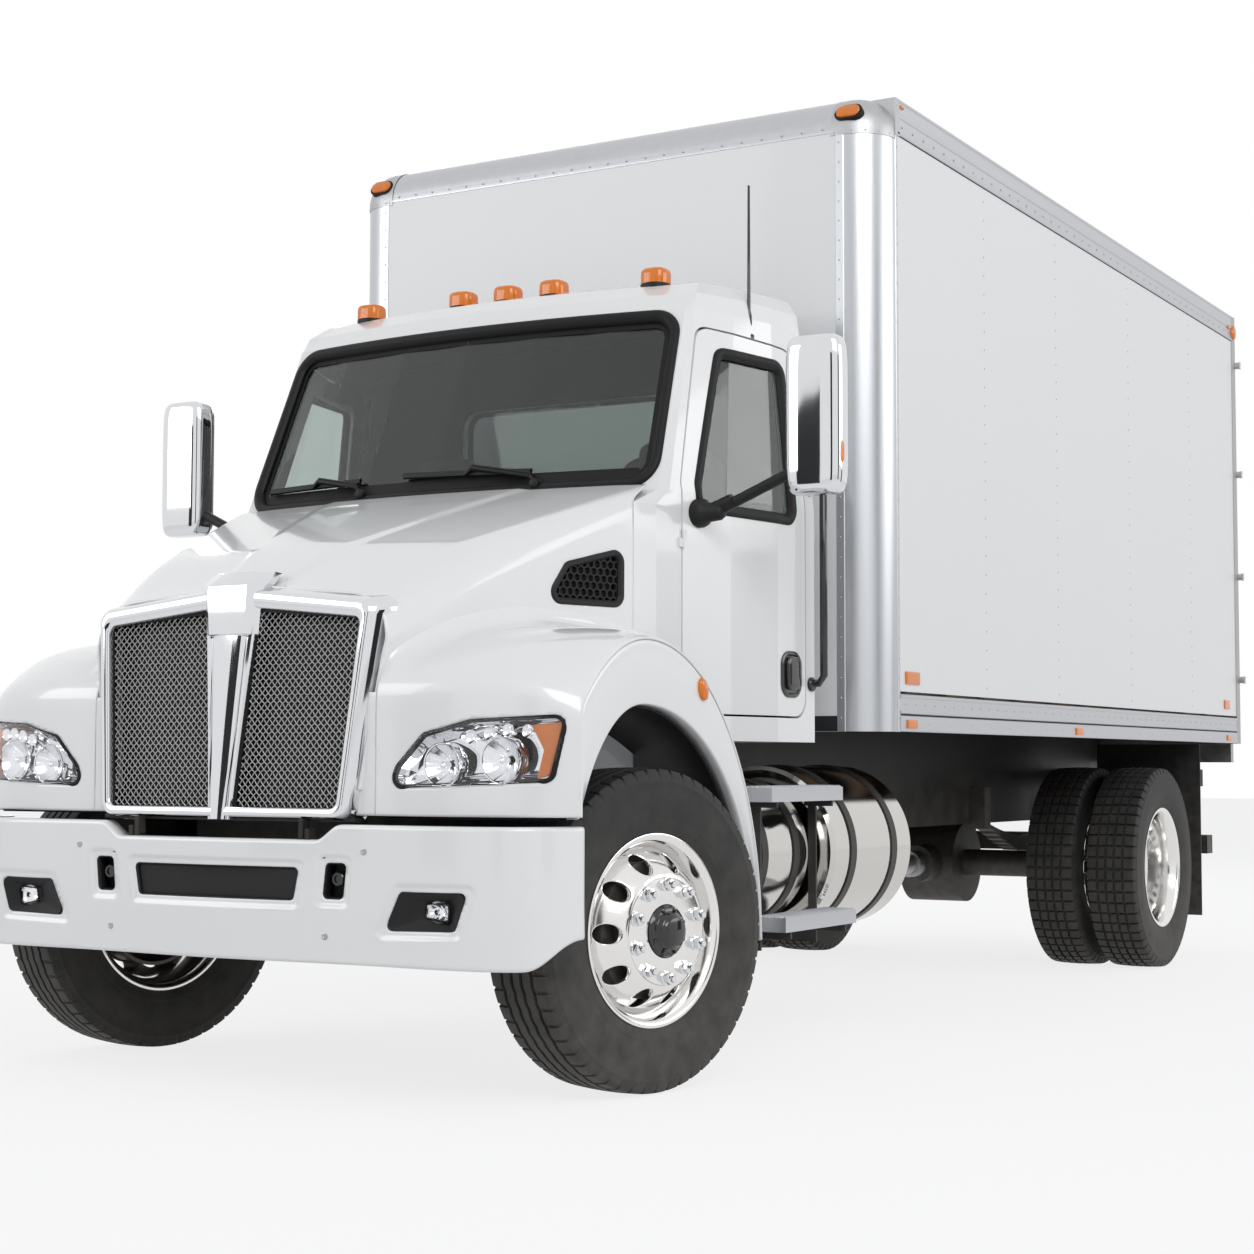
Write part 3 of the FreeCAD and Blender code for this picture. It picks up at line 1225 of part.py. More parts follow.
def arch_cut():
    """Wheel opening: two quarter ellipses that meet at its top, open below."""
    tall = s.arch_top - s.fender_tail_z
    rear = [(s.arch_behind + s.arch_rear * math.cos(a), s.fender_tail_z + tall * math.sin(a))
            for a in quarter(9)]
    front = [(s.arch_behind - s.arch_front * math.cos(a), s.fender_tail_z + tall * math.sin(a))
             for a in quarter(9)[-2::-1]]
    points = rear + front
    points += [(s.arch_behind - s.arch_front, 0), (s.arch_behind + s.arch_rear, 0)]
    reach = s.frame_width / 2 + s.spring_width
    return extrude([Vector(reach, axle_y + y, z) for y, z in points],
                   Vector(s.fender_out + s.overrun - reach, 0, 0))


# Headlamp's corners seen from the front, as shares of its width and height.
lamp_shares = ((0, 0), (0.05, 0.3), (0.22, 0.74), (0.5, 0.93), (1, 1), (0.93, 0.1))


def lamp_prism(grow=0):
    """Headlamp's outline seen from the front, run back through the fender."""
    inner, outer, low, high = s.lamp_inner_x, s.lamp_outer_x, s.lamp_bottom, s.lamp_top
    wide, tall = outer - inner, high - low
    middle = Vector(inner + wide / 2, 0, low + tall / 2)
    points = []
    for share_x, share_z in lamp_shares:
        corner = Vector(inner + share_x * wide, 0, low + share_z * tall)
        away = corner - middle
        corner += Vector(math.copysign(1, away.x), 0, math.copysign(1, away.z)) * grow
        points.append(corner + Vector(0, axle_y + s.fender_front - s.overrun, 0))
    return extrude(points, Vector(0, s.fender_corner - s.fender_front + 2 * s.lamp_depth, 0))


def vent_prism(grow=0):
    """Vent's outline on the hood's side."""
    low, high = s.vent_low, s.vent_high
    front, rear = s.vent_front, s.vent_rear
    corners = [(front - grow, low - grow), (rear + grow, low - grow),
               (rear + grow, high + grow), (front + (rear - front) / 4, high - grow
                                            - (high - low) / 3 + 2 * grow)]
    return extrude([Vector(s.hood_nose_half, axle_y + y, z) for y, z in corners],
                   Vector(s.hood_cowl_half, 0, 0))


def hood_parts():
    """Hood shell with its fenders, headlamps, vents and grille."""
    centre, inner_centre = hood_centre(0), hood_centre(s.hood_wall)
    left, inner_left = fender_solid(0), fender_solid(s.hood_wall)
    flip = ((lambda shape: shape), (lambda shape: shape.mirror(ORIGIN, X_AXIS)))
    outer = centre
    for way in flip:
        outer = outer.fuse(way(left))
    inner = inner_centre
    for way in flip:
        inner = inner.fuse(way(inner_left))
    shell = outer.cut(inner)
    wide = s.hood_cowl_half + s.overrun
    seam_y = axle_y + s.hood_seam
    below = box_at((-wide, wide), (seam_y, axle_y + s.cab_rear),
                   (0, s.belt_z + s.panel_gap))
    behind = glass_prism(s.panel_gap)
    shell = shell.cut(below).cut(behind).cut(cab_solid(-s.panel_gap))
    for tool in (arch_cut(), lamp_prism(), vent_prism()):
        for way in flip:
            shell = shell.cut(way(tool))
    back = left.copy()
    back.translate(Vector(0, s.lamp_depth, 0))
    lamp = left.cut(back).common(lamp_prism(-s.lamp_gap)).cut(arch_cut())
    vent = hood_centre(2 * s.hood_wall).cut(hood_centre(4 * s.hood_wall))
    vent = vent.common(vent_prism(-s.fit_gap))
    edge = vent_prism(-s.fit_gap).cut(vent_prism(-s.hood_wall))
    vent = vent.fuse(centre.cut(hood_centre(3 * s.hood_wall)).common(edge))
    shell = biggest(shell).multiFuse(hood_arms()).cut(grille_recess())
    screens = both(biggest(vent)).Solids + grille_screens()
    return [made("hood", shell), made("headlamps", both(biggest(lamp))),
            made("hood_screens", Part.Compound(screens)), grille_surround()]


def biggest(shape):
    return max(shape.Solids, key=lambda solid: solid.Volume)


def hood_arms():
    """Plates that hang the hood's front on the pivot pins, and the bar that joins them."""
    inner = s.frame_width / 2 - s.rail_flange - 3 * s.hinge_plate / 2
    y = axle_y + s.hood_pivot_behind
    plate = box_at((inner, inner + s.hinge_plate), (y - s.hinge_plate, y + s.hinge_plate),
                   (s.hood_pivot_z - s.hinge_plate, s.grille_bottom - s.fit_gap))
    bore = Part.makeCylinder(s.hinge_pin + s.fit_gap, 3 * s.hinge_plate,
                             Vector(inner - s.hinge_plate, y, s.hood_pivot_z), X_AXIS)
    plate = plate.cut(bore)
    wide = s.grille_bottom_half - s.hood_wall / 2
    front = axle_y + s.grille_bottom_behind + s.grille_depth / 2
    bar = box_at((-wide, wide), (front, front + s.grille_depth),
                 (s.grille_bottom - s.hood_wall, s.grille_bottom + s.hood_wall))
    return [plate, plate.mirror(ORIGIN, X_AXIS), bar]


# Grille: a sloping bright surround with a tapered middle bar, a crown and two wire screens.
def grille_frame_points(border):
    """Half outline of the surround in x and z, inset by a border."""
    slope = (s.grille_top_half - s.grille_bottom_half) / (s.grille_top - s.grille_bottom)
    low, high = s.grille_bottom + border, s.grille_top - border
    return [(s.grille_bottom_half - border + slope * border, low),
            (s.grille_top_half - border - slope * border, high)]


def grille_place(shape):
    """Lean a shape drawn upright at the grille's bottom onto the grille's plane."""
    lean = math.degrees(math.atan2(s.grille_top_behind - s.grille_bottom_behind,
                                   s.grille_top - s.grille_bottom))
    pivot = Vector(0, axle_y + s.grille_bottom_behind, s.grille_bottom)
    shape.rotate(pivot, X_AXIS, -lean)
    return shape


def screen_outline(grow=0):
    """One screen's opening: its inner side follows the tapered bar."""
    outer = grille_frame_points(s.grille_border - grow)
    return [(s.grille_bar_bottom - grow, outer[0][1]), outer[0], outer[1],
            (s.grille_bar_top - grow, outer[1][1])]


def upright(points, low, high, radius=0):
    """Prism from the grille's face plane, low to high behind it."""
    y = axle_y + s.grille_bottom_behind
    return extrude([Vector(x, y + low, z) for x, z in points], Vector(0, high - low, 0), radius)


def surround_outline(grow=0):
    """Whole outline of the surround: upright sides and a top that peaks in the middle."""
    low, high = grille_frame_points(-grow)
    peak = s.hood_nose_crown + s.hood_wall + grow
    return [low, high, (0, peak), (-high[0], high[1]), (-low[0], low[1])]


def grille_recess():
    """Room in the hood's nose for the surround."""
    return grille_place(upright(surround_outline(s.lamp_gap), -4 * s.grille_depth,
                                s.grille_depth / 2, s.grille_border / 2))


# The bar's raised ridge and the crown above it, as shares of the bar's half widths, and
# how far they stand proud, as shares of the surround's depth.
ridge_low_share, ridge_top_share, crown_tip_share = 0.7, 0.8, 0.62
ridge_proud_share, crown_proud_share = 0.75, 0.9


def grille_surround():
    """Rounded frame with a tapered ridge up its middle bar and a crown on top."""
    back = s.grille_depth / 2 - s.fit_gap
    body = upright(surround_outline(), -s.grille_depth / 2, back, s.grille_border / 2)
    low_half = s.grille_bar_bottom * ridge_low_share
    top_half = s.grille_bar_top * ridge_top_share
    tip_half = s.grille_bar_top * crown_tip_share
    crown_half = [(top_half, s.grille_top - s.grille_border), (s.grille_bar_top, s.grille_top),
                  (tip_half, s.grille_top + s.grille_crown)]
    crown = upright(crown_half + [(-x, z) for x, z in reversed(crown_half)],
                    -s.grille_depth * crown_proud_share, back)
    ridge = upright([(low_half, s.grille_bottom), (top_half, s.grille_top),
                     (-top_half, s.grille_top), (-low_half, s.grille_bottom)],
                    -s.grille_depth * ridge_proud_share, back)
    body = body.fuse(crown).fuse(ridge)
    for way in (1, -1):
        hole = [(way * x, z) for x, z in screen_outline()]
        body = body.cut(upright(hole, -2 * s.grille_depth, 2 * s.grille_depth,
                                s.grille_border / 5))
    return made("grille_surround", grille_place(body))


def grille_screens():
    """Two layers of slanting wires a side, clipped to the opening, in a thin edge frame."""
    pieces = []
    opening = screen_outline(-s.fit_gap)
    low, high = opening[0][1], opening[2][1]
    tall, wide = high - low, opening[2][0]
    corner = s.grille_border / 5
    clip = upright(opening, -s.grille_depth / 2, s.grille_depth / 2, corner)
    edge = upright(opening, -s.mesh_wire, s.mesh_wire, corner).cut(
        upright(screen_outline(-2 * s.mesh_wire), -2 * s.mesh_wire, 2 * s.mesh_wire,
                s.mesh_wire))
    across = s.mesh_wire * math.sqrt(2)
    for way, depth in ((1, -s.mesh_wire), (-1, 0)):
        for number in range(int((wide + tall) / s.mesh_pitch) + 1):
            x = number * s.mesh_pitch - tall
            wire = [(x, low), (x + across, low), (x + across + tall, high), (x + tall, high)]
            if way < 0:
                wire = [(wide - px, z) for px, z in wire]
            bar = upright(wire, depth, depth + s.mesh_wire).common(clip)
            pieces += bar.Solids
    screen = edge.multiFuse(pieces)
    return grille_place(both(screen)).Solids


# Cab: rows of its roof as (rise, front, tuck at the front, tuck at the sides), rise and
# front as shares of the height above the windshield, tucks in steps of the roof's tuck.
roof_shares = ((0.55, 0.4, 0, 0.33), (0.85, 0.85, 1, 1.5), (1, 1.35, 3, 3.5))


def cab_levels(inset):
    """Plan outlines of the cab from the sill to the roof: height, front, bow, half widths."""
    belt, glass_low, glass_high = s.belt_z, s.glass_bottom_z, s.glass_top_z
    front_low, front_high = s.glass_bottom_behind, s.glass_top_behind
    side, rear = s.door_front_half, s.cab_rear_half
    roof = s.cab_roof - glass_high
    lean = (front_high - front_low) / (glass_high - glass_low)
    top_side, top_rear = side - 2 * s.roof_tuck, rear - 2 * s.roof_tuck
    rows = [
        (s.cab_bottom - (s.overrun if inset else 0), s.cab_front, 0, s.cab_front_half,
         side, rear, 0),
        (belt - inset, s.cab_front, 0, s.cab_front_half, side, rear, 0),
        (glass_low - s.glass_lip, front_low - s.glass_lip * lean, s.glass_bow,
         s.glass_bottom_half + s.glass_lip, side, rear, 0),
        (glass_high + s.glass_lip, front_high + s.glass_lip * lean, s.glass_bow,
         s.glass_top_half + s.glass_lip, top_side, top_rear, s.door_rake),
    ]
    for rise, front, tuck_front, tuck_side in roof_shares:
        rows.append((glass_high + roof * rise - inset, front_high + roof * front, s.glass_bow,
                     s.glass_top_half - s.roof_tuck * tuck_front,
                     top_side - s.roof_tuck * tuck_side, top_rear - s.roof_tuck * tuck_side,
                     s.door_rake))
    return rows


front_shares = (0.35, 0.7, 1)
pillar_shares = (0.6, 0.4)
side_shares = ((0.5, 0.3), (0.85, 0.65))


def cab_ring(level, inset):
    z, front, bow, half_front, half_door, half_rear, rake = level
    front += inset
    half_front, half_door, half_rear = (half - inset
                                        for half in (half_front, half_door, half_rear))
    rear = s.cab_rear - inset
    door = max(s.door_front + rake, front + bow + inset)
    half = [(half_front * share, front + bow * share ** 2) for share in front_shares]
    half.append((half_front + (half_door - half_front) * pillar_shares[0],
                 front + bow + (door - front - bow) * pillar_shares[1]))
    half.append((half_door, door))
    half += [(half_door + (half_rear - half_door) * out, door + (rear - door) * back)
             for out, back in side_shares]
    round_rear = s.roof_tuck / 2
    half += [(half_rear, rear - round_rear), (half_rear - round_rear, rear)]
    points = [(-x, y) for x, y in reversed(half)] + [(0, front)] + half
    return ring([Vector(x, axle_y + y, z) for x, y in points])


def cab_solid(inset):
    return loft([cab_ring(level, inset) for level in cab_levels(inset)])


def glass_prism(gap):
    """Everything behind the windshield's lower edge, seen from above, less a gap."""
    wide = s.glass_bottom_half + 2 * s.glass_lip
    front = s.glass_bottom_behind - s.glass_lip - gap
    points = [(wide * share, front + s.glass_bow * share ** 2)
              for share in [-share for share in front_shares[::-1]] + [0, *front_shares]]
    points += [(s.cab_rear_half, front + s.glass_bow), (s.cab_rear_half, s.cab_rear),
               (-s.cab_rear_half, s.cab_rear), (-s.cab_rear_half, front + s.glass_bow)]
    return extrude([Vector(x, axle_y + y, s.belt_z - s.overrun) for x, y in points],
                   Vector(0, 0, s.cab_roof))


def side_prism(grow, radius, border=0):
    """Door's outline from the side, or its window's when there is a border."""
    bottom = s.window_bottom - grow if border else s.door_bottom - grow
    front, rear = s.door_front + border - grow, s.door_rear - border + grow
    top = s.door_top - border + grow
    kink = s.glass_bottom_z
    corners = [(front, bottom), (rear, bottom), (rear, top - s.overrun),
               (front + s.door_rake, top), (front, kink)]
    return extrude([Vector(0, axle_y + y, z) for y, z in corners],
                   Vector(s.cab_rear_half + s.overrun, 0, 0), radius)


def windshield_prism(grow=0):
    low, high = s.glass_bottom_z - grow, s.glass_top_z + grow
    corners = [(-s.glass_bottom_half - grow, low), (s.glass_bottom_half + grow, low),
               (s.glass_top_half + grow, high), (-s.glass_top_half - grow, high)]
    start = axle_y + s.cab_front
    return extrude([Vector(x, start, z) for x, z in corners],
                   Vector(0, s.glass_top_behind + s.glass_bow, 0), s.glass_lip * 2)


def rear_window_prism(grow=0):
    half, low, high = s.rear_window_half + grow, s.window_bottom - grow, s.glass_top_z + grow
    high -= s.window_border * 2
    corners = [(-half, low), (half, low), (half, high), (-half, high)]
    start = axle_y + s.cab_rear - 2 * s.cab_wall
    return extrude([Vector(x, start, z) for x, z in corners],
                   Vector(0, 3 * s.cab_wall, 0), s.glass_lip * 2)


def cab_parts():
    """Hollow cab with its openings, floor, glass, dashboard and the two doors."""
    outer, inner = cab_solid(0), cab_solid(s.cab_wall)
    shell = outer.cut(inner)
    door_hole = side_prism(s.panel_gap, s.glass_lip * 2)
    for tool in (door_hole, door_hole.mirror(ORIGIN, X_AXIS), windshield_prism(),
                 rear_window_prism()):
        shell = shell.cut(tool)
    slab = box_at((-s.cab_rear_half, s.cab_rear_half), (axle_y, axle_y + s.cab_rear),
                  (s.cab_floor_z, s.cab_floor_z + s.cab_floor_thickness))
    floor = slab.common(cab_solid(s.cab_wall - s.fit_gap)).multiFuse(cab_mounts())
    pane = cab_solid(s.cab_wall / 3).cut(cab_solid(s.cab_wall / 3 + s.glass_thickness))
    screen = pane.common(windshield_prism(-s.fit_gap))
    rear_pane = pane.common(rear_window_prism(-s.fit_gap))
    dash_box = box_at((-s.cab_rear_half, s.cab_rear_half),
                      (axle_y + s.cab_front, dash_rear),
                      (s.belt_z - s.dash_height, s.belt_z - s.cab_wall - s.fit_gap))
    dash = dash_box.common(cab_solid(s.cab_wall + s.fit_gap))
    door = shell_side(outer, inner).common(side_prism(0, s.glass_lip * 2))
    door = door.cut(side_prism(0, s.glass_lip, s.window_border))
    door, shell = hinged(biggest(door), biggest(shell.fuse(floor)))
    glass = biggest(pane.common(side_prism(-s.fit_gap, s.glass_lip, s.window_border)))
    parts = [made("cab", shell),
             made("cab_glass", Part.Compound([biggest(screen), biggest(rear_pane)])),
             made("dashboard", biggest(dash))]
    mirror = mirror_shape().cut(outer)
    for label, way in (("left", lambda shape: shape),
                       ("right", lambda shape: shape.mirror(ORIGIN, X_AXIS))):
        parts += [made(f"door_{label}", way(door)), made(f"door_glass_{label}", way(glass)),
                  made(f"mirror_{label}", way(biggest(mirror)))]
    fittings = Part.Compound([antenna(outer)] + grab_handles(outer))
    return parts + [seats(), steering_wheel(), made("cab_fittings", fittings)]


def cab_mounts():
    """Blocks that stand the cab's floor on the rails."""
    x = (s.frame_width / 2 - s.rail_flange, s.frame_width / 2)
    pieces = []
    for behind in (s.cab_mount_front, s.cab_mount_rear):
        y = axle_y + behind
        block_left = box_at(x, (y, y + s.cab_mount_width), (s.rail_top, s.cab_floor_z))
        pieces += both(block_left).Solids
    return pieces


def hinged(door, shell):
    """Left door and the cab with their hinge barrels, one on top of the other."""
    at = Vector(s.door_hinge_x, axle_y + s.door_front - s.panel_gap / 2, 0)
    r = s.door_hinge_radius
    for z in (s.door_hinge_low, s.door_hinge_high):
        for way, height in ((-1, z), (1, z + s.door_hinge_tall + s.fit_gap)):
            low = at + Vector(0, 0, height)
            barrel = Part.makeCylinder(r, s.door_hinge_tall, low)
            start, end = sorted((low.y, low.y + way * s.door_hinge_leaf))
            plate = box_at((low.x - s.door_hinge_leaf, low.x), (start, end),
                           (height, height + s.door_hinge_tall))
            joined = barrel.fuse(plate)
            if way > 0:
                door = door.fuse(joined)
            else:
                shell = shell.fuse(joined)
                shell = shell.fuse(joined.mirror(ORIGIN, X_AXIS))
    return door, shell


def shell_side(outer, inner):
    return outer.cut(inner).common(box_at((0, s.cab_rear_half), (axle_y, axle_y + s.cab_rear),
                                          (0, s.cab_roof)))


def mirror_shape():
    """Mirror head on an arm from a round foot on the door's front edge."""
    x, y = s.mirror_x, axle_y + s.mirror_behind
    head = extrude([Vector(x - s.mirror_width / 2, y - s.mirror_depth / 2, s.mirror_bottom),
                    Vector(x + s.mirror_width / 2, y - s.mirror_depth / 2, s.mirror_bottom),
                    Vector(x + s.mirror_width / 2, y + s.mirror_depth / 2, s.mirror_bottom),
                    Vector(x - s.mirror_width / 2, y + s.mirror_depth / 2, s.mirror_bottom)],
                   Vector(0, 0, s.mirror_height), s.mirror_depth / 3)
    foot = Vector(s.door_front_half - s.cab_wall / 2, axle_y + s.door_front + s.window_border,
                  s.mirror_arm_z)
    out = foot + Vector(s.window_border, 0, 0)
    end = Vector(x, y, s.mirror_bottom + s.mirror_height / 5)
    arm = tube_along([out, end], s.mirror_arm_radius)
    base = Part.makeCylinder(2 * s.mirror_arm_radius, s.window_border, foot, X_AXIS)
    ball = Part.makeSphere(s.mirror_ball_radius, out)
    return head.multiFuse([arm, base, ball])


# Backrest's top and foot, as shares of its thickness.
back_top_share, back_foot_share = 0.7, 1.5


def seats():
    """Two seats on their boxes, each a cushion with a raked backrest."""
    floor = s.cab_floor_z + s.cab_floor_thickness
    rear = axle_y + s.cab_rear - s.cab_wall - s.panel_gap
    front = rear - s.seat_depth
    profile = [(front, floor), (rear - s.seat_thickness, floor), (rear, floor + s.seat_height),
               (rear, floor + s.seat_height + s.seat_back),
               (rear - s.seat_thickness * back_top_share, floor + s.seat_height + s.seat_back),
               (rear - s.seat_thickness * back_foot_share, floor + s.seat_height),
               (front, floor + s.seat_height)]
    seat = extrude([Vector(s.seat_x - s.seat_width / 2, y, z) for y, z in profile],
                   Vector(s.seat_width, 0, 0))
    return made("seats", both(seat))


dash_rear = axle_y + s.door_front - 2 * s.cab_wall
rim_sides = 6


def steering_wheel():
    """Rim, three spokes and a column into the dashboard."""
    at = Vector(s.seat_x, dash_rear + s.steering_wheel_radius, s.belt_z)
    tilt = Rotation(X_AXIS, -s.column_tilt)
    axis = tilt.multVec(Z_AXIS)
    section = [Vector(s.steering_wheel_radius + s.steering_rim_radius * math.cos(a), 0,
                      s.steering_rim_radius * math.sin(a))
               for a in (2 * math.pi * step / rim_sides for step in range(rim_sides))]
    rim = Part.Face(ring(section)).revolve(ORIGIN, Z_AXIS, 360)
    rim.Placement = Placement(at, tilt)
    spokes = []
    for angle in (0, 120, 240):
        way = tilt.multVec(Rotation(Z_AXIS, angle + 90).multVec(X_AXIS))
        spokes.append(Part.makeCylinder(s.steering_spoke_radius, s.steering_wheel_radius,
                                        at, way))
    hub = Part.makeCylinder(3 * s.steering_rim_radius, 2 * s.steering_rim_radius,
                            at - axis * s.steering_rim_radius, axis)
    column = Part.makeCylinder(s.steering_column_radius, s.dash_depth * 2, at, axis * -1)
    dash = box_at((-s.cab_rear_half, s.cab_rear_half),
                  (axle_y - s.dash_depth, dash_rear + s.fit_gap), (0, s.cab_roof))
    return made("steering_wheel", rim.multiFuse(spokes + [hub, column]).cut(dash))


# Marker's dome at its foot and at its top, as shares of the marker's radius.
dome_low_share, dome_top_share = 0.92, 0.6


def roof_markers():
    """Five domed lamps across the roof's front."""
    y, z = axle_y + s.marker_behind, s.cab_roof
    roof = cab_solid(0)
    third = s.marker_height / 3
    pieces = []
    for x in (-s.marker_outer_x, -s.marker_inner_x, 0, s.marker_inner_x, s.marker_outer_x):
        at = Vector(x, y, z)
        base = Part.makeCylinder(s.marker_radius, third + s.roof_tuck,
                                 at - Vector(0, 0, s.roof_tuck))
        dome = Part.makeCone(s.marker_radius * dome_low_share,
                             s.marker_radius * dome_top_share, 2 * third,
                             at + Vector(0, 0, third))
        pieces.append(biggest(base.fuse(dome).cut(roof)))
    return pieces


def antenna(outer):
    foot = Vector(s.antenna_x, axle_y + s.door_rear - s.window_border * 3,
                  s.glass_top_z - s.glass_lip)
    whip = Part.makeCylinder(s.antenna_radius, s.antenna_length, foot)
    base = Part.makeCylinder(s.antenna_base_radius, s.antenna_base_length, foot)
    return biggest(whip.fuse(base).cut(outer))


def grab_handles(outer):
    """Bent tube behind each door."""
    y = axle_y + (s.door_rear + s.cab_rear) / 2
    inner, out = s.cab_rear_half - s.cab_wall, s.cab_rear_half + s.grab_stand
    top, low = s.grab_top, s.grab_bottom
    bar = tube_along([Vector(inner, y, top), Vector(out, y, top), Vector(out, y, low),
                      Vector(inner, y, low)], s.grab_radius)
    return both(biggest(bar.cut(outer))).Solids


# Van body.
HALF = "(body_width / 2)"
RAIL_IN = f"({HALF} - rail_sheet)"
POST_Y = f"({BODY_FRONT} + post_round + post_flange)"
FRAME_Y = f"({BODY_REAR} - rear_frame_depth)"
RAIL_TOP_Z = "(body_bottom + bottom_rail)"


def side_strip(name, low, high, inner, outer):
    """Strip along each side between the corner post and the rear frame."""
    left = block(f"{name}_left", (inner, outer), (POST_Y, FRAME_Y), (low, high))
    return group(name, left, mirrored(f"{name}_right", left))


def van_walls():
    """Rails, side panels, roof and load floor."""
    proud = f"({HALF} + rail_proud)"
    bottom = side_strip("bottom_rails", "body_bottom", RAIL_TOP_Z, RAIL_IN, proud)
    top = side_strip("top_rails", TOP_RAIL_Z, "body_top", RAIL_IN, proud)
    left = block("side_panel_left", (f"{HALF} - side_wall", HALF), (POST_Y, FRAME_Y),
                 (RAIL_TOP_Z, TOP_RAIL_Z))
    right = block("side_panel_right", (f"-{HALF}", f"side_wall - {HALF}"), (POST_Y, FRAME_Y),
                  (RAIL_TOP_Z, TOP_RAIL_Z))
    header_y = f"({BODY_FRONT} + top_rail)"
    roof = block("roof", (f"-{RAIL_IN}", RAIL_IN), (POST_Y, FRAME_Y),
                 ("body_top - roof_skin", "body_top"))
    front_strip = block("roof_front", (f"post_round - {HALF}", f"{HALF} - post_round"),
                        (header_y, POST_Y), ("body_top - roof_skin", "body_top"))
    roof_all = fused("van_roof", roof, front_strip)
    main = block("floor_main", (f"-{RAIL_IN}", RAIL_IN), (POST_Y, FRAME_Y),
                 (RAIL_TOP_Z, FLOOR_TOP))
    between = block("floor_front", (f"post_round + post_flange - {HALF}",
                                    f"{HALF} - post_round - post_flange"),
                    (f"{BODY_FRONT} + front_wall", POST_Y), (RAIL_TOP_Z, FLOOR_TOP))
    floor = fused("load_floor", main, between)
    edge = f"({HALF} - post_round - post_flange)"
    front = block("front_panel", (f"-{edge}", edge),
                  (BODY_FRONT, f"{BODY_FRONT} + front_wall"), ("body_bottom", TOP_RAIL_Z))
    return [group("side_rails", bottom, top), group("wall_panels", left, right, front),
            roof_all, floor]


def quarter_ring(centre, radius, wall, tall):
    """Quarter of a round tube, open towards the truck's middle and its rear."""
    tube = Part.makeCylinder(radius, tall, centre).cut(
        Part.makeCylinder(radius - wall, tall, centre))
    return tube.common(box_at((centre.x, centre.x + radius), (centre.y - radius, centre.y),
                              (centre.z, centre.z + tall)))


def corner_posts():
    """Round posts with a flange over the front wall's edge and one over the side's."""
    r, wall, flange = s.post_round, s.post_wall, s.post_flange
    centre = Vector(half_body - r, body_front_y + r, s.body_bottom)
    post = quarter_ring(centre, r, wall, top_rail_z - s.body_bottom)
    front = box_at((half_body - r - flange, half_body - r), (body_front_y, body_front_y + wall),
                   (s.body_bottom, top_rail_z))
    side = box_at((half_body - wall, half_body),
                  (body_front_y + r, body_front_y + r + flange), (s.body_bottom, top_rail_z))
    return both(post.multiFuse([front, side]).removeSplitter())


def front_header():
    """Rounded front top rail."""
    r = s.top_rail
    wall = s.post_wall
    length = 2 * (half_body - s.post_round)
    centre = Vector(-length / 2, body_front_y + r, top_rail_z)
    outer = Part.makeCylinder(r, length, centre, X_AXIS)
    hollow = Part.makeCylinder(r - wall, length, centre, X_AXIS)
    keep = box_at((-half_body, half_body), (body_front_y, body_front_y + r),
                  (top_rail_z, s.body_top))
    return outer.cut(hollow).common(keep)


def front_frame():
    """Corner posts, front top rail and the cast caps between them, joined."""
    posts = corner_posts().Solids
    caps = both(corner_cap()).Solids
    return made("front_frame", front_header().multiFuse(caps + posts))


def corner_cap():
    """Cast cap between the header, the post and the top rail: quarter rounds in plan that
    draw in towards the top."""
    big, r = s.post_round, s.top_rail
    centre = Vector(half_body - big, body_front_y + big, 0)
    rings = []
    for a in quarter(6):
        at = centre + Vector(0, 0, top_rail_z + r * math.sin(a))
        reach = big - r * (1 - math.cos(a))
        rings.append(ring([at] + [at + Vector(reach * math.sin(t), -reach * math.cos(t), 0)
                                  for t in quarter(6)]))
    rear = box_at((half_body - big, half_body),
                  (body_front_y + big, body_front_y + big + s.post_flange),
                  (top_rail_z, s.body_top))
    return loft(rings).fuse(rear)


def rear_frame():
    """Portal at the back round the cargo doors."""
    outer = block("rear_portal", (f"-{HALF} - rail_proud", f"{HALF} + rail_proud"),
                  (FRAME_Y, BODY_REAR), ("body_bottom", "body_top"))
    hole = block("rear_portal_hole", (f"rear_post - {HALF}", f"{HALF} - rear_post"),
                 (f"{FRAME_Y} - overrun", f"{BODY_REAR} + overrun"),
                 (FLOOR_TOP, "body_top - rear_header"))
    portal = cut("rear_opening", outer, hole)
    return fused("rear_frame", portal, lamp_bar())


def joists():
    """Beams across the body under its floor, repeated front to back."""
    body = new_body("joists")
    top, bottom = RAIL_TOP_Z, f"({RAIL_TOP_Z} - joist_height)"
    front = f"({POST_Y} + joist_width)"
    rear = f"({front} + joist_width)"
    web = f"({front} + joist_width / 2 - rail_web / 2)"
    web_rear = f"({web} + rail_web)"
    points = [(front, bottom), (rear, bottom), (rear, f"{bottom} + rail_web"),
              (web_rear, f"{bottom} + rail_web"), (web_rear, f"{top} - rail_web"),
              (rear, f"{top} - rail_web"), (rear, top), (front, top),
              (front, f"{top} - rail_web"), (web, f"{top} - rail_web"),
              (web, f"{bottom} + rail_web"), (front, f"{bottom} + rail_web")]
    sketch = outline(body, "YZ_Plane", points, offset=f"-{RAIL_IN}")
    beam = pad(body, sketch, f"2 * {RAIL_IN}")
    row_of = body.newObject("PartDesign::LinearPattern", "joists_row")
    row_of.Originals = [beam]
    row_of.Direction = (plane_of(body, "Y_Axis"), [""])
    bind(row_of, Length=f"{FRAME_Y} - {POST_Y} - 3 * joist_width", Occurrences="joist_count")
    body.Tip = row_of
    return body


def underframe():
    """Joists that stand on two long sills."""
    return group("underframe", joists(), body_sills())


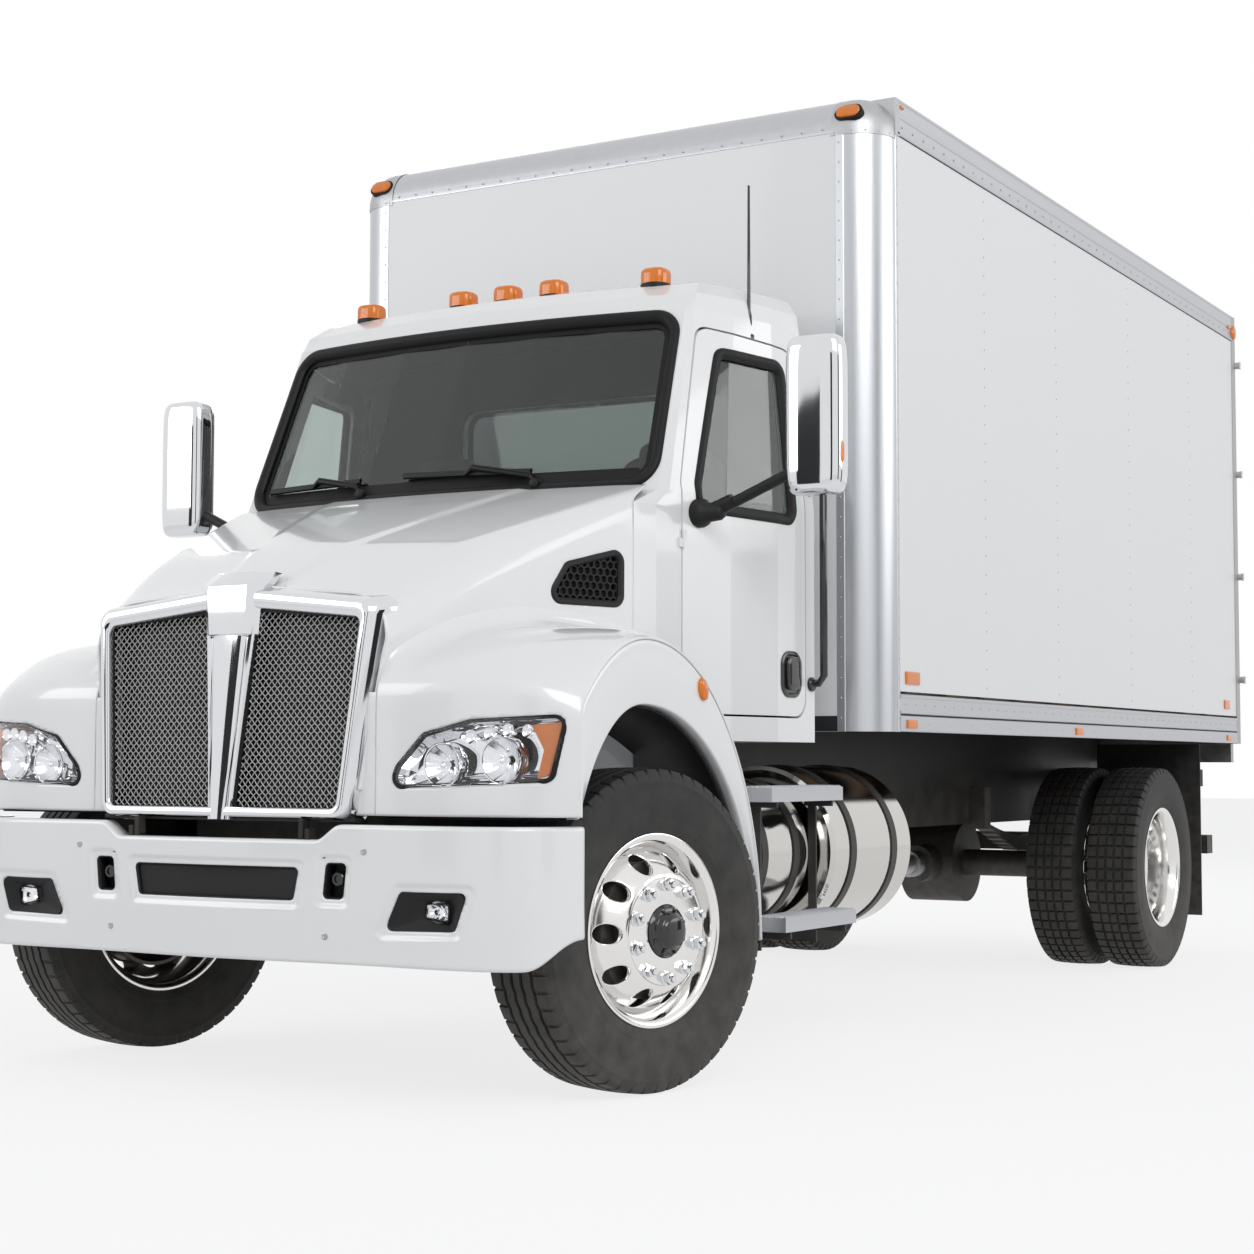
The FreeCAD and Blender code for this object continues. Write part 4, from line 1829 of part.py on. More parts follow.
def body_sills():
    """Long sills that carry the joists on the frame rails."""
    left = block("sill_left", ("frame_width / 2 - rail_flange", "frame_width / 2"),
                 (POST_Y, FRAME_Y), ("rail_top", f"{RAIL_TOP_Z} - joist_height"))
    return group("body_sills", left, mirrored("sill_right", left))


rod_shares = (0.2, 0.62)
hinge_shares = (0.06, 0.34, 0.62, 0.92)


def cargo_door(side):
    """Panel with two lock rods and strap hinges that reach out past the post."""
    gap = s.cargo_gap
    low = s.body_bottom + s.bottom_rail + s.floor_thickness + gap
    high = s.body_top - s.rear_header - gap
    outer = half_body - s.rear_post - gap
    panel = box_at((gap / 2, outer), (body_rear_y - s.cargo_door_thickness, body_rear_y),
                   (low, high))
    pieces = []
    for share in rod_shares:
        at = Vector(outer * share, body_rear_y + s.lock_rod_radius - 2 * s.fit_gap, low)
        pieces.append(Part.makeCylinder(s.lock_rod_radius, high - low, at))
    pivot_x = half_body + s.cargo_hinge_out
    plate = s.cargo_hinge_plate
    for share in hinge_shares:
        z = low + share * (high - low)
        pieces.append(box_at((outer - s.rear_post, pivot_x),
                             (body_rear_y + s.fit_gap, body_rear_y + s.fit_gap + plate),
                             (z, z + s.rear_post)))
        pieces.append(box_at((outer - s.rear_post, outer),
                             (body_rear_y, body_rear_y + s.fit_gap), (z, z + s.rear_post)))
        pieces.append(Part.makeCylinder(s.cargo_hinge_radius, s.rear_post,
                                        Vector(pivot_x, body_rear_y + s.lock_rod_radius, z)))
    door = panel.multiFuse(pieces)
    return door if side > 0 else door.mirror(ORIGIN, X_AXIS)


def side_markers():
    """Marker lamps along the bottom rails and reflectors on the side panels."""
    wide, tall, deep = s.side_marker_width, s.side_marker_height, s.side_marker_depth
    rail_z = s.body_bottom + tall
    panel_z = s.body_bottom + s.bottom_rail + tall
    front = body_front_y + s.post_round + s.post_flange + wide
    rear = body_rear_y - s.rear_frame_depth - 2 * wide
    pieces = []
    for y in (front, (front + rear) / 2, rear):
        pieces.append(box_at((half_body + s.rail_proud, half_body + s.rail_proud + deep),
                             (y, y + wide), (rail_z, rail_z + tall)))
    for y in (front, rear):
        pieces.append(box_at((half_body, half_body + deep), (y, y + wide),
                             (panel_z, panel_z + wide)))
    return both(Part.Compound(pieces)).Solids


def rear_guard():
    """Square tube low at the back, on two arms from the rails' ends."""
    rear = "(overall_length / 2)"
    tube = block("guard_tube", ("-guard_width / 2", "guard_width / 2"),
                 (f"{rear} - guard_size", rear), ("guard_z", "guard_z + guard_size"))
    arm = block("guard_arm_left", ("frame_width / 2 - rail_flange", "frame_width / 2"),
                (f"{rear} - rail_end_gap + fit_gap", f"{rear} - rail_flange / 2"),
                ("guard_z", "rail_top"))
    return fused("rear_guard", tube, arm, mirrored("guard_arm_right", arm))


def lamp_bar():
    """Bar under the rear sill with the tail lamps' housings."""
    return block("lamp_bar", (f"rear_post / 2 - {HALF}", f"{HALF} - rear_post / 2"),
                 (f"{BODY_REAR} - lamp_radius", BODY_REAR),
                 ("body_bottom - 2 * lamp_radius", "body_bottom"))


# Distance between the tail lamps of a side, as a share of their radius.
tail_pitch_share = 2.3


def tail_lamps():
    """Two round lamps a side on the bar."""
    z = s.body_bottom - s.lamp_radius
    pieces = []
    for number in (0, 1):
        x = half_body - s.rear_post - s.lamp_radius * (1 + tail_pitch_share * number)
        pieces.append(Part.makeCylinder(s.lamp_radius - s.tail_lamp_depth / 2,
                                        s.tail_lamp_depth, Vector(x, body_rear_y, z), Y_AXIS))
    return both(Part.Compound(pieces)).Solids


def small_lamps():
    """Roof, side, tail and fog lamps."""
    return made("small_lamps", Part.Compound(roof_markers() + side_markers() + tail_lamps()
                                             + fog_lamps()))


def mud_flaps():
    """Sheet behind each pair of rear tyres on a bar from the rail."""
    front = f"({REAR_AXLE} + tyre_radius + flap_gap)"
    outer = "(rear_wheel_x + tyre_width / 2)"
    top = "(body_bottom - flap_thickness)"
    flap = block("flap_sheet", (f"{outer} - flap_width", outer),
                 (front, f"{front} + flap_thickness"), (f"{top} - flap_height", top))
    arm = block("flap_arm", ("frame_width / 2 + fit_gap", outer),
                (f"{front} + flap_thickness", f"{front} + flap_thickness + rail_flange / 2"),
                ("rail_top - rail_flange", "rail_top"))
    side = fused("flap_left", flap, arm)
    return group("mud_flaps", side, mirrored("flap_right", side))


def finish(parts):
    """Recompute, check every object and every sub-part, and write one file each."""
    doc.recompute()
    for item in doc.Objects:
        bad = {"Invalid", "Error"} & set(item.State)
        if bad:
            raise RuntimeError(f"{item.Name} is {item.State}")
    for part in parts:
        shape = part.Shape
        if shape.isNull() or not shape.isValid() or not shape.Solids:
            raise RuntimeError(f"{part.Label} has no valid solid")
        part.Label = part.Name
        shape.exportStep(f"parts/{part.Name}.step")
        print(part.Name, len(shape.Solids), "solids", round(shape.Volume / 1e6, 2), "litres")
    print(len(parts), "sub-parts")


finish([frame(), front_axle(), leaf_springs(), rear_axle(), drive_shaft(), engine_block(),
        radiator()]
       + running_gear()
       + [fuel_tank(), exhaust_canister(), battery_box(), steps(), rail_brackets(), bumper(),
          bumper_arms(), bumper_pockets()]
       + hood_parts() + cab_parts() + van_walls()
       + [front_frame(), rear_frame(), underframe(), made("cargo_door_left", cargo_door(1)),
          made("cargo_door_right", cargo_door(-1)), small_lamps(), rear_guard(), mud_flaps()])
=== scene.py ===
"""Box truck in metres: +Z up, front towards -Y, the vehicle's left towards +X.

Most pieces are grids: arrays of points with one row per step along the piece and one
column per step across it.  Shares run from 0 to 1 along whatever they measure.
"""
import math

import bpy
import numpy as np
from mathutils import Matrix


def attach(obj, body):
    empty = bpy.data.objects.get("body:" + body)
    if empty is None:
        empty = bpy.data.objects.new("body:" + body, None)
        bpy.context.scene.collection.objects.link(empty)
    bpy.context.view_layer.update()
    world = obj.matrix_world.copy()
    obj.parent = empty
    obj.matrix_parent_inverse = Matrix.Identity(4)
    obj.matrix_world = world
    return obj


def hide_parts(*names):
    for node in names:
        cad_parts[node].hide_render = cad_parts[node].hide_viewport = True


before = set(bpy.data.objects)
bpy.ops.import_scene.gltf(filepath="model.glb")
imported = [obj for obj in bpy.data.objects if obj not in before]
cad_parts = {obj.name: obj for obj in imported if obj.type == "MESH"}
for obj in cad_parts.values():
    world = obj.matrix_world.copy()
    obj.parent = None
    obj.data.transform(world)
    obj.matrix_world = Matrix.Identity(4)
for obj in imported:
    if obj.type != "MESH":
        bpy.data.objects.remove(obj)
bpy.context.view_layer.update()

pi = math.pi
AXLE = -2.8
REAR_AXLE = 2.178
NOSE = -3.61


# Finishes.
def finish(name, color, rough=0.4, metal=0.0, coat=0.0, spread=0.04, rough_spread=0.06,
           scale=6.0, stretch=(1, 1, 1), bump=0.0, bump_scale=200.0, dust=0.0, clear=0.0,
           glow=0.0, specular=0.5):
    """Principled surface whose colour and roughness drift with soft noise, with a finer
    noise for the grain and, where dust is given, a dull film that fades with height."""
    m = bpy.data.materials.new(name)
    m.use_nodes = True
    tree = m.node_tree
    nodes, links = tree.nodes, tree.links
    shader = nodes["Principled BSDF"]
    for socket, value in (("Metallic", metal), ("Coat Weight", coat), ("IOR", 1.45),
                          ("Coat Roughness", 0.06), ("Specular IOR Level", specular),
                          ("Transmission Weight", clear)):
        shader.inputs[socket].default_value = value
    if glow:
        shader.inputs["Emission Color"].default_value = (*color, 1)
        shader.inputs["Emission Strength"].default_value = glow
    place = nodes.new("ShaderNodeTexCoord")
    mapping = nodes.new("ShaderNodeMapping")
    mapping.inputs["Scale"].default_value = stretch
    links.new(place.outputs["Object"], mapping.inputs["Vector"])
    cloud = nodes.new("ShaderNodeTexNoise")
    cloud.inputs["Scale"].default_value = scale
    cloud.inputs["Detail"].default_value = 4
    links.new(mapping.outputs["Vector"], cloud.inputs["Vector"])
    tint = nodes.new("ShaderNodeMix")
    tint.data_type = "RGBA"
    dark = tuple(max(0.0, c * (1 - spread)) for c in color)
    light = tuple(min(1.0, c * (1 + spread)) for c in color)
    tint.inputs["A"].default_value = (*dark, 1)
    tint.inputs["B"].default_value = (*light, 1)
    links.new(cloud.outputs["Fac"], tint.inputs["Factor"])
    out = tint.outputs["Result"]
    if dust:
        split = nodes.new("ShaderNodeSeparateXYZ")
        links.new(place.outputs["Object"], split.inputs["Vector"])
        fade = nodes.new("ShaderNodeMapRange")
        fade.inputs["From Min"].default_value = 1.3
        fade.inputs["From Max"].default_value = 0.1
        fade.inputs["To Max"].default_value = dust
        links.new(split.outputs["Z"], fade.inputs["Value"])
        share = nodes.new("ShaderNodeMath")
        share.operation = "MULTIPLY"
        links.new(fade.outputs["Result"], share.inputs[0])
        links.new(cloud.outputs["Fac"], share.inputs[1])
        film = nodes.new("ShaderNodeMix")
        film.data_type = "RGBA"
        film.inputs["B"].default_value = (0.30, 0.28, 0.25, 1)
        links.new(share.outputs[0], film.inputs["Factor"])
        links.new(out, film.inputs["A"])
        out = film.outputs["Result"]
    links.new(out, shader.inputs["Base Color"])
    gloss = nodes.new("ShaderNodeMapRange")
    gloss.inputs["To Min"].default_value = max(0.0, rough - rough_spread)
    gloss.inputs["To Max"].default_value = min(1.0, rough + rough_spread)
    links.new(cloud.outputs["Fac"], gloss.inputs["Value"])
    links.new(gloss.outputs["Result"], shader.inputs["Roughness"])
    if bump:
        grain = nodes.new("ShaderNodeTexNoise")
        grain.inputs["Scale"].default_value = bump_scale
        links.new(mapping.outputs["Vector"], grain.inputs["Vector"])
        lift = nodes.new("ShaderNodeBump")
        lift.inputs["Strength"].default_value = bump
        lift.inputs["Distance"].default_value = 0.002
        links.new(grain.outputs["Fac"], lift.inputs["Height"])
        links.new(lift.outputs["Normal"], shader.inputs["Normal"])
    return m


paint = finish("white_paint", (0.80, 0.805, 0.81), 0.30, coat=0.8, spread=0.015, scale=1.5,
               rough_spread=0.04, bump=0.03, bump_scale=500)
panel_white = finish("van_white", (0.76, 0.765, 0.775), 0.34, coat=0.25, spread=0.02,
                     scale=0.8, rough_spread=0.05, bump=0.05, bump_scale=30)
chrome = finish("chrome", (0.70, 0.71, 0.73), 0.05, metal=1, spread=0.02, rough_spread=0.015,
                scale=12)
polished = finish("polished_aluminium", (0.78, 0.77, 0.76), 0.14, metal=1, spread=0.04,
                  rough_spread=0.05, scale=20, bump=0.04, bump_scale=400)
tank_metal = finish("tank_aluminium", (0.60, 0.59, 0.57), 0.10, metal=1, spread=0.05,
                    rough_spread=0.05, scale=6, stretch=(1, 8, 1), bump=0.05,
                    bump_scale=60, dust=0.3)
brushed = finish("brushed_aluminium", (0.52, 0.535, 0.56), 0.34, metal=1, spread=0.05,
                 rough_spread=0.08, scale=30, stretch=(1, 1, 0.03), bump=0.1,
                 bump_scale=300)
brushed_along = finish("brushed_along", (0.50, 0.51, 0.535), 0.36, metal=1, spread=0.06,
                       rough_spread=0.08, scale=30, stretch=(1, 0.03, 1), bump=0.1,
                       bump_scale=300)
cast_silver = finish("cast_caps", (0.46, 0.465, 0.475), 0.45, metal=1, spread=0.05,
                     scale=40, bump=0.25, bump_scale=260)
black_plastic = finish("black_plastic", (0.010, 0.010, 0.011), 0.45, specular=0.3,
                       spread=0.2, scale=30, bump=0.25, bump_scale=900)
gloss_black = finish("gloss_black", (0.012, 0.012, 0.013), 0.14, coat=0.5, spread=0.2,
                     scale=10)
rubber = finish("tyre_rubber", (0.017, 0.017, 0.018), 0.62, specular=0.3, spread=0.25, scale=14,
                rough_spread=0.1, bump=0.22, bump_scale=320, dust=0.35)
seal = finish("window_rubber", (0.007, 0.007, 0.007), 0.5, specular=0.25, spread=0.2,
              scale=40, bump=0.1, bump_scale=500)
frame_black = finish("frame_paint", (0.008, 0.008, 0.009), 0.42, specular=0.2, spread=0.3,
                     scale=9, rough_spread=0.12, bump=0.12, bump_scale=120, dust=0.5)
cast_iron = finish("cast_iron", (0.055, 0.052, 0.05), 0.6, metal=0.5, spread=0.35, scale=18,
                   bump=0.35, bump_scale=150, dust=0.5)
drum_iron = finish("drum_iron", (0.09, 0.08, 0.075), 0.55, metal=0.7, spread=0.3, scale=25,
                   bump=0.2, bump_scale=200, dust=0.4)
galvanised = finish("bare_steel", (0.42, 0.42, 0.42), 0.42, metal=1, spread=0.12, scale=22,
                    rough_spread=0.1, bump=0.08, bump_scale=120)
core_fins = finish("radiator_fins", (0.10, 0.10, 0.105), 0.5, metal=0.8, spread=0.5,
                   scale=3, stretch=(1, 1, 90), bump=0.6, bump_scale=3)
trim_grey = finish("cab_trim", (0.022, 0.024, 0.026), 0.7, specular=0.2, spread=0.08,
                   scale=18)
seat_cloth = finish("seat_cloth", (0.035, 0.036, 0.04), 0.85, spread=0.35, scale=260,
                    rough_spread=0.08, bump=0.6, bump_scale=900)
floor_wood = finish("load_floor_boards", (0.30, 0.19, 0.11), 0.6, spread=0.35, scale=4,
                    stretch=(14, 0.6, 1), bump=0.3, bump_scale=12)
flap_rubber = finish("flap_rubber", (0.010, 0.010, 0.011), 0.6, specular=0.25,
                     spread=0.25, scale=20, bump=0.2, bump_scale=200, dust=0.5)
red_lens = finish("red_lens", (0.45, 0.01, 0.008), 0.12, coat=0.6, clear=0.25, spread=0.15,
                  scale=60)
amber_lens = finish("amber_lens", (0.76, 0.19, 0.004), 0.14, coat=0.4, clear=0.1,
                    spread=0.12, scale=80, glow=0.04)
clear_lens = finish("clear_lens", (0.96, 0.97, 0.98), 0.03, clear=1.0, spread=0.01,
                    rough_spread=0.015, scale=30)
cab_pane = finish("tinted_glass", (0.62, 0.68, 0.66), 0.02, clear=1.0, spread=0.01,
                  rough_spread=0.01, scale=8)
reflector = finish("lamp_reflector", (0.86, 0.86, 0.88), 0.06, metal=1, spread=0.03,
                   rough_spread=0.03, scale=60)

NODE_FINISHES = (
    (frame_black, "frame bumper_arms rail_brackets hood_screens underframe rear_guard"),
    (cast_iron, "front_axle leaf_springs rear_axle engine_block knuckle_left knuckle_right"
                " tie_rod"),
    (galvanised, "drive_shaft rear_frame"), (core_fins, "radiator"),
    (rubber, "tyre_front_left tyre_front_right tyres_rear_left tyres_rear_right"),
    (polished, "wheel_front_left wheel_front_right wheels_rear_left wheels_rear_right"),
    (tank_metal, "fuel_tank exhaust_canister"), (black_plastic, "battery_box bumper_pockets"),
    (brushed_along, "steps side_rails"), (paint, "bumper hood cab door_left door_right"),
    (clear_lens, "headlamps"), (chrome, "grille_surround mirror_left mirror_right"),
    (cab_pane, "cab_glass door_glass_left door_glass_right"),
    (trim_grey, "dashboard steering_wheel"), (seat_cloth, "seats"),
    (gloss_black, "cab_fittings"), (floor_wood, "load_floor"), (brushed, "front_frame"),
    (panel_white, "wall_panels van_roof cargo_door_left cargo_door_right"),
    (amber_lens, "small_lamps"), (flap_rubber, "mud_flaps"))
for material, nodes_of_it in NODE_FINISHES:
    for node in nodes_of_it.split():
        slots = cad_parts[node].data.materials
        slots.clear()
        slots.append(material)


# Mesh tools.
def sheet_faces(rows, columns, close_rows=False, close_columns=False, start=0):
    """Quads over a grid of rows and columns, wrapped round where it closes."""
    r = np.arange(rows if close_rows else rows - 1)[:, None]
    c = np.arange(columns if close_columns else columns - 1)[None, :]
    nr, nc = (r + 1) % rows, (c + 1) % columns
    quads = np.stack([r * columns + c, r * columns + nc, nr * columns + nc,
                      nr * columns + c], -1)
    return quads.reshape(-1, 4) + start


def surface(points, close_rows=False, close_columns=False):
    """Grid of points as (points, quads)."""
    points = np.asarray(points, float)
    rows, columns = points.shape[:2]
    return points.reshape(-1, 3), sheet_faces(rows, columns, close_rows, close_columns)


def grouped(faces):
    """Faces as a list of corner arrays, one array for each number of corners."""
    return faces if isinstance(faces, list) else [faces]


def together(*parts):
    """Several (points, faces) as one; faces are lists of corner arrays of equal length."""
    all_points, all_faces, start = [], [], 0
    for points, faces in parts:
        all_points.append(points)
        groups = grouped(faces)
        all_faces += [group + start for group in groups if len(group)]
        start += len(points)
    return np.concatenate(all_points), all_faces


def piece(name, shape, material, body, replaces=(), smooth=40):
    """Mesh object from (points, faces) that rides on a body; creases sharper than the
    angle stay sharp."""
    points, faces = shape
    groups = grouped(faces)
    mesh = bpy.data.meshes.new(name)
    corners = np.concatenate([group.ravel() for group in groups])
    totals = np.concatenate([np.full(len(group), group.shape[1]) for group in groups])
    mesh.vertices.add(len(points))
    mesh.vertices.foreach_set("co", np.asarray(points, np.float32).ravel())
    mesh.loops.add(len(corners))
    mesh.loops.foreach_set("vertex_index", corners.astype(np.int32))
    mesh.polygons.add(len(totals))
    starts = np.concatenate([[0], np.cumsum(totals)[:-1]])
    mesh.polygons.foreach_set("loop_start", starts.astype(np.int32))
    mesh.update(calc_edges=True)
    mesh.validate()
    if smooth:
        mesh.polygons.foreach_set("use_smooth", np.ones(len(mesh.polygons), bool))
        mesh.set_sharp_from_angle(angle=math.radians(smooth))
    mesh.materials.append(material)
    obj = bpy.data.objects.new(name, mesh)
    bpy.context.scene.collection.objects.link(obj)
    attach(obj, body)
    if replaces:
        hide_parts(*replaces)
    return obj


def mirror_of(shape):
    """The shape on the truck's other side, faces still outwards."""
    points, faces = shape
    groups = grouped(faces)
    return points * (-1, 1, 1), [group[:, ::-1] for group in groups]


def pair(shape):
    """A shape and its mirror image, as one shape."""
    return together(shape, mirror_of(shape))


def both_sides(shape):
    """Label and shape for the truck's left and right side."""
    return ("left", shape), ("right", mirror_of(shape))


def reordered(shape, order=(1, 0, 2)):
    """Shape with its axes exchanged."""
    return shape[0][:, list(order)], shape[1]


def split_axes(points):
    """Points as one array for each axis."""
    return np.moveaxis(np.asarray(points, float), -1, 0)


def repeated(faces, count, size):
    """Faces of a shape with size points, for as many copies one after another."""
    shift = (np.arange(count) * size)[:, None, None]
    return (faces[None] + shift).reshape(-1, faces.shape[1])


def there_and_back(values):
    """Values of one half, then the same in reverse; the middle one comes once."""
    return np.concatenate([values, values[::-1][1:]])


def level_ring(flat, height):
    """Plane outline with the same height on every point."""
    return np.column_stack([flat, np.full(len(flat), height)])


def turned(profile, steps=64):
    """Profile of (along, radius) turned about the x axis; x is along, angle 0 points up."""
    profile = np.asarray(profile, float)
    a = np.linspace(0, 2 * pi, steps, endpoint=False)[:, None]
    x = np.broadcast_to(profile[None, :, 0], (len(a), len(profile)))
    points = np.stack([x, profile[None, :, 1] * np.sin(a), profile[None, :, 1] * np.cos(a)], -1)
    return surface(points, close_rows=True)


def moved(shape, matrix=None, offset=(0, 0, 0)):
    """Shape turned by a 3 x 3 matrix, then shifted."""
    points, faces = shape
    if matrix is not None:
        points = points @ np.asarray(matrix).T
    return points + np.asarray(offset, float), faces


def copies(shape, matrices, offsets):
    """The shape once per matrix and offset, as one."""
    points, faces = shape
    matrices, offsets = np.asarray(matrices, float), np.asarray(offsets, float)
    count = max(len(matrices), len(offsets))
    matrices = np.broadcast_to(matrices, (count, 3, 3))
    offsets = np.broadcast_to(offsets, (count, 3))
    placed = np.einsum("nij,pj->npi", matrices, points) + offsets[:, None]
    return placed.reshape(-1, 3), [repeated(group, count, len(points))
                                   for group in grouped(faces)]


def turn_x(angle):
    """Rotation about x, one matrix for each angle given."""
    c, s = np.cos(angle), np.sin(angle)
    zero, one = np.zeros_like(c), np.ones_like(c)
    return np.stack([np.stack([one, zero, zero], -1), np.stack([zero, c, -s], -1),
                     np.stack([zero, s, c], -1)], -2)


def turn_z(angle):
    """Rotation about z."""
    c, s = math.cos(angle), math.sin(angle)
    return np.array([[c, -s, 0], [s, c, 0], [0, 0, 1]])


def tube(path, radius, sides=12):
    """Round bar along a path: a circle carried square to it, its frame passed on from
    point to point.  Radius is one number or one per point."""
    path = np.asarray(path, float)
    count = len(path)
    radius = np.broadcast_to(np.asarray(radius, float), (count,))
    way = np.gradient(path, axis=0)
    way /= np.linalg.norm(way, axis=1)[:, None]
    side = np.cross(way[0], (0, 0, 1) if abs(way[0, 2]) < 0.9 else (1, 0, 0))
    sides_list = []
    for w in way:
        side = side - w * side.dot(w)
        side /= np.linalg.norm(side)
        sides_list.append(side)
    u = np.array(sides_list)
    v = np.cross(way, u)
    a = np.linspace(0, 2 * pi, sides, endpoint=False)
    points = (path[:, None] + radius[:, None, None]
              * (u[:, None] * np.cos(a)[None, :, None] + v[:, None] * np.sin(a)[None, :, None]))
    points, quads = surface(points, close_columns=True)
    ends = [np.arange(sides)[None, :] + (count - 1) * sides, np.arange(sides)[None, ::-1]]
    return points, [quads[:, ::-1], ends[0], ends[1]]


def rounded(points, radius, steps=6):
    """Closed outline in a plane with each corner replaced by an arc of that radius."""
    points = np.asarray(points, float)
    before = np.roll(points, 1, 0) - points
    after = np.roll(points, -1, 0) - points
    before /= np.linalg.norm(before, axis=1)[:, None]
    after /= np.linalg.norm(after, axis=1)[:, None]
    half = np.arccos(np.clip((before * after).sum(1), -1, 1)) / 2
    radius = np.broadcast_to(np.asarray(radius, float), (len(points),))
    reach = radius / np.tan(half)
    middle_way = before + after
    middle_way /= np.linalg.norm(middle_way, axis=1)[:, None]
    centre = points + middle_way * (radius / np.sin(half))[:, None]
    start = points + before * reach[:, None] - centre
    end = points + after * reach[:, None] - centre
    t = np.linspace(0, 1, steps)[None, :, None]
    swing = pi - 2 * half
    arc = (np.sin((1 - t) * swing[:, None, None]) * start[:, None]
           + np.sin(t * swing[:, None, None]) * end[:, None]) / np.sin(swing)[:, None, None]
    return (centre[:, None] + arc).reshape(-1, 2)


def plate(outline, low, high, bevel=0.0):
    """Closed outline (a, b) as a solid plate from low to high in c, its edges bevelled.
    Its points are in (a, b, c) order."""
    outline = np.asarray(outline, float)
    ways = np.roll(outline, -1, 0) - np.roll(outline, 1, 0)
    ways /= np.linalg.norm(ways, axis=1)[:, None] + 1e-12
    area = 0.5 * np.sum(outline[:, 0] * np.roll(outline[:, 1], -1)
                        - np.roll(outline[:, 0], -1) * outline[:, 1])
    inward = np.stack([-ways[:, 1], ways[:, 0]], 1) * (1 if area > 0 else -1)
    rings = []
    if bevel:
        steps = [(bevel, low), (0.3 * bevel, low + 0.3 * bevel), (0, low + bevel),
                 (0, high - bevel), (0.3 * bevel, high - 0.3 * bevel), (bevel, high)]
    else:
        steps = [(0, low), (0, high)]
    for inset, level in steps:
        rings.append(level_ring(outline + inward * inset, level))
    points, quads = surface(np.array(rings), close_columns=True)
    count = len(outline)
    bottom = np.arange(count)[None, ::-1]
    top = np.arange(count)[None, :] + (len(rings) - 1) * count
    if area < 0:
        quads, bottom, top = quads[:, ::-1], bottom[:, ::-1], top[:, ::-1]
    return points, [quads, bottom, top]


def crossed(a, b):
    """Row of values a against column of values b, as two grids."""
    return np.meshgrid(a, b, indexing="ij")


def smooth_between(low, high, x):
    """0 below low, 1 above high, an eased ramp between."""
    t = np.clip((x - low) / (high - low), 0, 1)
    return t * t * (3 - 2 * t)


# Wheels and tyres.
# Wheel frame: x outboard from the tyre's middle, angle 0 up.
RADIUS = 0.5
KINGPIN, KINGPIN_REACH = 0.885, 0.145
PARKED_STEER = math.radians(-13)
REAR_OUTER, REAR_INNER = 1.085, 0.773
FACE = 0.156
PITCHES = 56
STUD_CIRCLE = 0.143


def tyre(lugged):
    """Closed tyre on a grid of angle by place across.  The radius is the crown less the
    deeper of two cuts: grooves round the tread that waver with the angle, and notches
    whose edges fall on grid lines, across the shoulders or across the whole tread."""
    offsets = np.array([0.0, 0.03, 0.19, 0.22, 0.42, 0.61, 0.80])
    cut = np.array([0.0, 1.0, 1.0, 0.0, 0.0, 0.0, 0.0])
    angle = 2 * pi * (np.arange(PITCHES)[:, None] + offsets).ravel() / PITCHES
    notch = np.tile(cut, PITCHES)
    waver = np.tile(np.abs(offsets - 0.5) * 4 - 1, PITCHES)
    wall = np.array([(0.1045, 0.2905, 0), (0.1085, 0.2985, 0), (0.1135, 0.312, 0),
                     (0.1195, 0.330, 0), (0.1205, 0.334, 0), (0.1205, 0.340, 0),
                     (0.1220, 0.344, 0), (0.1262, 0.372, 0), (0.1278, 0.404, 0),
                     (0.1270, 0.430, 0), (0.1250, 0.452, 0), (0.1256, 0.455, 0),
                     (0.1252, 0.461, 0), (0.1238, 0.463, 0), (0.1215, 0.474, 0.55),
                     (0.1180, 0.486, 1), (0.1125, 0.4945, 1)])
    centres = np.array([0.020, 0.063])
    groove = (centres[:, None] + np.array([-0.0066, -0.0046, 0.0046, 0.0066])).ravel()
    tread = np.sort(np.concatenate([groove, [0.0, 0.034, 0.048, 0.078, 0.092, 0.1045]]))
    sunk = np.isin(tread, groove)
    deep = np.isin(tread, (centres[:, None] + np.array([-0.0046, 0.0046])).ravel())
    half_x = np.concatenate([wall[:, 0], tread[::-1]])
    half_r = np.concatenate([wall[:, 1], 0.5 - 0.0042 * (tread[::-1] / 0.107) ** 2])
    half_groove = np.concatenate([np.zeros(len(wall)), 0.0125 * deep[::-1]])
    half_sway = np.concatenate([np.zeros(len(wall)), 0.0022 * sunk[::-1]])
    inner_cut = 1.0 if lugged else 0.0
    half_notch = np.concatenate([wall[:, 2], np.where(tread[::-1] > 0.075, 1.0, inner_cut)])
    x = np.concatenate([half_x, -half_x[::-1][1:]])
    r, round_cut, sway, across = (there_and_back(half) for half in
                                  (half_r, half_groove, half_sway, half_notch))
    side_depth = 0.013 if lugged else 0.0065
    grid_x = x[None, :] + waver[:, None] * sway[None, :]
    cut_depth = np.maximum(round_cut[None, :], notch[:, None] * across[None, :] * side_depth)
    grid_r = r[None, :] - cut_depth
    points = np.stack([grid_x, grid_r * np.sin(angle)[:, None],
                       grid_r * np.cos(angle)[:, None]], -1)
    return surface(points, close_rows=True, close_columns=True)


def disc_face(r):
    """How far out the disc's face lies at a radius: flat, then falling to the barrel."""
    t = np.clip((r - 0.170) / (0.256 - 0.170), 0, 1)
    return FACE - 0.004 * smooth_between(0.160, 0.168, r) - 0.094 * t ** 1.35


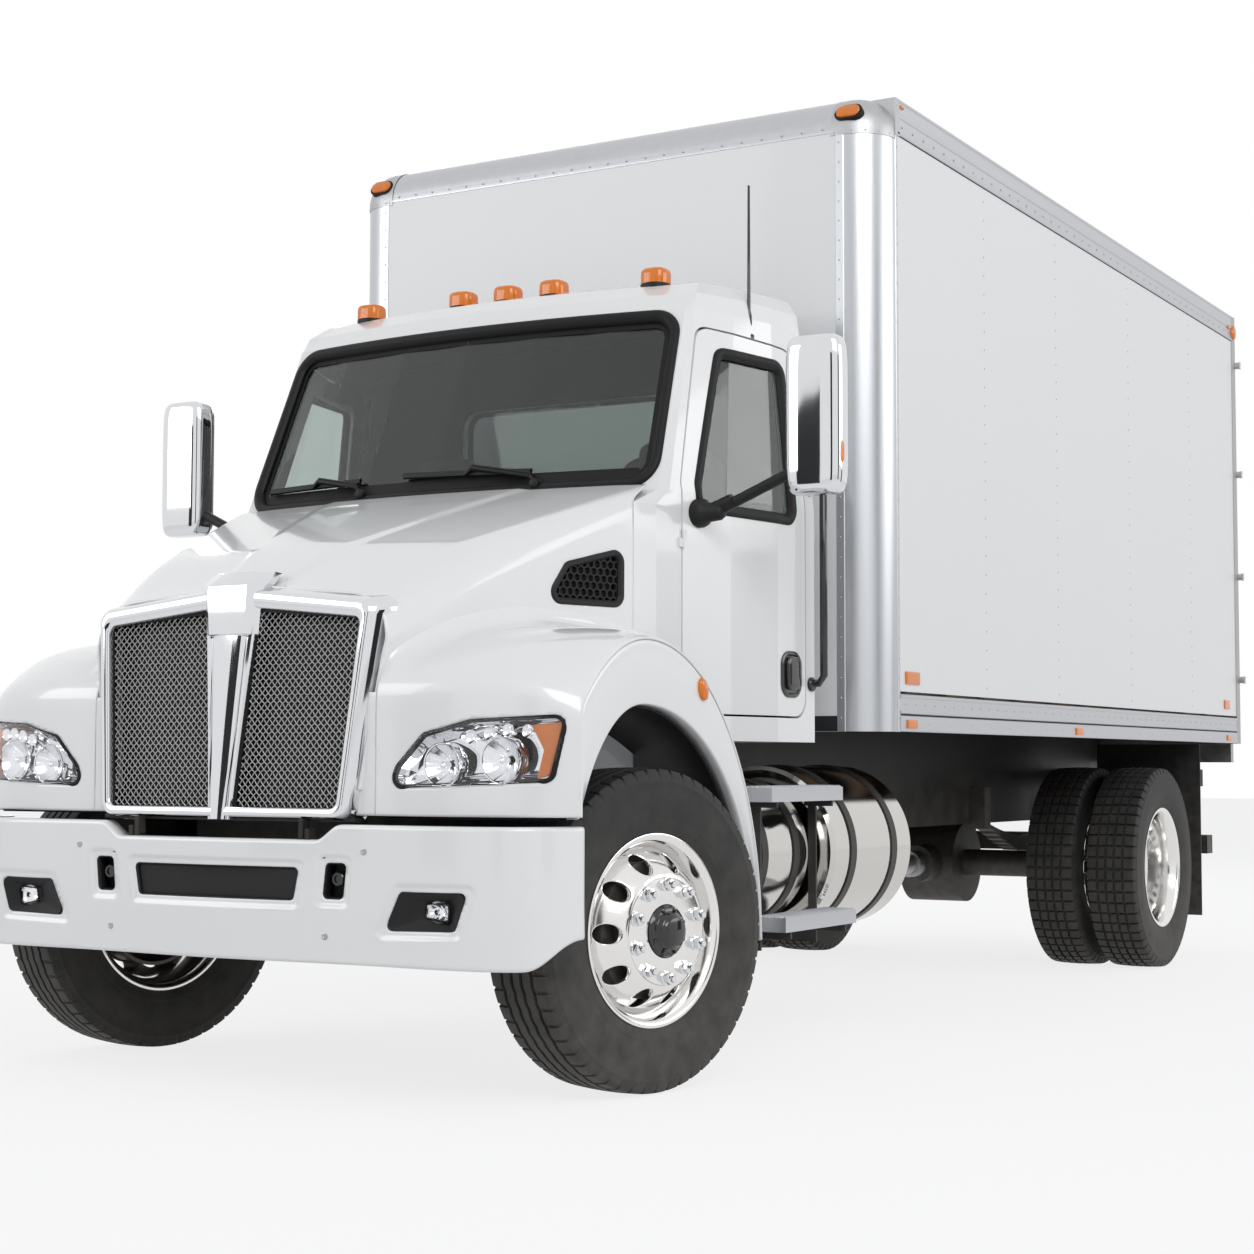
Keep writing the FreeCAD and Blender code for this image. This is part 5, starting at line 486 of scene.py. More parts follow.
def holed_ring(low, high, hole_circle, hole_radius, count, height, thickness):
    """Ring of a disc with a round hole in each sector.  Each sector's grid runs from the
    hole's edge to the sector's boundary along rays from the hole's centre; its height is
    a function of the radius.  Both faces and the holes' walls are one surface."""
    side = np.linspace(-1, 1, 9)[:-1]
    ones = np.ones_like(side)
    square = np.concatenate([np.stack([ones, side], 1), np.stack([-side, ones], 1),
                             np.stack([-ones, -side], 1), np.stack([side, -ones], 1)])
    half = pi / count
    edge_angle = square[:, 0] * half
    edge_r = np.where(square[:, 1] > 0, hole_circle + square[:, 1] * (high - hole_circle),
                      hole_circle + square[:, 1] * (hole_circle - low))
    way = np.stack([edge_angle * hole_circle, edge_r - hole_circle], 1)
    way /= np.linalg.norm(way, axis=1)[:, None]
    rows = []
    for share, grow in ((0.0, -0.0012), (0.0, 0.0014), (0.08, 0.0035), (0.4, 0), (0.7, 0),
                        (1.0, 0)):
        start_angle = way[:, 0] * (hole_radius + grow) / hole_circle
        start_r = hole_circle + way[:, 1] * (hole_radius + grow)
        rows.append((start_angle * (1 - share) + edge_angle * share,
                     start_r * (1 - share) + edge_r * share))
    angles = np.array([row[0] for row in rows])
    radii = np.array([row[1] for row in rows])
    front = height(radii)
    front[0] -= 0.003
    back = height(radii) - thickness
    angles = np.concatenate([angles[::-1], angles])
    radii = np.concatenate([radii[::-1], radii])
    heights = np.concatenate([front[::-1], back])
    points = np.stack([heights, radii * np.sin(angles), radii * np.cos(angles)], -1)
    sector = surface(points, close_columns=True)
    turns = turn_x(2 * pi * (np.arange(count) + 0.5) / count)
    return copies(sector, turns, [(0, 0, 0)])


def closed_turn(section, steps=96):
    """Closed section turned about the axle."""
    section = np.asarray(section, float)
    angle = np.linspace(0, 2 * pi, steps, endpoint=False)[:, None]
    points = np.stack([np.broadcast_to(section[None, :, 0], (steps, len(section))),
                       section[None, :, 1] * np.sin(angle),
                       section[None, :, 1] * np.cos(angle)], -1)
    return surface(points, close_rows=True, close_columns=True)


def hexagon(radius, low, high, bevel):
    """Six-sided nut along x with a bevelled end."""
    angle = np.arange(6) * pi / 3
    rings = [(low, radius), (high - bevel, radius), (high, radius - 1.4 * bevel)]
    points = np.array([[(x, r * math.sin(a), r * math.cos(a)) for a in angle]
                       for x, r in rings])
    shape = surface(points, close_columns=True)
    end = np.arange(6)[None, :] + 12
    return shape[0], [shape[1], end]


def nuts(base, circle=STUD_CIRCLE, count=10):
    """Ring of studs: washer, nut and threaded end, standing on a height."""
    washer = turned([(base - 0.002, 0.0225), (base + 0.004, 0.0225), (base + 0.006, 0.020),
                     (base + 0.006, 0.0)], 24)
    nut = hexagon(0.0192, base + 0.005, base + 0.026, 0.003)
    stud = turned([(base + 0.022, 0.0105), (base + 0.034, 0.0105), (base + 0.036, 0.009),
                   (base + 0.036, 0.0)], 16)
    one = together(washer, nut, stud)
    one = moved(one, offset=(0, 0, circle))
    turns = turn_x(2 * pi * np.arange(count) / count)
    return copies(one, turns, [(0, 0, 0)])


def wheel_metal():
    """Polished wheel: rim, disc with hand holes and its flat centre."""
    half = [(0.060, 0.2555), (0.084, 0.2645), (0.1000, 0.2715), (0.1078, 0.2780),
            (0.1125, 0.2860), (0.1140, 0.2930), (0.1128, 0.2975), (0.1092, 0.2980),
            (0.1064, 0.2955), (0.1050, 0.2890), (0.1030, 0.2865), (0.0520, 0.2645)]
    barrel = closed_turn(half + [(-x, r) for x, r in half[::-1]])
    disc = holed_ring(0.166, 0.2565, 0.212, 0.0315, 10, disc_face, 0.016)
    centre = closed_turn([(FACE - 0.016, 0.0825), (FACE, 0.0825), (FACE, 0.160),
                          (FACE - 0.0007, 0.164), (disc_face(np.array(0.166)), 0.166),
                          (FACE - 0.020, 0.166)])
    return together(barrel, disc, centre)


def hub_front():
    """Black hub through the disc's bore with a stepped round cap."""
    return turned([(FACE - 0.03, 0.0805), (FACE + 0.004, 0.0805), (FACE + 0.008, 0.077),
                   (FACE + 0.012, 0.074), (FACE + 0.013, 0.062), (FACE + 0.016, 0.0585),
                   (FACE + 0.030, 0.0560), (FACE + 0.034, 0.052), (FACE + 0.036, 0.046),
                   (FACE + 0.039, 0.044), (FACE + 0.041, 0.040), (FACE + 0.0415, 0.0)], 64)


def hub_bolts(base, circle, count=8):
    """Ring of bolt heads on the hub."""
    bolt = moved(hexagon(0.0065, base - 0.002, base + 0.006, 0.0015), offset=(0, 0, circle))
    return copies(bolt, turn_x(2 * pi * (np.arange(count) + 0.5) / count), [(0, 0, 0)])


def drum():
    """Ribbed brake drum with its flange behind the disc."""
    low, high = FACE - 0.211, FACE - 0.071
    ribs = [(low + share * (high - low), radius)
            for share, radius in ((0, 0.200), (0.0, 0.212), (0.12, 0.212), (0.16, 0.206),
                                  (0.84, 0.206), (0.88, 0.212), (1.0, 0.212))]
    return turned(ribs + [(high + 0.002, 0.158), (FACE - 0.0165, 0.158),
                          (FACE - 0.0165, 0.078)], 96)


def rear_hub():
    """Hub that stands out through the deep outer wheel, with its axle flange."""
    face = -FACE
    return turned([(face, 0.0790), (face + 0.070, 0.0785), (face + 0.078, 0.075),
                   (face + 0.080, 0.0775), (face + 0.094, 0.0775), (face + 0.096, 0.074),
                   (face + 0.098, 0.055), (face + 0.108, 0.050), (face + 0.111, 0.042),
                   (face + 0.1115, 0.0)], 64)


def flipped(shape):
    """Turned end for end, outboard side in."""
    return moved(shape, matrix=np.diag([-1.0, -1.0, 1.0]))


def front_wheel(side):
    """Matrix and offset of a front wheel as parked, its axle turned about the kingpin."""
    steer = turn_z(PARKED_STEER)
    reach = np.array([side * KINGPIN_REACH, 0, RADIUS])
    offset = np.array([side * KINGPIN, AXLE, 0]) + steer @ reach
    return steer @ (np.eye(3) if side > 0 else turn_z(pi)), offset


def dressed_wheels():
    """Tyres, wheels, hubs, drums and nuts on all six wheels."""
    metal, rib_tyre, lug_tyre = wheel_metal(), tyre(False), tyre(True)
    back_face = FACE - 0.0165
    for side, word in ((1, "left"), (-1, "right")):
        matrix, offset = front_wheel(side)
        body = f"wheel_front_{word}"
        dress = [("tyre", rib_tyre, rubber, (f"tyre_front_{word}",)),
                 ("disc_wheel", metal, polished, (body,)),
                 ("wheel_nuts", nuts(FACE), chrome, ()),
                 ("hub", together(hub_front(), hub_bolts(FACE + 0.012, 0.068)), gloss_black,
                  ()),
                 ("drum", drum(), drum_iron, ())]
        for part, shape, material, nodes in dress:
            piece(f"front_{part}_{word}", moved(shape, matrix, offset), material, body, nodes)
        matrix = np.eye(3) if side > 0 else turn_z(pi)
        outer = (side * REAR_OUTER, REAR_AXLE, RADIUS)
        inner = (side * REAR_INNER, REAR_AXLE, RADIUS)
        body = f"wheel_rear_{word}"
        tyres = together(moved(lug_tyre, matrix, outer), moved(lug_tyre, matrix, inner))
        wheels = together(moved(flipped(metal), matrix, outer), moved(metal, matrix, inner))
        pieces = [("tyres", tyres, rubber, (f"tyres_rear_{word}",)),
                  ("disc_wheels", wheels, polished, (f"wheels_rear_{word}",)),
                  ("wheel_nuts", moved(nuts(-back_face), matrix, outer), chrome, ()),
                  ("hub", moved(together(rear_hub(), hub_bolts(-FACE + 0.094, 0.066)),
                                matrix, outer), galvanised, ()),
                  ("drum", moved(drum(), matrix, inner), drum_iron, ())]
        for part, shape, material, nodes in pieces:
            piece(f"rear_{part}_{word}", shape, material, body, nodes)


dressed_wheels()


# Hood, fenders and their lamps.
GRILLE_FOOT = 0.842
def facing(shape, inside):
    """The shape with its faces turned away from a point inside it."""
    points, faces = shape
    groups = grouped(faces)
    total = 0.0
    for group in groups:
        corners = points[group]
        normal = np.cross(corners[:, 2] - corners[:, 0], corners[:, 1] - corners[:, -1])
        total += np.sum(normal * (corners.mean(1) - inside))
    return points, [group[:, ::-1] for group in groups] if total > 0 else groups


def inside_outline(outline, a, b):
    """Which points (a, b) lie inside a closed outline, by counting crossings."""
    outline = np.asarray(outline, float)
    after = np.roll(outline, -1, 0)
    a, b = np.asarray(a)[..., None], np.asarray(b)[..., None]
    spans = (outline[:, 1] > b) != (after[:, 1] > b)
    rise = np.where(after[:, 1] == outline[:, 1], 1e-9, after[:, 1] - outline[:, 1])
    at = outline[:, 0] + (b - outline[:, 1]) * (after[:, 0] - outline[:, 0]) / rise
    return (spans & (a < at)).sum(-1) % 2 == 1


def without(shape, drop):
    """The shape less the faces whose centres the test picks."""
    points, faces = shape
    groups = grouped(faces)
    return points, [group[~drop(points[group].mean(1))] for group in groups]


def thick(obj, depth):
    """Give a sheet its thickness, inwards."""
    sheet = obj.modifiers.new("thickness", "SOLIDIFY")
    sheet.thickness = depth
    sheet.offset = -1


def box(low, high, bevel=0.003):
    """Block between two corners with bevelled edges."""
    (x0, y0, z0), (x1, y1, z1) = low, high
    outline = [(x0, y0), (x1, y0), (x1, y1), (x0, y1)]
    return plate(outline, z0, z1, min(bevel, (x1 - x0) / 3, (y1 - y0) / 3, (z1 - z0) / 3))


def hood_half_width(y, z):
    """Distance of the hood's side from the centre line at a place along it and a height."""
    share = (y - (AXLE - 0.716)) / 0.95
    top_half = 0.596 + 0.288 * share
    low_half = 0.505 + 0.379 * share
    shoulder = 1.530 + 0.370 * share * (1 + 0.12 * (1 - share))
    return low_half + (top_half - low_half) * (z - GRILLE_FOOT) / (shoulder - GRILLE_FOOT)


def hood_section(y, place):
    """Right half of the hood's cross-section: a leaning side, a rounded shoulder drawn as a
    Bezier curve and a top that rises as a parabola.  Place runs 0 to 1 up the side, to 2
    round the shoulder and to 3 across the top to the middle."""
    share = (y - (AXLE - 0.716)) / 0.95
    bend = share * (1 + 0.12 * (1 - share))
    top_half = 0.596 + 0.288 * share
    shoulder, crown = 1.530 + 0.370 * bend, 1.572 + 0.362 * bend
    reach = 1.35 * (0.120 - 0.072 * share)
    side_z = 0.93 + np.clip(place, 0, 1) * (shoulder - reach - 0.93)
    side_x = hood_half_width(y, side_z)
    top_x = (top_half - reach) * (1 - np.clip(place - 2, 0, 1))
    top_z = shoulder + (crown - shoulder) * (1 - (top_x / top_half) ** 2)
    start_z = shoulder - reach
    start_x = hood_half_width(y, start_z)
    end_x = top_half - reach
    end_z = shoulder + (crown - shoulder) * (1 - (end_x / top_half) ** 2)
    pull = 0.62
    t = np.clip(place - 1, 0, 1)
    a, b, c, d = (1 - t) ** 3, 3 * t * (1 - t) ** 2, 3 * t * t * (1 - t), t ** 3
    slope = 2 * (crown - shoulder) * end_x / top_half ** 2
    arc_x = (a * start_x + b * (start_x + pull * (top_half - start_x))
             + c * (end_x + pull * reach) + d * end_x)
    arc_z = (a * start_z + b * (start_z + pull * reach)
             + c * (end_z - slope * pull * reach) + d * end_z)
    x = np.where(place <= 1, side_x, np.where(place <= 2, arc_x, top_x))
    z = np.where(place <= 1, side_z, np.where(place <= 2, arc_z, top_z))
    return x, z


VENT = np.array([(AXLE - 0.114, 1.528), (AXLE + 0.183, 1.528), (AXLE + 0.183, 1.705),
                 (AXLE - 0.040, 1.646)])
LAMP = np.array([0.612, 0.938]) + np.array([0.548, 0.214]) * [
    (0, 0), (0.05, 0.3), (0.22, 0.74), (0.5, 0.93), (1, 1), (0.93, 0.1)]


def hood_centre():
    """Hood between the fenders: the section swept from the grille's leaning plane to the
    seam, which runs back over the cowl in the windshield's bow, with a raised panel that
    widens from the grille's crown to the windshield."""
    place = np.concatenate([np.linspace(0, 1, 60)[:-1], 1 + np.linspace(0, 1, 17)[:-1],
                            2 + np.linspace(0, 1, 41)])
    run, place = crossed(np.linspace(0, 1, 110), place)
    y = AXLE - 0.72 + 0.95 * run
    for _ in range(4):
        x, z = hood_section(y, place)
        front = AXLE - 0.745 + 0.048 * (z - GRILLE_FOOT) / 0.675
        over = smooth_between(1.2, 2.2, place)
        rear = AXLE + 0.234 + over * (0.031 + 0.092 * (x / 0.854) ** 2)
        y = front + (rear - front) * run
    x, z = hood_section(y, place)
    edge = 0.10 + 0.32 * run
    z = z - 0.034 * (1 - smooth_between(0, 0.35, run)) * smooth_between(0.85, 1.2, place)
    z = z + 0.006 * (1 - smooth_between(edge - 0.02, edge + 0.02, x)) * (place > 2)
    right = np.stack([x, y, z], -1)
    left = right[:, ::-1] * (-1, 1, 1)
    shape = surface(np.concatenate([right, left[:, 1:]], 1))
    hole = rounded(inset_polygon(VENT, 0.002), 0.028, 8)
    shape = opened(shape, hole, (1, 2), lambda at: np.abs(at[:, 0]) > 0.5)
    return facing(shape, (0, AXLE - 0.2, 1.0))


ARCH_Y, ARCH_Z = -0.19, 0.432     # middle of the wheel opening, from the front axle


def at_side(x, outline):
    """Outline of (y, z) set at one distance from the centre line."""
    return np.column_stack([np.full(len(outline), x), outline])


def fender_curve(out, angle):
    """Height and place along the truck of the fender at a share of the way out.  Angle
    runs from the front down over the crest to the rear; below the front's start the curve
    is an upright wall."""
    inner = 1 - np.clip(out, 0, 1) ** 3.3
    front = -0.725 + 0.135 * out ** 3
    rise = 1.390 + 0.048 * np.sqrt(np.clip(inner, 0, 1))
    rear = 0.748 + 0.552 * inner ** 2
    ahead = 0.620 + 0.341 * inner
    start = np.arccos(np.clip((front - ARCH_Y) / ahead, -1, 1))
    turn = np.minimum(angle, start)
    reach = np.where(turn > pi / 2, ahead, rear)
    y = ARCH_Y + reach * np.cos(turn)
    z = ARCH_Z + (rise - ARCH_Z) * np.sin(turn)
    wall_top = ARCH_Z + (rise - ARCH_Z) * np.sin(start)
    down = np.clip((angle - start) / 0.7, 0, 1)
    z = np.where(angle > start, wall_top + (0.856 - wall_top) * down, z)
    return AXLE + y, z, start


def eased(values, passes):
    """Rows eased along the first axis, their ends kept."""
    for _ in range(passes):
        values[1:-1] = 0.25 * values[:-2] + 0.5 * values[1:-1] + 0.25 * values[2:]
    return values


SEAM_ROW = 150
TAIL_COLUMN = 70


def fender_sheet(outs):
    """Top and front of the left fender over shares of the way out.  Rows run at equal
    steps along each curve from the front's bottom to the hood's seam and from there to the
    tail.  A cove lifts the sheet softly into the hood's side."""
    inner = 1 - outs ** 3.3
    _, _, start = fender_curve(outs, np.zeros_like(outs))
    seam = np.arccos(np.clip((0.234 - ARCH_Y) / (0.748 + 0.552 * inner ** 2), -1, 1))
    fine = np.linspace(0, 1, 400)[:, None]
    parts = []
    for high, low, rows in ((start + 0.7, seam, SEAM_ROW + 1), (seam, 0 * seam, 60)):
        angle = high + (low - high) * fine
        y, z, _ = fender_curve(np.broadcast_to(outs, angle.shape), angle)
        step = np.hypot(np.diff(y, axis=0), np.diff(z, axis=0))
        length = np.concatenate([np.zeros((1, len(outs))), np.cumsum(step, 0)])
        length /= length[-1]
        even = np.linspace(0, 1, rows)
        part = np.stack([np.stack([np.interp(even, length[:, c], values[:, c])
                                   for c in range(len(outs))], 1) for values in (y, z)], -1)
        parts.append(part if not parts else part[1:])
    even = eased(np.concatenate(parts), 40)
    x = np.broadcast_to(0.56 + 0.63 * outs, even.shape[:2])
    way = np.gradient(even, axis=0)
    up = np.clip(way[..., 0] / (np.linalg.norm(way, axis=-1) + 1e-9), 0, 1)
    apart = x - hood_half_width(even[..., 0], even[..., 1])
    radius = 0.085
    near = np.clip(1 - apart / radius, 0, 1)
    lift = radius * (1 - np.sqrt(np.clip(1 - near ** 2, 0, 1)))
    z = even[..., 1] + lift * smooth_between(0.5, 0.95, up)
    return np.stack([x, even[..., 0], z], -1)


def fender_top():
    """Fender's top and front as one sheet; inwards of the tail it ends at the seam."""
    outs = np.concatenate([np.linspace(0, 0.794, TAIL_COLUMN + 1)[:-1],
                           np.linspace(0.794, 0.95, 22)[:-1], np.linspace(0.95, 0.999, 14)])
    points, faces = surface(fender_sheet(outs))
    row, column = np.divmod(faces[:, 0], len(outs))
    faces = faces[(row < SEAM_ROW) | (column >= TAIL_COLUMN)]
    return facing((points, faces), (0.9, AXLE - 0.1, 0.8))


def fender_edge():
    """Outer crest of the fender, front bottom to tail, as places along and heights."""
    return fender_sheet(np.array([0.999]))[:, 0, 1:]


def fender_side():
    """Rounded crest edge, slightly bowed outer face and the rolled lip of the wheel
    opening, from the crest to two quarter ellipses along the same rays from the middle
    of the opening."""
    crest = fender_edge()
    way = np.gradient(crest, axis=0)
    way /= np.linalg.norm(way, axis=1)[:, None]
    inward = np.stack([way[:, 1], -way[:, 0]], 1)
    middle = np.array([AXLE + ARCH_Y, ARCH_Z])
    ray = crest - middle
    angle = np.arctan2(ray[:, 1], ray[:, 0])
    half = np.where(ray[:, 0] < 0, 0.455, 0.735)
    reach = 1 / np.sqrt((np.cos(angle) / half) ** 2 + (np.sin(angle) / 0.765) ** 2)
    reach = np.minimum(reach, np.linalg.norm(ray, axis=1) - 0.012)
    arch = middle + np.stack([np.cos(angle), np.sin(angle)], 1) * reach[:, None]
    arch[:, 1] = np.maximum(arch[:, 1], np.where(ray[:, 0] < 0, 0.856, ARCH_Z))
    turn = np.linspace(0, pi / 2, 7)
    size = 0.016
    rows = []
    for t in turn:
        rows.append(at_side(1.189 - size * (1 - math.sin(t)),
                            crest + inward * size * (1 - math.cos(t))))
    start = rows[-1][:, 1:]
    for share in np.linspace(0, 1, 14)[1:]:
        bow = 0.010 * math.sin(pi * share)
        x = 1.187 - 0.012 * share + bow * 0.3
        rows.append(at_side(x, start + (arch - start) * share))
    inwards = arch - middle
    inwards = -inwards / np.linalg.norm(inwards, axis=1)[:, None]
    for t in np.linspace(0, pi / 2, 5)[1:]:
        x = 1.175 - 0.014 * (1 - math.cos(t))
        rows.append(at_side(x, arch + inwards * 0.008 * math.sin(t)))
    rows.append(rows[-1] - (0.030, 0, 0))
    return facing(surface(np.array(rows)), (0.9, AXLE + ARCH_Y, 0.9)), rows[-1]


def cheek():
    """Front skin from the fender's inner edge to the hood's side, level across."""
    edge = fender_sheet(np.array([0.0]))[:40, 0]
    near = np.minimum(edge[:, 0], hood_half_width(edge[:, 1], edge[:, 2]) - 0.020)
    share = np.linspace(0, 1, 8)[None, :, None]
    inner = edge * (0, 1, 1) + near[:, None] * (1, 0, 0)
    points = inner[:, None] + (edge + (0.002, 0, 0) - inner)[:, None] * share
    return facing(surface(points), (0.5, AXLE - 0.1, 0.8))


def hood():
    """Hood shell, fenders, inner arches and the arms on its pivot pins."""
    side, lip = fender_side()
    hole = rounded(inset_polygon(LAMP, -0.002), 0.030, 10)
    fender = opened(fender_top(), hole, (0, 2), lambda at: at[:, 1] < AXLE - 0.5)
    shell = piece("hood_shell", hood_centre(), paint, "hood", replaces=["hood"])
    thick(shell, 0.006)
    for label, shape in both_sides(fender):
        thick(piece(f"fender_{label}", shape, paint, "hood"), 0.005)
    for label, shape in both_sides(side):
        thick(piece(f"fender_side_{label}", shape, paint, "hood"), 0.004)
    thick(piece("fender_cheeks", pair(cheek()), paint, "hood"), 0.005)
    liner_rows = np.array([lip - (step, 0, 0) for step in (0, 0.01, 0.2, 0.45, 0.64)])
    liner = facing(surface(liner_rows), (0.9, AXLE - 0.19, 0.0))
    for label, shape in both_sides(liner):
        thick(piece(f"arch_liner_{label}", shape, black_plastic, "hood"), 0.004)
    plates = together(box((0.319, -3.581, 0.784), (0.335, -3.549, 0.846)),
                      box((-0.335, -3.581, 0.784), (-0.319, -3.549, 0.846)),
                      box((-0.5, -3.541, 0.835), (0.5, -3.495, 0.849)))
    piece("hood_arms", plates, frame_black, "hood")


# Grille, headlamps and bumper.
def inset_polygon(points, distance):
    """Polygon with every side moved inwards by a distance."""
    points = np.asarray(points, float)
    ways = np.roll(points, -1, 0) - points
    area = np.sum(points[:, 0] * np.roll(points[:, 1], -1)
                  - np.roll(points[:, 0], -1) * points[:, 1])
    ways /= np.linalg.norm(ways, axis=1)[:, None]
    inward = np.stack([-ways[:, 1], ways[:, 0]], 1) * np.sign(area)
    level = (points * inward).sum(1) + distance
    before, before_level = np.roll(inward, 1, 0), np.roll(level, 1)
    cross = before[:, 0] * inward[:, 1] - before[:, 1] * inward[:, 0]
    x = (before_level * inward[:, 1] - level * before[:, 1]) / cross
    y = (before[:, 0] * level - inward[:, 0] * before_level) / cross
    return np.stack([x, y], 1)


def moulding(points, radius, profile, steps=8, closed=True):
    """Profile of (inset, height) carried round a polygon whose corners are rounded; each
    ring of it keeps the corners' steps.  Closed profiles make a solid ring."""
    rings = []
    for inset, height in profile:
        flat = rounded(inset_polygon(points, inset), max(radius - inset, 0.003), steps)
        rings.append(level_ring(flat, height))
    return surface(np.array(rings), close_rows=closed, close_columns=True)


def outwards(shape):
    """Closed shape with its faces turned out, told by the sign of its volume."""
    points, faces = shape
    groups = grouped(faces)
    volume = 0.0
    for group in groups:
        a = points[group[:, 0]]
        for i in range(1, group.shape[1] - 1):
            volume += np.sum(a * np.cross(points[group[:, i]], points[group[:, i + 1]]))
    return points, [group[:, ::-1] for group in groups] if volume < 0 else groups


def mapped(shape, place):
    """A shape with its points passed through a function."""
    return place(shape[0]), shape[1]


LEAN = math.atan2(0.048, 0.675)
SURROUND = np.array([(-0.503, -0.006), (0.503, -0.006), (0.588, 0.6767), (0.0, 0.742),
                     (-0.588, 0.6767)])
FRONT = np.array([(-0.474, 0.008), (0.474, 0.008), (0.540, 0.648), (0.0, 0.706),
                  (-0.540, 0.648)])
INNER = np.array([(-0.449, 0.036), (0.449, 0.036), (0.502, 0.604), (0.0, 0.655),
                  (-0.502, 0.604)])
SCREEN = np.array([(0.050, 0.034), (0.446, 0.034), (0.500, 0.606), (0.104, 0.638)])


def leaned(points):
    """From (across, up the grille, proud of it) to the truck's axes."""
    x, up, proud = split_axes(points)
    return np.stack([x, AXLE - 0.764 + up * math.sin(LEAN) - proud * math.cos(LEAN),
                     GRILLE_FOOT + up * math.cos(LEAN) + proud * math.sin(LEAN)], -1)


def opened(shape, outline, axes, there=None, inside=True):
    """Shape with a clean opening: faces whose centres lie inside an outline, seen along
    the third axis, go, and the points left on the opening's edge move onto the outline.
    With inside False what lies outside the outline goes."""
    points, faces = shape
    points = points.copy()
    outline = np.asarray(outline, float)
    groups = grouped(faces)
    kept, gone = [], []
    for group in groups:
        centre = points[group].mean(1)
        drop = inside_outline(outline, centre[:, axes[0]], centre[:, axes[1]]) == inside
        if there is not None:
            drop &= there(centre)
        kept.append(group[~drop])
        gone.append(group[drop].ravel())
    edge = np.intersect1d(np.concatenate([g.ravel() for g in kept]), np.concatenate(gone))
    at = points[edge][:, axes]
    nearest, spot = np.full(len(edge), 9.0), at.copy()
    for start, end in zip(outline, np.roll(outline, -1, 0)):
        share = np.clip((at - start) @ (end - start) / ((end - start) @ (end - start)), 0, 1)
        place = start + share[:, None] * (end - start)
        distance = np.linalg.norm(at - place, axis=1)
        closer = distance < nearest
        nearest = np.where(closer, distance, nearest)
        spot[closer] = place[closer]
    points[edge[:, None], np.array(axes)[None, :]] = spot
    return points, kept


def grille_surround():
    """Deep outer side, rolled front band and the step to the screens between polygons of
    growing inset; the tapered bar with a groove each side; the faceted crown."""
    rows = []
    for first, last, share, proud, radius in (
            (SURROUND, FRONT, 0, -0.080, 0.050), (SURROUND, FRONT, 0.05, -0.060, 0.050),
            (SURROUND, FRONT, 0.45, -0.016, 0.046), (SURROUND, FRONT, 0.80, 0.008, 0.042),
            (SURROUND, FRONT, 0.94, 0.014, 0.040), (FRONT, INNER, 0.10, 0.0175, 0.038),
            (FRONT, INNER, 0.40, 0.0180, 0.034), (FRONT, INNER, 0.75, 0.0160, 0.030),
            (FRONT, INNER, 0.90, 0.0130, 0.026), (FRONT, INNER, 0.97, 0.006, 0.024),
            (FRONT, INNER, 1, -0.004, 0.022), (FRONT, INNER, 1, -0.024, 0.022)):
        flat = rounded(first + (last - first) * share, radius, 10)
        rows.append(level_ring(flat, proud))
    ring = surface(np.array(rows), close_rows=True, close_columns=True)
    up = np.linspace(-0.004, 0.70, 40)
    half = 0.044 + 0.066 * (np.maximum(up, 0) / 0.70) ** 1.15
    share = np.array([-1, -1, -0.94, -0.82, -0.76, -0.70, -0.64, -0.58, -0.3, 0])
    share = np.concatenate([share, -share[::-1][1:]])
    proud = there_and_back(np.array([-0.024, 0.004, 0.010, 0.012, 0.006, 0.006, 0.014, 0.018,
                                     0.021, 0.022]))
    bar = np.stack([half[:, None] * share, np.broadcast_to(up[:, None], (40, 19)),
                    np.broadcast_to(proud, (40, 19))], -1)
    rise = np.array([0.560, 0.566, 0.700, 0.716, 0.724, 0.762, 0.767, 0.767])
    wide = np.array([0.098, 0.104, 0.116, 0.114, 0.110, 0.086, 0.080, 0.078])
    deep = np.array([0.018, 0.026, 0.034, 0.032, 0.026, -0.012, -0.018, -0.060])
    share = np.array([-1, -1, -0.70, -0.67, 0, 0.67, 0.70, 1, 1])
    drop = there_and_back(np.array([0.060, 0.030, 0.002, 0, 0]))
    flare = 1 + np.outer([0, 0, 0, 0.10, 0.20, 0.45, 0.50, 0.50], np.abs(share) == 1)
    crown = np.stack([wide[:, None] * share * flare, np.broadcast_to(rise[:, None], (8, 9)),
                      deep[:, None] - drop * np.ones((8, 1))], -1)
    front = leaned(np.array([[0, 0.4, -0.5]]))[0]
    piece("grille_surround_bright", outwards(mapped(ring, leaned)), chrome, "hood",
          replaces=["grille_surround"], smooth=50)
    parts = [facing(mapped(surface(points), leaned), front) for points in (bar, crown)]
    piece("grille_bar_crown", together(*parts), chrome, "hood", smooth=24)


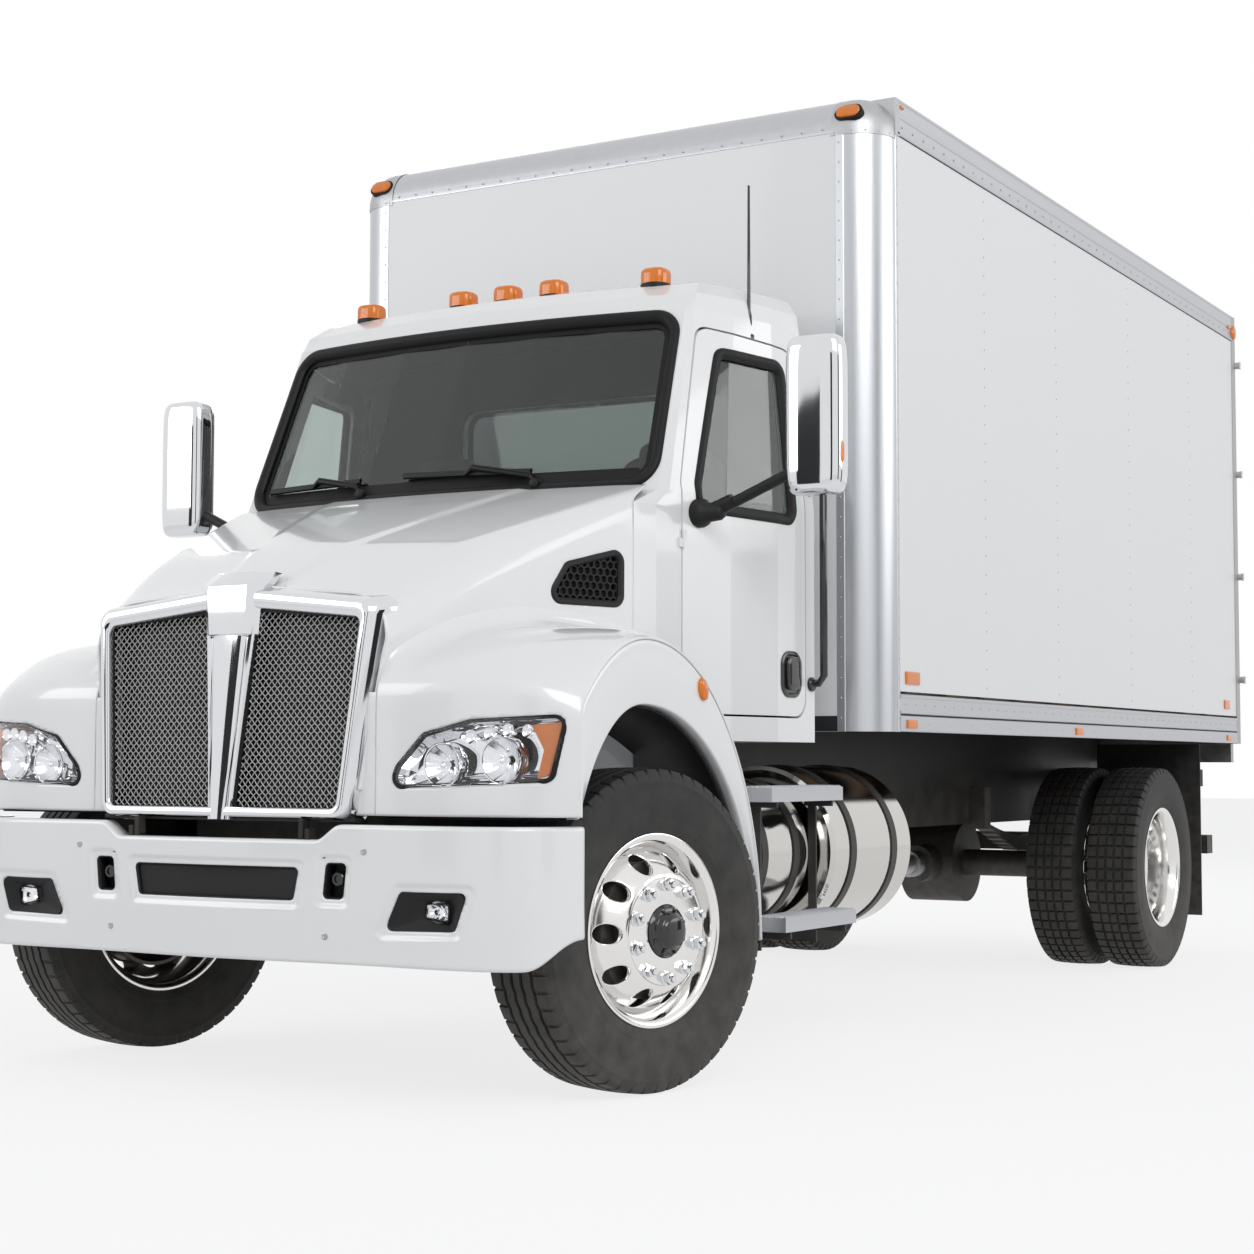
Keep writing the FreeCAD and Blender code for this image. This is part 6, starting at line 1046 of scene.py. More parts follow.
def mesh_wires():
    """Two families of wires at 45 degrees, each bent over and under the other at every
    crossing, cut to the outline of one screen."""
    outline = inset_polygon(SCREEN, -0.006)
    pitch, wires, steps = 0.0165, 66, 72
    shapes = []
    number = np.arange(wires)
    edges = np.stack([outline, np.roll(outline, -1, 0)], 1)
    for family, turn in enumerate((pi / 4, -pi / 4)):
        way = np.array([math.cos(turn), math.sin(turn)])
        side = np.array([-way[1], way[0]])
        across = outline @ side
        first = math.ceil(across.min() / pitch)
        level = (first + number) * pitch
        near = np.full(wires, 9.0)
        far = np.full(wires, -9.0)
        for start, end in edges:
            a, b = start @ side, end @ side
            hit = (level - a) / (b - a)
            along = start @ way + hit * ((end - start) @ way)
            crossing = (hit >= 0) & (hit <= 1)
            near = np.where(crossing, np.minimum(near, along), near)
            far = np.where(crossing, np.maximum(far, along), far)
        keep = far > near
        level, near, far, rank = level[keep], near[keep], far[keep], (first + number)[keep]
        start = np.ceil(near / pitch)
        place = (start[:, None] + np.arange(steps)) * pitch
        place = np.clip(place, near[:, None], far[:, None])
        sign = np.where((start[:, None] + np.arange(steps) + rank[:, None]) % 2 == 0, 1, -1)
        depth = -0.010 + 0.0019 * sign * (1 if family == 0 else -1)
        centre = (place[..., None] * way + level[:, None, None] * side)
        ring = np.array([(1, 0), (0, 1), (-1, 0), (0, -1)]) * 0.0017
        points = np.concatenate([centre[:, :, None] + ring[None, None, :, :1] * side,
                                 (depth[:, :, None] + ring[None, None, :, 1])[..., None]], -1)
        faces = repeated(sheet_faces(steps, 4, close_columns=True), len(level), steps * 4)
        shapes.append((points.reshape(-1, 3), faces))
    return mapped(together(*shapes), leaned)


def grille_screens():
    """Crossed wires of the grille's two openings with their rims, and a black plate behind them
    that is painted shade for the dark depth behind the grille.
    """
    one = mesh_wires()
    piece("grille_mesh", pair(one), galvanised, "hood", replaces=["hood_screens"], smooth=60)
    # Black plate behind the wires: painted shade standing in for the dark depth behind the
    # grille.
    shade_plate = plate(inset_polygon(SCREEN, -0.012), -0.060, -0.056)
    piece("grille_shade_plate", pair(mapped(shade_plate, leaned)), seal, "hood")
    edge = [(-0.006, -0.018), (-0.006, -0.005), (0.002, -0.005), (0.003, -0.018)]
    rim = outwards(mapped(moulding(SCREEN, 0.014, edge), leaned))
    piece("grille_mesh_edge", pair(rim), seal, "hood")


def vent():
    """Black honeycomb in a rounded frame on each side of the hood."""
    def on_side(points):
        y, z, proud = split_axes(points)
        return np.stack([hood_half_width(y, z) + proud, y, z], -1)
    frame_profile = [(-0.010, -0.014), (-0.010, 0.002), (-0.006, 0.006), (0.006, 0.006),
                     (0.012, 0.000), (0.012, -0.014)]
    rim = outwards(mapped(moulding(VENT, 0.030, frame_profile, 8), on_side))
    pitch = 0.030
    rows, columns = crossed(np.arange(9), np.arange(14))
    centre_y = VENT[:, 0].min() + pitch * (columns + 0.5 * (rows % 2)) * 0.9
    centre_z = 1.528 + pitch * 0.78 * rows + 0.010
    inside = inside_outline(inset_polygon(VENT, 0.004), centre_y, centre_z)
    centres = np.stack([centre_y[inside], centre_z[inside]], -1)
    a = np.arange(6) * pi / 3 + pi / 6
    cell = np.stack([np.cos(a), np.sin(a)], -1)
    rings = []
    for size, height in ((0.0162, -0.004), (0.0125, -0.004), (0.0118, -0.016),
                         (0.0162, -0.016)):
        rings.append(np.concatenate([centres[:, None] + cell * size,
                                     np.full((len(centres), 6, 1), height)], -1))
    cells = np.stack(rings, 1)
    faces = repeated(sheet_faces(4, 6, close_rows=True, close_columns=True), len(centres), 24)
    comb = outwards(mapped((cells.reshape(-1, 3), faces), on_side))
    back = mapped(plate(inset_polygon(VENT, -0.004), -0.030, -0.026), on_side)
    piece("hood_vents", pair(together(rim, comb, back)), black_plastic, "hood", smooth=30)


def on_fender(points):
    """From (across, height, proud) to the fender's swept front."""
    x, z, proud = split_axes(points)
    out = (x - 0.56) / 0.63
    lean = smooth_between(1.08, 1.20, z) * 0.010
    return np.stack([x, AXLE - 0.725 + 0.135 * out ** 3 - proud + lean, z], -1)


def dish(radius, depth, rings=12, sides=40, flutes=0.0):
    """Bowl opening towards the front: a parabola turned about its axis, with soft flutes."""
    r = np.linspace(0, 1, rings)[:, None] * radius
    a = np.linspace(0, 2 * pi, sides, endpoint=False)[None, :]
    sink = depth * (1 - (r / radius) ** 2) + flutes * np.cos(10 * a) * (r / radius)
    return surface(np.stack([r * np.cos(a), sink + 0 * a, r * np.sin(a)], -1),
                   close_columns=True)


def headlamps():
    """Clear lens over a bright housing with two round reflectors, an amber outer corner
    and a black seal round the outline."""
    seal_profile = [(-0.005, -0.012), (-0.005, 0.001), (-0.002, 0.004), (0.006, 0.004),
                    (0.009, 0.001), (0.009, -0.012)]
    lamp_round = 0.030
    rim = outwards(mapped(moulding(LAMP, lamp_round, seal_profile, 10), on_fender))
    piece("headlamp_seals", pair(rim), seal, "hood", smooth=50)
    across, up = crossed(np.linspace(0.606, 1.166, 141), np.linspace(0.932, 1.158, 58))
    outline = rounded(LAMP, lamp_round, 10)
    middle = outline.mean(0)
    reach = np.hypot(across - middle[0], (up - middle[1]) * 2.2)
    bulge = 0.002 + 0.010 * np.clip(1 - (reach / 0.30) ** 2, 0, 1)
    lens = surface(np.stack([across, up, bulge], -1))
    lens = without(lens, lambda at: ~inside_outline(outline, at[:, 0], at[:, 1]))
    lens = facing(mapped(lens, on_fender), (0.9, AXLE, 1.0))
    for label, shape in both_sides(lens):
        obj = piece(f"headlamp_lens_{label}", shape, clear_lens, "hood", smooth=0,
                    replaces=["headlamps"] if label == "left" else ())
        obj.data.polygons.foreach_set("use_smooth", np.ones(len(obj.data.polygons), bool))
        thick(obj, 0.003)
    walls = []
    for inset, depth in ((0.004, -0.004), (0.010, -0.030), (0.020, -0.050), (0.034, -0.060)):
        flat = rounded(inset_polygon(LAMP, inset), max(lamp_round - inset, 0.006), 10)
        walls.append(level_ring(flat, depth))
    wall = surface(np.array(walls), close_columns=True)
    floor = plate(walls[-1][:, :2], -0.066, -0.060)
    housing = mapped(together(wall, floor), on_fender)
    parts = [facing(housing, (0.85, AXLE + 2.0, 1.02))]
    for x, z, radius in ((0.787, 1.006, 0.060), (0.972, 1.020, 0.064)):
        bowl = dish(radius, 0.042, flutes=0.0015)
        at = on_fender(np.array([[x, z, -0.016]]))[0]
        parts.append(moved(bowl, None, at))
        rim = turned([(0.010, radius), (-0.002, radius + 0.001), (-0.004, radius + 0.004),
                      (0.000, radius + 0.007), (0.040, radius + 0.006)], 40)
        parts.append(moved(reordered(rim), None, at))
        bulb = turned([(0.034, 0.010), (0.006, 0.010), (0.001, 0.006), (0.0, 0.0001)], 16)
        parts.append(moved(reordered(bulb), None, at))
    small = dish(0.020, 0.012, 6, 20)
    for x, z in ((0.880, 1.086), (0.935, 1.098), (0.990, 1.106), (1.045, 1.104)):
        parts.append(moved(small, None, on_fender(np.array([[x, z, -0.020]]))[0]))
    piece("headlamp_bowls", pair(together(*parts)), reflector, "hood", smooth=45)
    corner = np.array([(1.075, 0.968), (1.108, 0.976), (1.146, 1.132), (1.058, 1.122),
                       (1.092, 1.050)])
    amber = mapped(plate(corner, -0.030, -0.010, 0.004), on_fender)
    piece("headlamp_corners", pair(amber), amber_lens, "hood")


FACE_SPLINE = np.array([(-1.186, 0.270), (-1.110, 0.118), (-0.640, 0.026), (0, 0),
                        (0.640, 0.026), (1.110, 0.118), (1.186, 0.270)])


def spline(knots, values, at):
    """Natural cubic curve through values at the knots."""
    knots, values = np.asarray(knots, float), np.asarray(values, float)
    gap = np.diff(knots)
    count = len(knots)
    system = np.eye(count)
    right = np.zeros(count)
    for i in range(1, count - 1):
        system[i, i - 1:i + 2] = gap[i - 1], 2 * (gap[i - 1] + gap[i]), gap[i]
        right[i] = 6 * ((values[i + 1] - values[i]) / gap[i]
                        - (values[i] - values[i - 1]) / gap[i - 1])
    bend = np.linalg.solve(system, right)
    i = np.clip(np.searchsorted(knots, at) - 1, 0, count - 2)
    a, b = knots[i + 1] - at, at - knots[i]
    return ((bend[i] * a ** 3 + bend[i + 1] * b ** 3) / (6 * gap[i])
            + (values[i] / gap[i] - bend[i] * gap[i] / 6) * a
            + (values[i + 1] / gap[i] - bend[i + 1] * gap[i] / 6) * b)


def bumper_plan(count):
    """Face of the bumper seen from above, with its outward direction."""
    chord = np.concatenate([[0], np.cumsum(np.hypot(*np.diff(FACE_SPLINE, axis=0).T))])
    at = np.linspace(0, chord[-1], count)
    plan = np.stack([spline(chord, FACE_SPLINE[:, 0], at),
                     spline(chord, FACE_SPLINE[:, 1], at)], -1)
    plan[:, 0] *= 0.99
    way = np.gradient(plan, axis=0)
    way /= np.linalg.norm(way, axis=1)[:, None]
    return plan, np.stack([way[:, 1], -way[:, 0]], -1)


PLAN, PLAN_OUT = bumper_plan(601)


def on_bumper(points):
    """From (across, height, proud) to the bumper's swept face."""
    x, z, proud = split_axes(points)
    y = np.interp(x, PLAN[:, 0], PLAN[:, 1])
    out_x = np.interp(x, PLAN[:, 0], PLAN_OUT[:, 0])
    out_y = np.interp(x, PLAN[:, 0], PLAN_OUT[:, 1])
    lean = -0.006 * smooth_between(0.62, 0.42, z)
    return np.stack([x + proud * out_x, NOSE + y + proud * out_y - lean + 0.0008, z], -1)


def mirrored_outline(outline):
    """Outline mirrored to the other side, in the same turn."""
    outline = np.asarray(outline)
    return (outline * (-1, 1))[::-1]


SLOT = np.array([(-0.309, 0.599), (0.309, 0.599), (0.330, 0.703), (-0.330, 0.703)])
TOW = np.array([(0.409, 0.607), (0.489, 0.607), (0.501, 0.719), (0.421, 0.719)])
FOG = np.array([(0.630, 0.521), (0.885, 0.527), (0.928, 0.643), (0.690, 0.641)])


def soft_edge(outline, at, inner, outer):
    """1 inside an outline, falling to 0 over the distance from inner to outer beyond it."""
    start, end = outline, np.roll(outline, -1, 0)
    nearest = np.full(at.shape[:-1], 9.0)
    for a, b in zip(start, end):
        share = np.clip(((at - a) @ (b - a)) / ((b - a) @ (b - a)), 0, 1)
        nearest = np.minimum(nearest, np.linalg.norm(at - a - share[..., None] * (b - a),
                                                     axis=-1))
    distance = np.where(inside_outline(outline, at[..., 0], at[..., 1]), -nearest, nearest)
    return smooth_between(outer, inner, distance)


def bumper():
    """Swept face with rolled top and bottom edges, rounded lower corners, a lower middle
    and a soft dish round each opening."""
    plan_x, plan_out = PLAN[::2, 0], PLAN_OUT[::2]
    share = np.linspace(0, 1, 66)
    roll = np.array([(0.045, 0.422), (0.020, 0.418), (0.006, 0.4195), (0.0015, 0.424)])
    face = np.stack([np.zeros(66), 0.430 + 0.388 * share], -1)
    top = np.array([(0.0015, 0.824), (0.006, 0.8285), (0.020, 0.830), (0.050, 0.830)])
    profile = np.concatenate([roll, face, top])
    x = np.broadcast_to(plan_x, (len(profile), len(plan_x))).copy()
    z = np.broadcast_to(profile[:, 1:], x.shape).copy()
    dip = 0.046 * smooth_between(0.475, 0.385, np.abs(x))
    z -= dip * smooth_between(0.64, 0.82, z)
    wing = smooth_between(1.06, 1.174, np.abs(x))
    z += 0.085 * wing ** 2 * smooth_between(0.66, 0.42, z)
    proud = np.zeros_like(x)
    at = np.stack([x, z], -1)
    openings = SLOT, TOW, mirrored_outline(TOW), FOG, mirrored_outline(FOG)
    for outline in openings:
        proud -= 0.008 * soft_edge(outline, at, 0.008, 0.026)
    points = on_bumper(np.stack([x, z, proud], -1))
    inset = np.broadcast_to(profile[:, :1], x.shape)
    points[..., 0] -= inset * plan_out[None, :, 0]
    points[..., 1] -= inset * plan_out[None, :, 1]
    shape = surface(points)
    for outline in openings:
        hole = rounded(inset_polygon(outline, 0.002), 0.016, 8)
        shape = opened(shape, hole, (0, 2), lambda at: at[:, 1] < NOSE + 0.3)
    shape = facing(shape, (0, NOSE + 0.6, 0.62))
    thick(piece("bumper_sheet", shape, paint, "chassis", replaces=["bumper"]), 0.004)


def tray(outline, depth, radius=0.016):
    """Black lining of an opening: a rim behind its edge, walls and a floor."""
    profile = [(-0.005, -0.010), (-0.002, -0.0085), (0.004, -0.009), (0.007, -0.012),
               (0.009, -depth)]
    wall = moulding(outline, radius, profile, 6, closed=False)
    floor = plate(rounded(inset_polygon(outline, 0.006), radius / 2, 6), -depth - 0.004,
                  -depth + 0.001)
    return together(facing_back(wall), floor)


def facing_back(shape):
    """Open ring with its inner faces turned to its own middle and forwards."""
    points, faces = shape
    middle = points.mean(0) - (0, 0, -0.5)
    points, groups = facing((points, faces), middle)
    return points, [group[:, ::-1] for group in groups]


def bumper_openings():
    """Trays of the slot, tow and fog openings, the fog lamps, plugs and screws."""
    trays = [tray(SLOT, 0.020), tray(TOW, 0.055), mirror_of(tray(TOW, 0.055))]
    centre, radius = np.array([0.812, 0.583]), 0.047
    rim = rounded(inset_polygon(FOG, 0.002), 0.022, 12)
    angle = np.arctan2(rim[:, 1] - centre[1], rim[:, 0] - centre[0])
    circle = centre + radius * np.stack([np.cos(angle), np.sin(angle)], -1)
    rows = []
    for share, depth in ((0, -0.010), (0.03, -0.0065), (0.10, -0.008), (0.6, -0.026),
                         (0.95, -0.034), (1.0, -0.030), (1.0, -0.026)):
        flat = rim + (circle - rim) * share
        rows.append(level_ring(flat, depth))
    lip = centre + (circle - centre) * 0.92
    rows.append(level_ring(lip, -0.024))
    rows.append(level_ring(lip, -0.070))
    bezel = facing_back(surface(np.array(rows), close_columns=True))
    trays += [bezel, mirror_of(bezel)]
    shape = mapped(together(*trays), on_bumper)
    obj = piece("bumper_linings", shape, black_plastic, "chassis",
                replaces=["bumper_pockets"], smooth=45)
    thick(obj, 0.002)
    at = on_bumper(np.array([[centre[0], centre[1], -0.034]]))[0]
    bowl = moved(dish(0.043, 0.030, flutes=0.001), None, at)
    piece("fog_lamp_bowls", pair(bowl), reflector, "chassis", smooth=45)
    lens = turned([(0.012, 0.0425), (0.004, 0.0425), (0.000, 0.040), (-0.004, 0.030),
                   (-0.006, 0.015), (-0.0065, 0.0001)], 40)
    lens = reordered(lens)
    lens = facing(moved(lens, None, at), at + (0, 0.03, 0))
    thick(piece("fog_lamp_lenses", pair(lens), clear_lens, "chassis", smooth=60), 0.002)
    plug = turned([(0.030, 0.022), (-0.004, 0.022), (-0.007, 0.019), (-0.007, 0.012),
                   (-0.002, 0.010), (-0.002, 0.0001)], 24)
    plug = reordered(plug)
    spots = on_bumper(np.array([[0.455, 0.668, -0.030]]))[0]
    plug = facing(moved(plug, None, spots), spots + (0, 0.02, 0))
    piece("tow_plugs", pair(plug), gloss_black, "chassis")
    screw = turned([(0.004, 0.011), (-0.001, 0.011), (-0.002, 0.009), (-0.002, 0.006),
                    (-0.0005, 0.0045), (-0.0005, 0.0001)], 20)
    screw = reordered(screw)
    spots = on_bumper(np.array([[0.565, 0.752, 0.0], [0.425, 0.500, 0.0]]))
    screws = copies(screw, [np.eye(3)], spots)
    piece("bumper_screws", pair(screws), galvanised, "chassis")


hood()
grille_surround()
grille_screens()
vent()
headlamps()
bumper()
bumper_openings()


# Cab: seals, lining, handles, mirrors, wipers, lamps and seats.
BELT, WINDOW_FOOT = 1.963, 1.880
WINDOW_FRONT, DOOR_FRONT = 0.565, 0.487
WINDOW = np.array([(WINDOW_FRONT, WINDOW_FOOT), (1.110, WINDOW_FOOT), (1.110, 2.450),
                   (0.755, 2.452), (WINDOW_FRONT, BELT)])
DOOR = np.array([(DOOR_FRONT, 1.182), (1.188, 1.182), (1.188, 2.528), (0.677, 2.530),
                 (DOOR_FRONT, BELT)])
SCREEN_EDGE = np.array([(-0.854, BELT), (0.854, BELT), (0.811, 2.563), (-0.811, 2.563)])
REAR_WINDOW = np.array([(-0.48, WINDOW_FOOT), (0.48, WINDOW_FOOT), (0.48, 2.407),
                        (-0.48, 2.407)])


def cab_side(behind, z):
    """Half width of the cab behind the front axle at a height: between the door's front
    edge and the rear it bows out, and it narrows above the belt."""
    up = np.clip((z - 1.929) / 0.668, 0, 1)
    share = (behind - DOOR_FRONT - 0.19 * up) / (0.785 - 0.19 * up)
    out = np.interp(share, [0, 0.3, 0.65, 1], [0, 0.5, 0.85, 1])
    return 0.927 + 0.121 * out - 0.060 * up


def on_cab_side(points):
    """From (behind the axle, height, proud) to the cab's left side."""
    behind, z, proud = split_axes(points)
    return np.stack([cab_side(behind, z) + proud, AXLE + behind, z], -1)


def on_screen(points):
    """From (across, height, proud) to the raked and bowed windshield."""
    x, z, proud = split_axes(points)
    rake = 0.4033
    half = 0.888 - 0.043 * (z - BELT) / 0.6
    y = AXLE + 0.306 + (z - BELT) * rake + 0.092 * (x / half) ** 2
    lean = math.atan(rake)
    return np.stack([x, y - proud * math.cos(lean), z + proud * math.sin(lean)], -1)


def banded(outline, radius, profile, place, steps=8, between=24):
    """Moulding round an outline with its straight runs divided, laid on a curved wall."""
    rings = []
    for inset, height in profile:
        flat = rounded(inset_polygon(outline, inset), max(radius - inset, 0.004), steps)
        after = np.roll(flat, -1, 0)
        share = np.linspace(0, 1, between, endpoint=False)[None, :, None]
        long_run = np.linalg.norm(after - flat, axis=1) > 0.05
        parts = [flat[i][None] + (after[i] - flat[i])[None] * share[0] if long_run[i]
                 else flat[i][None] for i in range(len(flat))]
        flat = np.concatenate(parts)
        rings.append(level_ring(flat, height))
    return outwards(mapped(surface(np.array(rings), True, True), place))


def window_seals():
    """Rubber round the windshield, both door windows and the rear window."""
    front = [(-0.030, -0.006), (-0.030, 0.004), (-0.024, 0.011), (-0.012, 0.013),
             (-0.002, 0.010), (0.004, 0.002), (0.010, -0.004), (0.010, -0.040)]
    screen = banded(SCREEN_EDGE, 0.075, front, on_screen, 10)
    band = banded(SCREEN_EDGE, 0.075, [(0.006, -0.0155), (0.006, -0.0140),
                                       (0.030, -0.0140), (0.030, -0.0155)], on_screen, 10)
    low = np.linspace(-1, 1, 60)
    rows = np.stack([np.stack([low * 0.80, np.full(60, z), np.full(60, -0.0138)], -1)
                     for z in (1.966, 1.990, 2.016)])
    strip = facing(mapped(surface(rows), on_screen), (0, AXLE + 1.0, 2.2))
    piece("windshield_seal", together(screen, band, strip), seal, "chassis", smooth=50)
    side = [(-0.016, -0.004), (-0.016, 0.003), (-0.011, 0.007), (0.004, 0.007),
            (0.012, 0.003), (0.024, -0.004), (0.026, -0.013), (0.000, -0.030)]
    ring = banded(WINDOW, 0.045, side, on_cab_side)
    for label, shape in both_sides(ring):
        piece(f"window_seal_{label}", shape, seal, f"door_{label}", smooth=50)
    rear = [(-0.020, -0.002), (-0.020, 0.008), (-0.006, 0.012), (0.012, 0.004),
            (0.016, -0.012), (-0.004, -0.020)]
    def behind(points):
        x, z, proud = split_axes(points)
        return np.stack([x, AXLE + 1.272 + proud, z], -1)
    piece("rear_window_seal", banded(REAR_WINDOW, 0.068, rear, behind), seal, "chassis")


def cab_linings():
    """Dark inner skin: the rear wall with its window, the headliner, the windshield's
    inner frame and a panel with a window in each door."""
    x, z = crossed(np.linspace(-0.985, 0.985, 90), np.linspace(1.165, 2.655, 70))
    rear = surface(np.stack([x * (1 - 0.055 * smooth_between(1.9, 2.6, z)),
                             np.full_like(x, AXLE + 1.217), z], -1))
    hole = rounded(REAR_WINDOW, 0.068, 8)
    rear = facing(opened(rear, hole, (0, 2)), (0, AXLE + 9, 2))
    behind, turn = crossed(np.linspace(0.720, 1.217, 30), np.linspace(-1, 1, 41))
    wide = np.minimum(cab_side(behind, 2.55) - 0.052, 0.72 + 0.9 * (behind - 0.72))
    roof = surface(np.stack([wide * np.sin(turn * pi / 2), AXLE + behind,
                             2.505 + 0.125 * np.cos(turn * pi / 2) ** 0.45], -1))
    roof = facing(roof, (0, AXLE + 0.9, 9))
    corner = surface(np.stack([np.stack([np.full(2, cab_side(1.20, h) - 0.050),
                                         AXLE + np.array([1.190, 1.217]), np.full(2, h)], -1)
                               for h in np.linspace(1.165, 2.62, 20)]))
    corner = facing(corner, (9, AXLE + 1.2, 2))
    frame_ring = banded(SCREEN_EDGE, 0.075, [(0.002, -0.022), (-0.004, -0.048),
                                             (-0.022, -0.053), (-0.022, -0.047),
                                             (-0.008, -0.040)], on_screen, 10)
    skin = piece("cab_lining", together(rear, roof, pair(corner)), trim_grey, "chassis")
    thick(skin, -0.002)
    piece("windshield_lining", frame_ring, trim_grey, "chassis")
    behind, z = crossed(np.linspace(0.495, 1.180, 110), np.linspace(1.190, 2.522, 190))
    door = surface(np.stack([cab_side(behind, z) - 0.049
                             - 0.030 * soft_edge(np.array([(0.60, 1.30), (1.08, 1.30),
                                                           (1.08, 1.72), (0.60, 1.72)]),
                                                 np.stack([behind, z], -1), 0.0, 0.05),
                             AXLE + behind, z], -1))
    shift = np.array([AXLE, 0])
    door = opened(door, rounded(inset_polygon(DOOR, 0.012), 0.055, 8) + shift, (1, 2),
                  inside=False)
    door = opened(door, rounded(WINDOW, 0.040, 8) + shift, (1, 2))
    door = facing(door, (9, AXLE + 0.8, 1.8))
    for label, shape in both_sides(door):
        thick(piece(f"door_lining_{label}", shape, trim_grey, f"door_{label}"), -0.002)


def round_box(centre, size, power_up, power_round, turn=(0, 2 * pi), rows=40, columns=64):
    """Rounded box: cosine and sine of height and turn raised to small powers."""
    up, around = crossed(np.linspace(-pi / 2, pi / 2, rows), np.linspace(*turn, columns))
    def power(value, exponent):
        return np.sign(value) * np.abs(value) ** exponent
    points = np.stack([power(np.cos(up), power_up) * power(np.cos(around), power_round),
                       power(np.cos(up), power_up) * power(np.sin(around), power_round),
                       power(np.sin(up), power_up)], -1)
    return surface(points * size + centre)


def mirrors():
    """Bright bowed shell facing forward, black rear housing with its glass, a tube arm
    and its foot on the door."""
    centre = np.array([1.376, AXLE + 0.598, 2.1685])
    front = round_box(centre, (0.1025, 0.056, 0.2665), 0.26, 0.52, (pi - 0.2, 2 * pi + 0.2))
    front = facing(front, centre)
    rear = round_box(centre + (0, 0.004, 0), (0.1005, 0.050, 0.2640), 0.24, 0.40,
                     (-0.12, pi + 0.12))
    rear = facing(rear, centre)
    glass = plate(rounded([(1.290, 1.925), (1.462, 1.925), (1.462, 2.410), (1.290, 2.410)],
                          0.030, 6), 0, 0.003)
    glass = (np.stack([glass[0][:, 0], AXLE + 0.6515 + glass[0][:, 2], glass[0][:, 1]], -1),
             [group[:, ::-1] for group in glass[1]])
    behind, height = WINDOW_FRONT, 1.862
    foot = np.array([0.905, AXLE + behind, height])
    out = foot + (0.085, 0, 0.004)
    arm = tube(np.array([out, out + (0.05, 0.004, 0.010), (1.300, AXLE + 0.600, 1.992),
                         (1.345, AXLE + 0.602, 2.010)]), 0.019, 20)
    collar = tube(np.array([out - (0.006, 0, 0.002), out + (0.085, 0.008, 0.033)]), 0.025, 24)
    boss = turned([(-0.010, 0.0001), (-0.010, 0.050), (0.020, 0.050), (0.034, 0.044),
                   (0.048, 0.032), (0.090, 0.028), (0.104, 0.018), (0.107, 0.0001)], 36)
    boss = moved(boss, None, (cab_side(behind, height) - 0.006, AXLE + behind, height))
    boss = facing(boss, (0.96, AXLE + behind, height))
    for label, turn in (("left", lambda shape: shape), ("right", mirror_of)):
        body = f"door_{label}"
        piece(f"mirror_shell_{label}", turn(front), chrome, body,
              replaces=[f"mirror_{label}"], smooth=60)
        piece(f"mirror_back_{label}", turn(rear), gloss_black, body, smooth=60)
        piece(f"mirror_glass_{label}", turn(glass), chrome, body)
        piece(f"mirror_arm_{label}", turn(together(arm, collar, boss)), black_plastic, body,
              smooth=50)
    at = (1.461, AXLE + 0.583, 2.040)
    lens = round_box(at, (0.018, 0.022, 0.052), 0.5, 0.7, rows=16, columns=24)
    piece("mirror_lamp", pair(facing(lens, at)), amber_lens, "door_left")


def handles():
    """Recessed door handle in a black oval and the grab tube behind each door."""
    outline = np.array([(1.018, 1.250), (1.156, 1.250), (1.156, 1.412), (1.018, 1.412)])
    rim_profile = [(-0.002, -0.002), (-0.002, 0.004), (0.003, 0.007), (0.010, 0.007),
                   (0.014, 0.003), (0.016, -0.002)]
    rim = banded(outline, 0.050, rim_profile, on_cab_side, 8, 3)
    floor = mapped(plate(rounded(inset_polygon(outline, 0.012), 0.040, 8), -0.003, 0.0015),
                   on_cab_side)
    middle = (1.092, 1.335, 0.006)
    paddle = round_box(middle, (0.046, 0.060, 0.011), 0.5, 0.5, rows=14, columns=28)
    paddle = facing(mapped(paddle, on_cab_side), on_cab_side([middle])[0])
    for label, shape in both_sides(together(rim, floor, paddle)):
        piece(f"door_handle_{label}", shape, gloss_black, f"door_{label}")
    y = AXLE + 1.230
    path = np.array([(1.000, y, 2.010), (1.080, y, 2.010), (1.098, y, 1.990),
                     (1.098, y, 1.330), (1.080, y, 1.305), (1.000, y, 1.300)])
    bar = tube(path, 0.0145, 20)
    foot = turned([(0, 0.0001), (0, 0.026), (0.014, 0.026), (0.020, 0.020), (0.020, 0.0001)],
                  24)
    feet = copies(foot, [np.eye(3)], np.array([(1.028, y, 2.010), (1.040, y, 1.300)]))
    base = turned([(0, 0.0001), (0, 0.020), (0.012, 0.020), (0.020, 0.013), (0.085, 0.011),
                   (0.105, 0.0065), (0.556, 0.0045), (0.560, 0.0001)], 20)
    base = reordered(base, (2, 1, 0))
    base = facing(moved(base, None, (0.938, AXLE + 0.954, 2.527)), (0.938, AXLE + 0.954, 2.8))
    piece("grab_tubes_antenna", together(pair(bar), pair(feet), base), gloss_black,
          "chassis", replaces=["cab_fittings"], smooth=50)


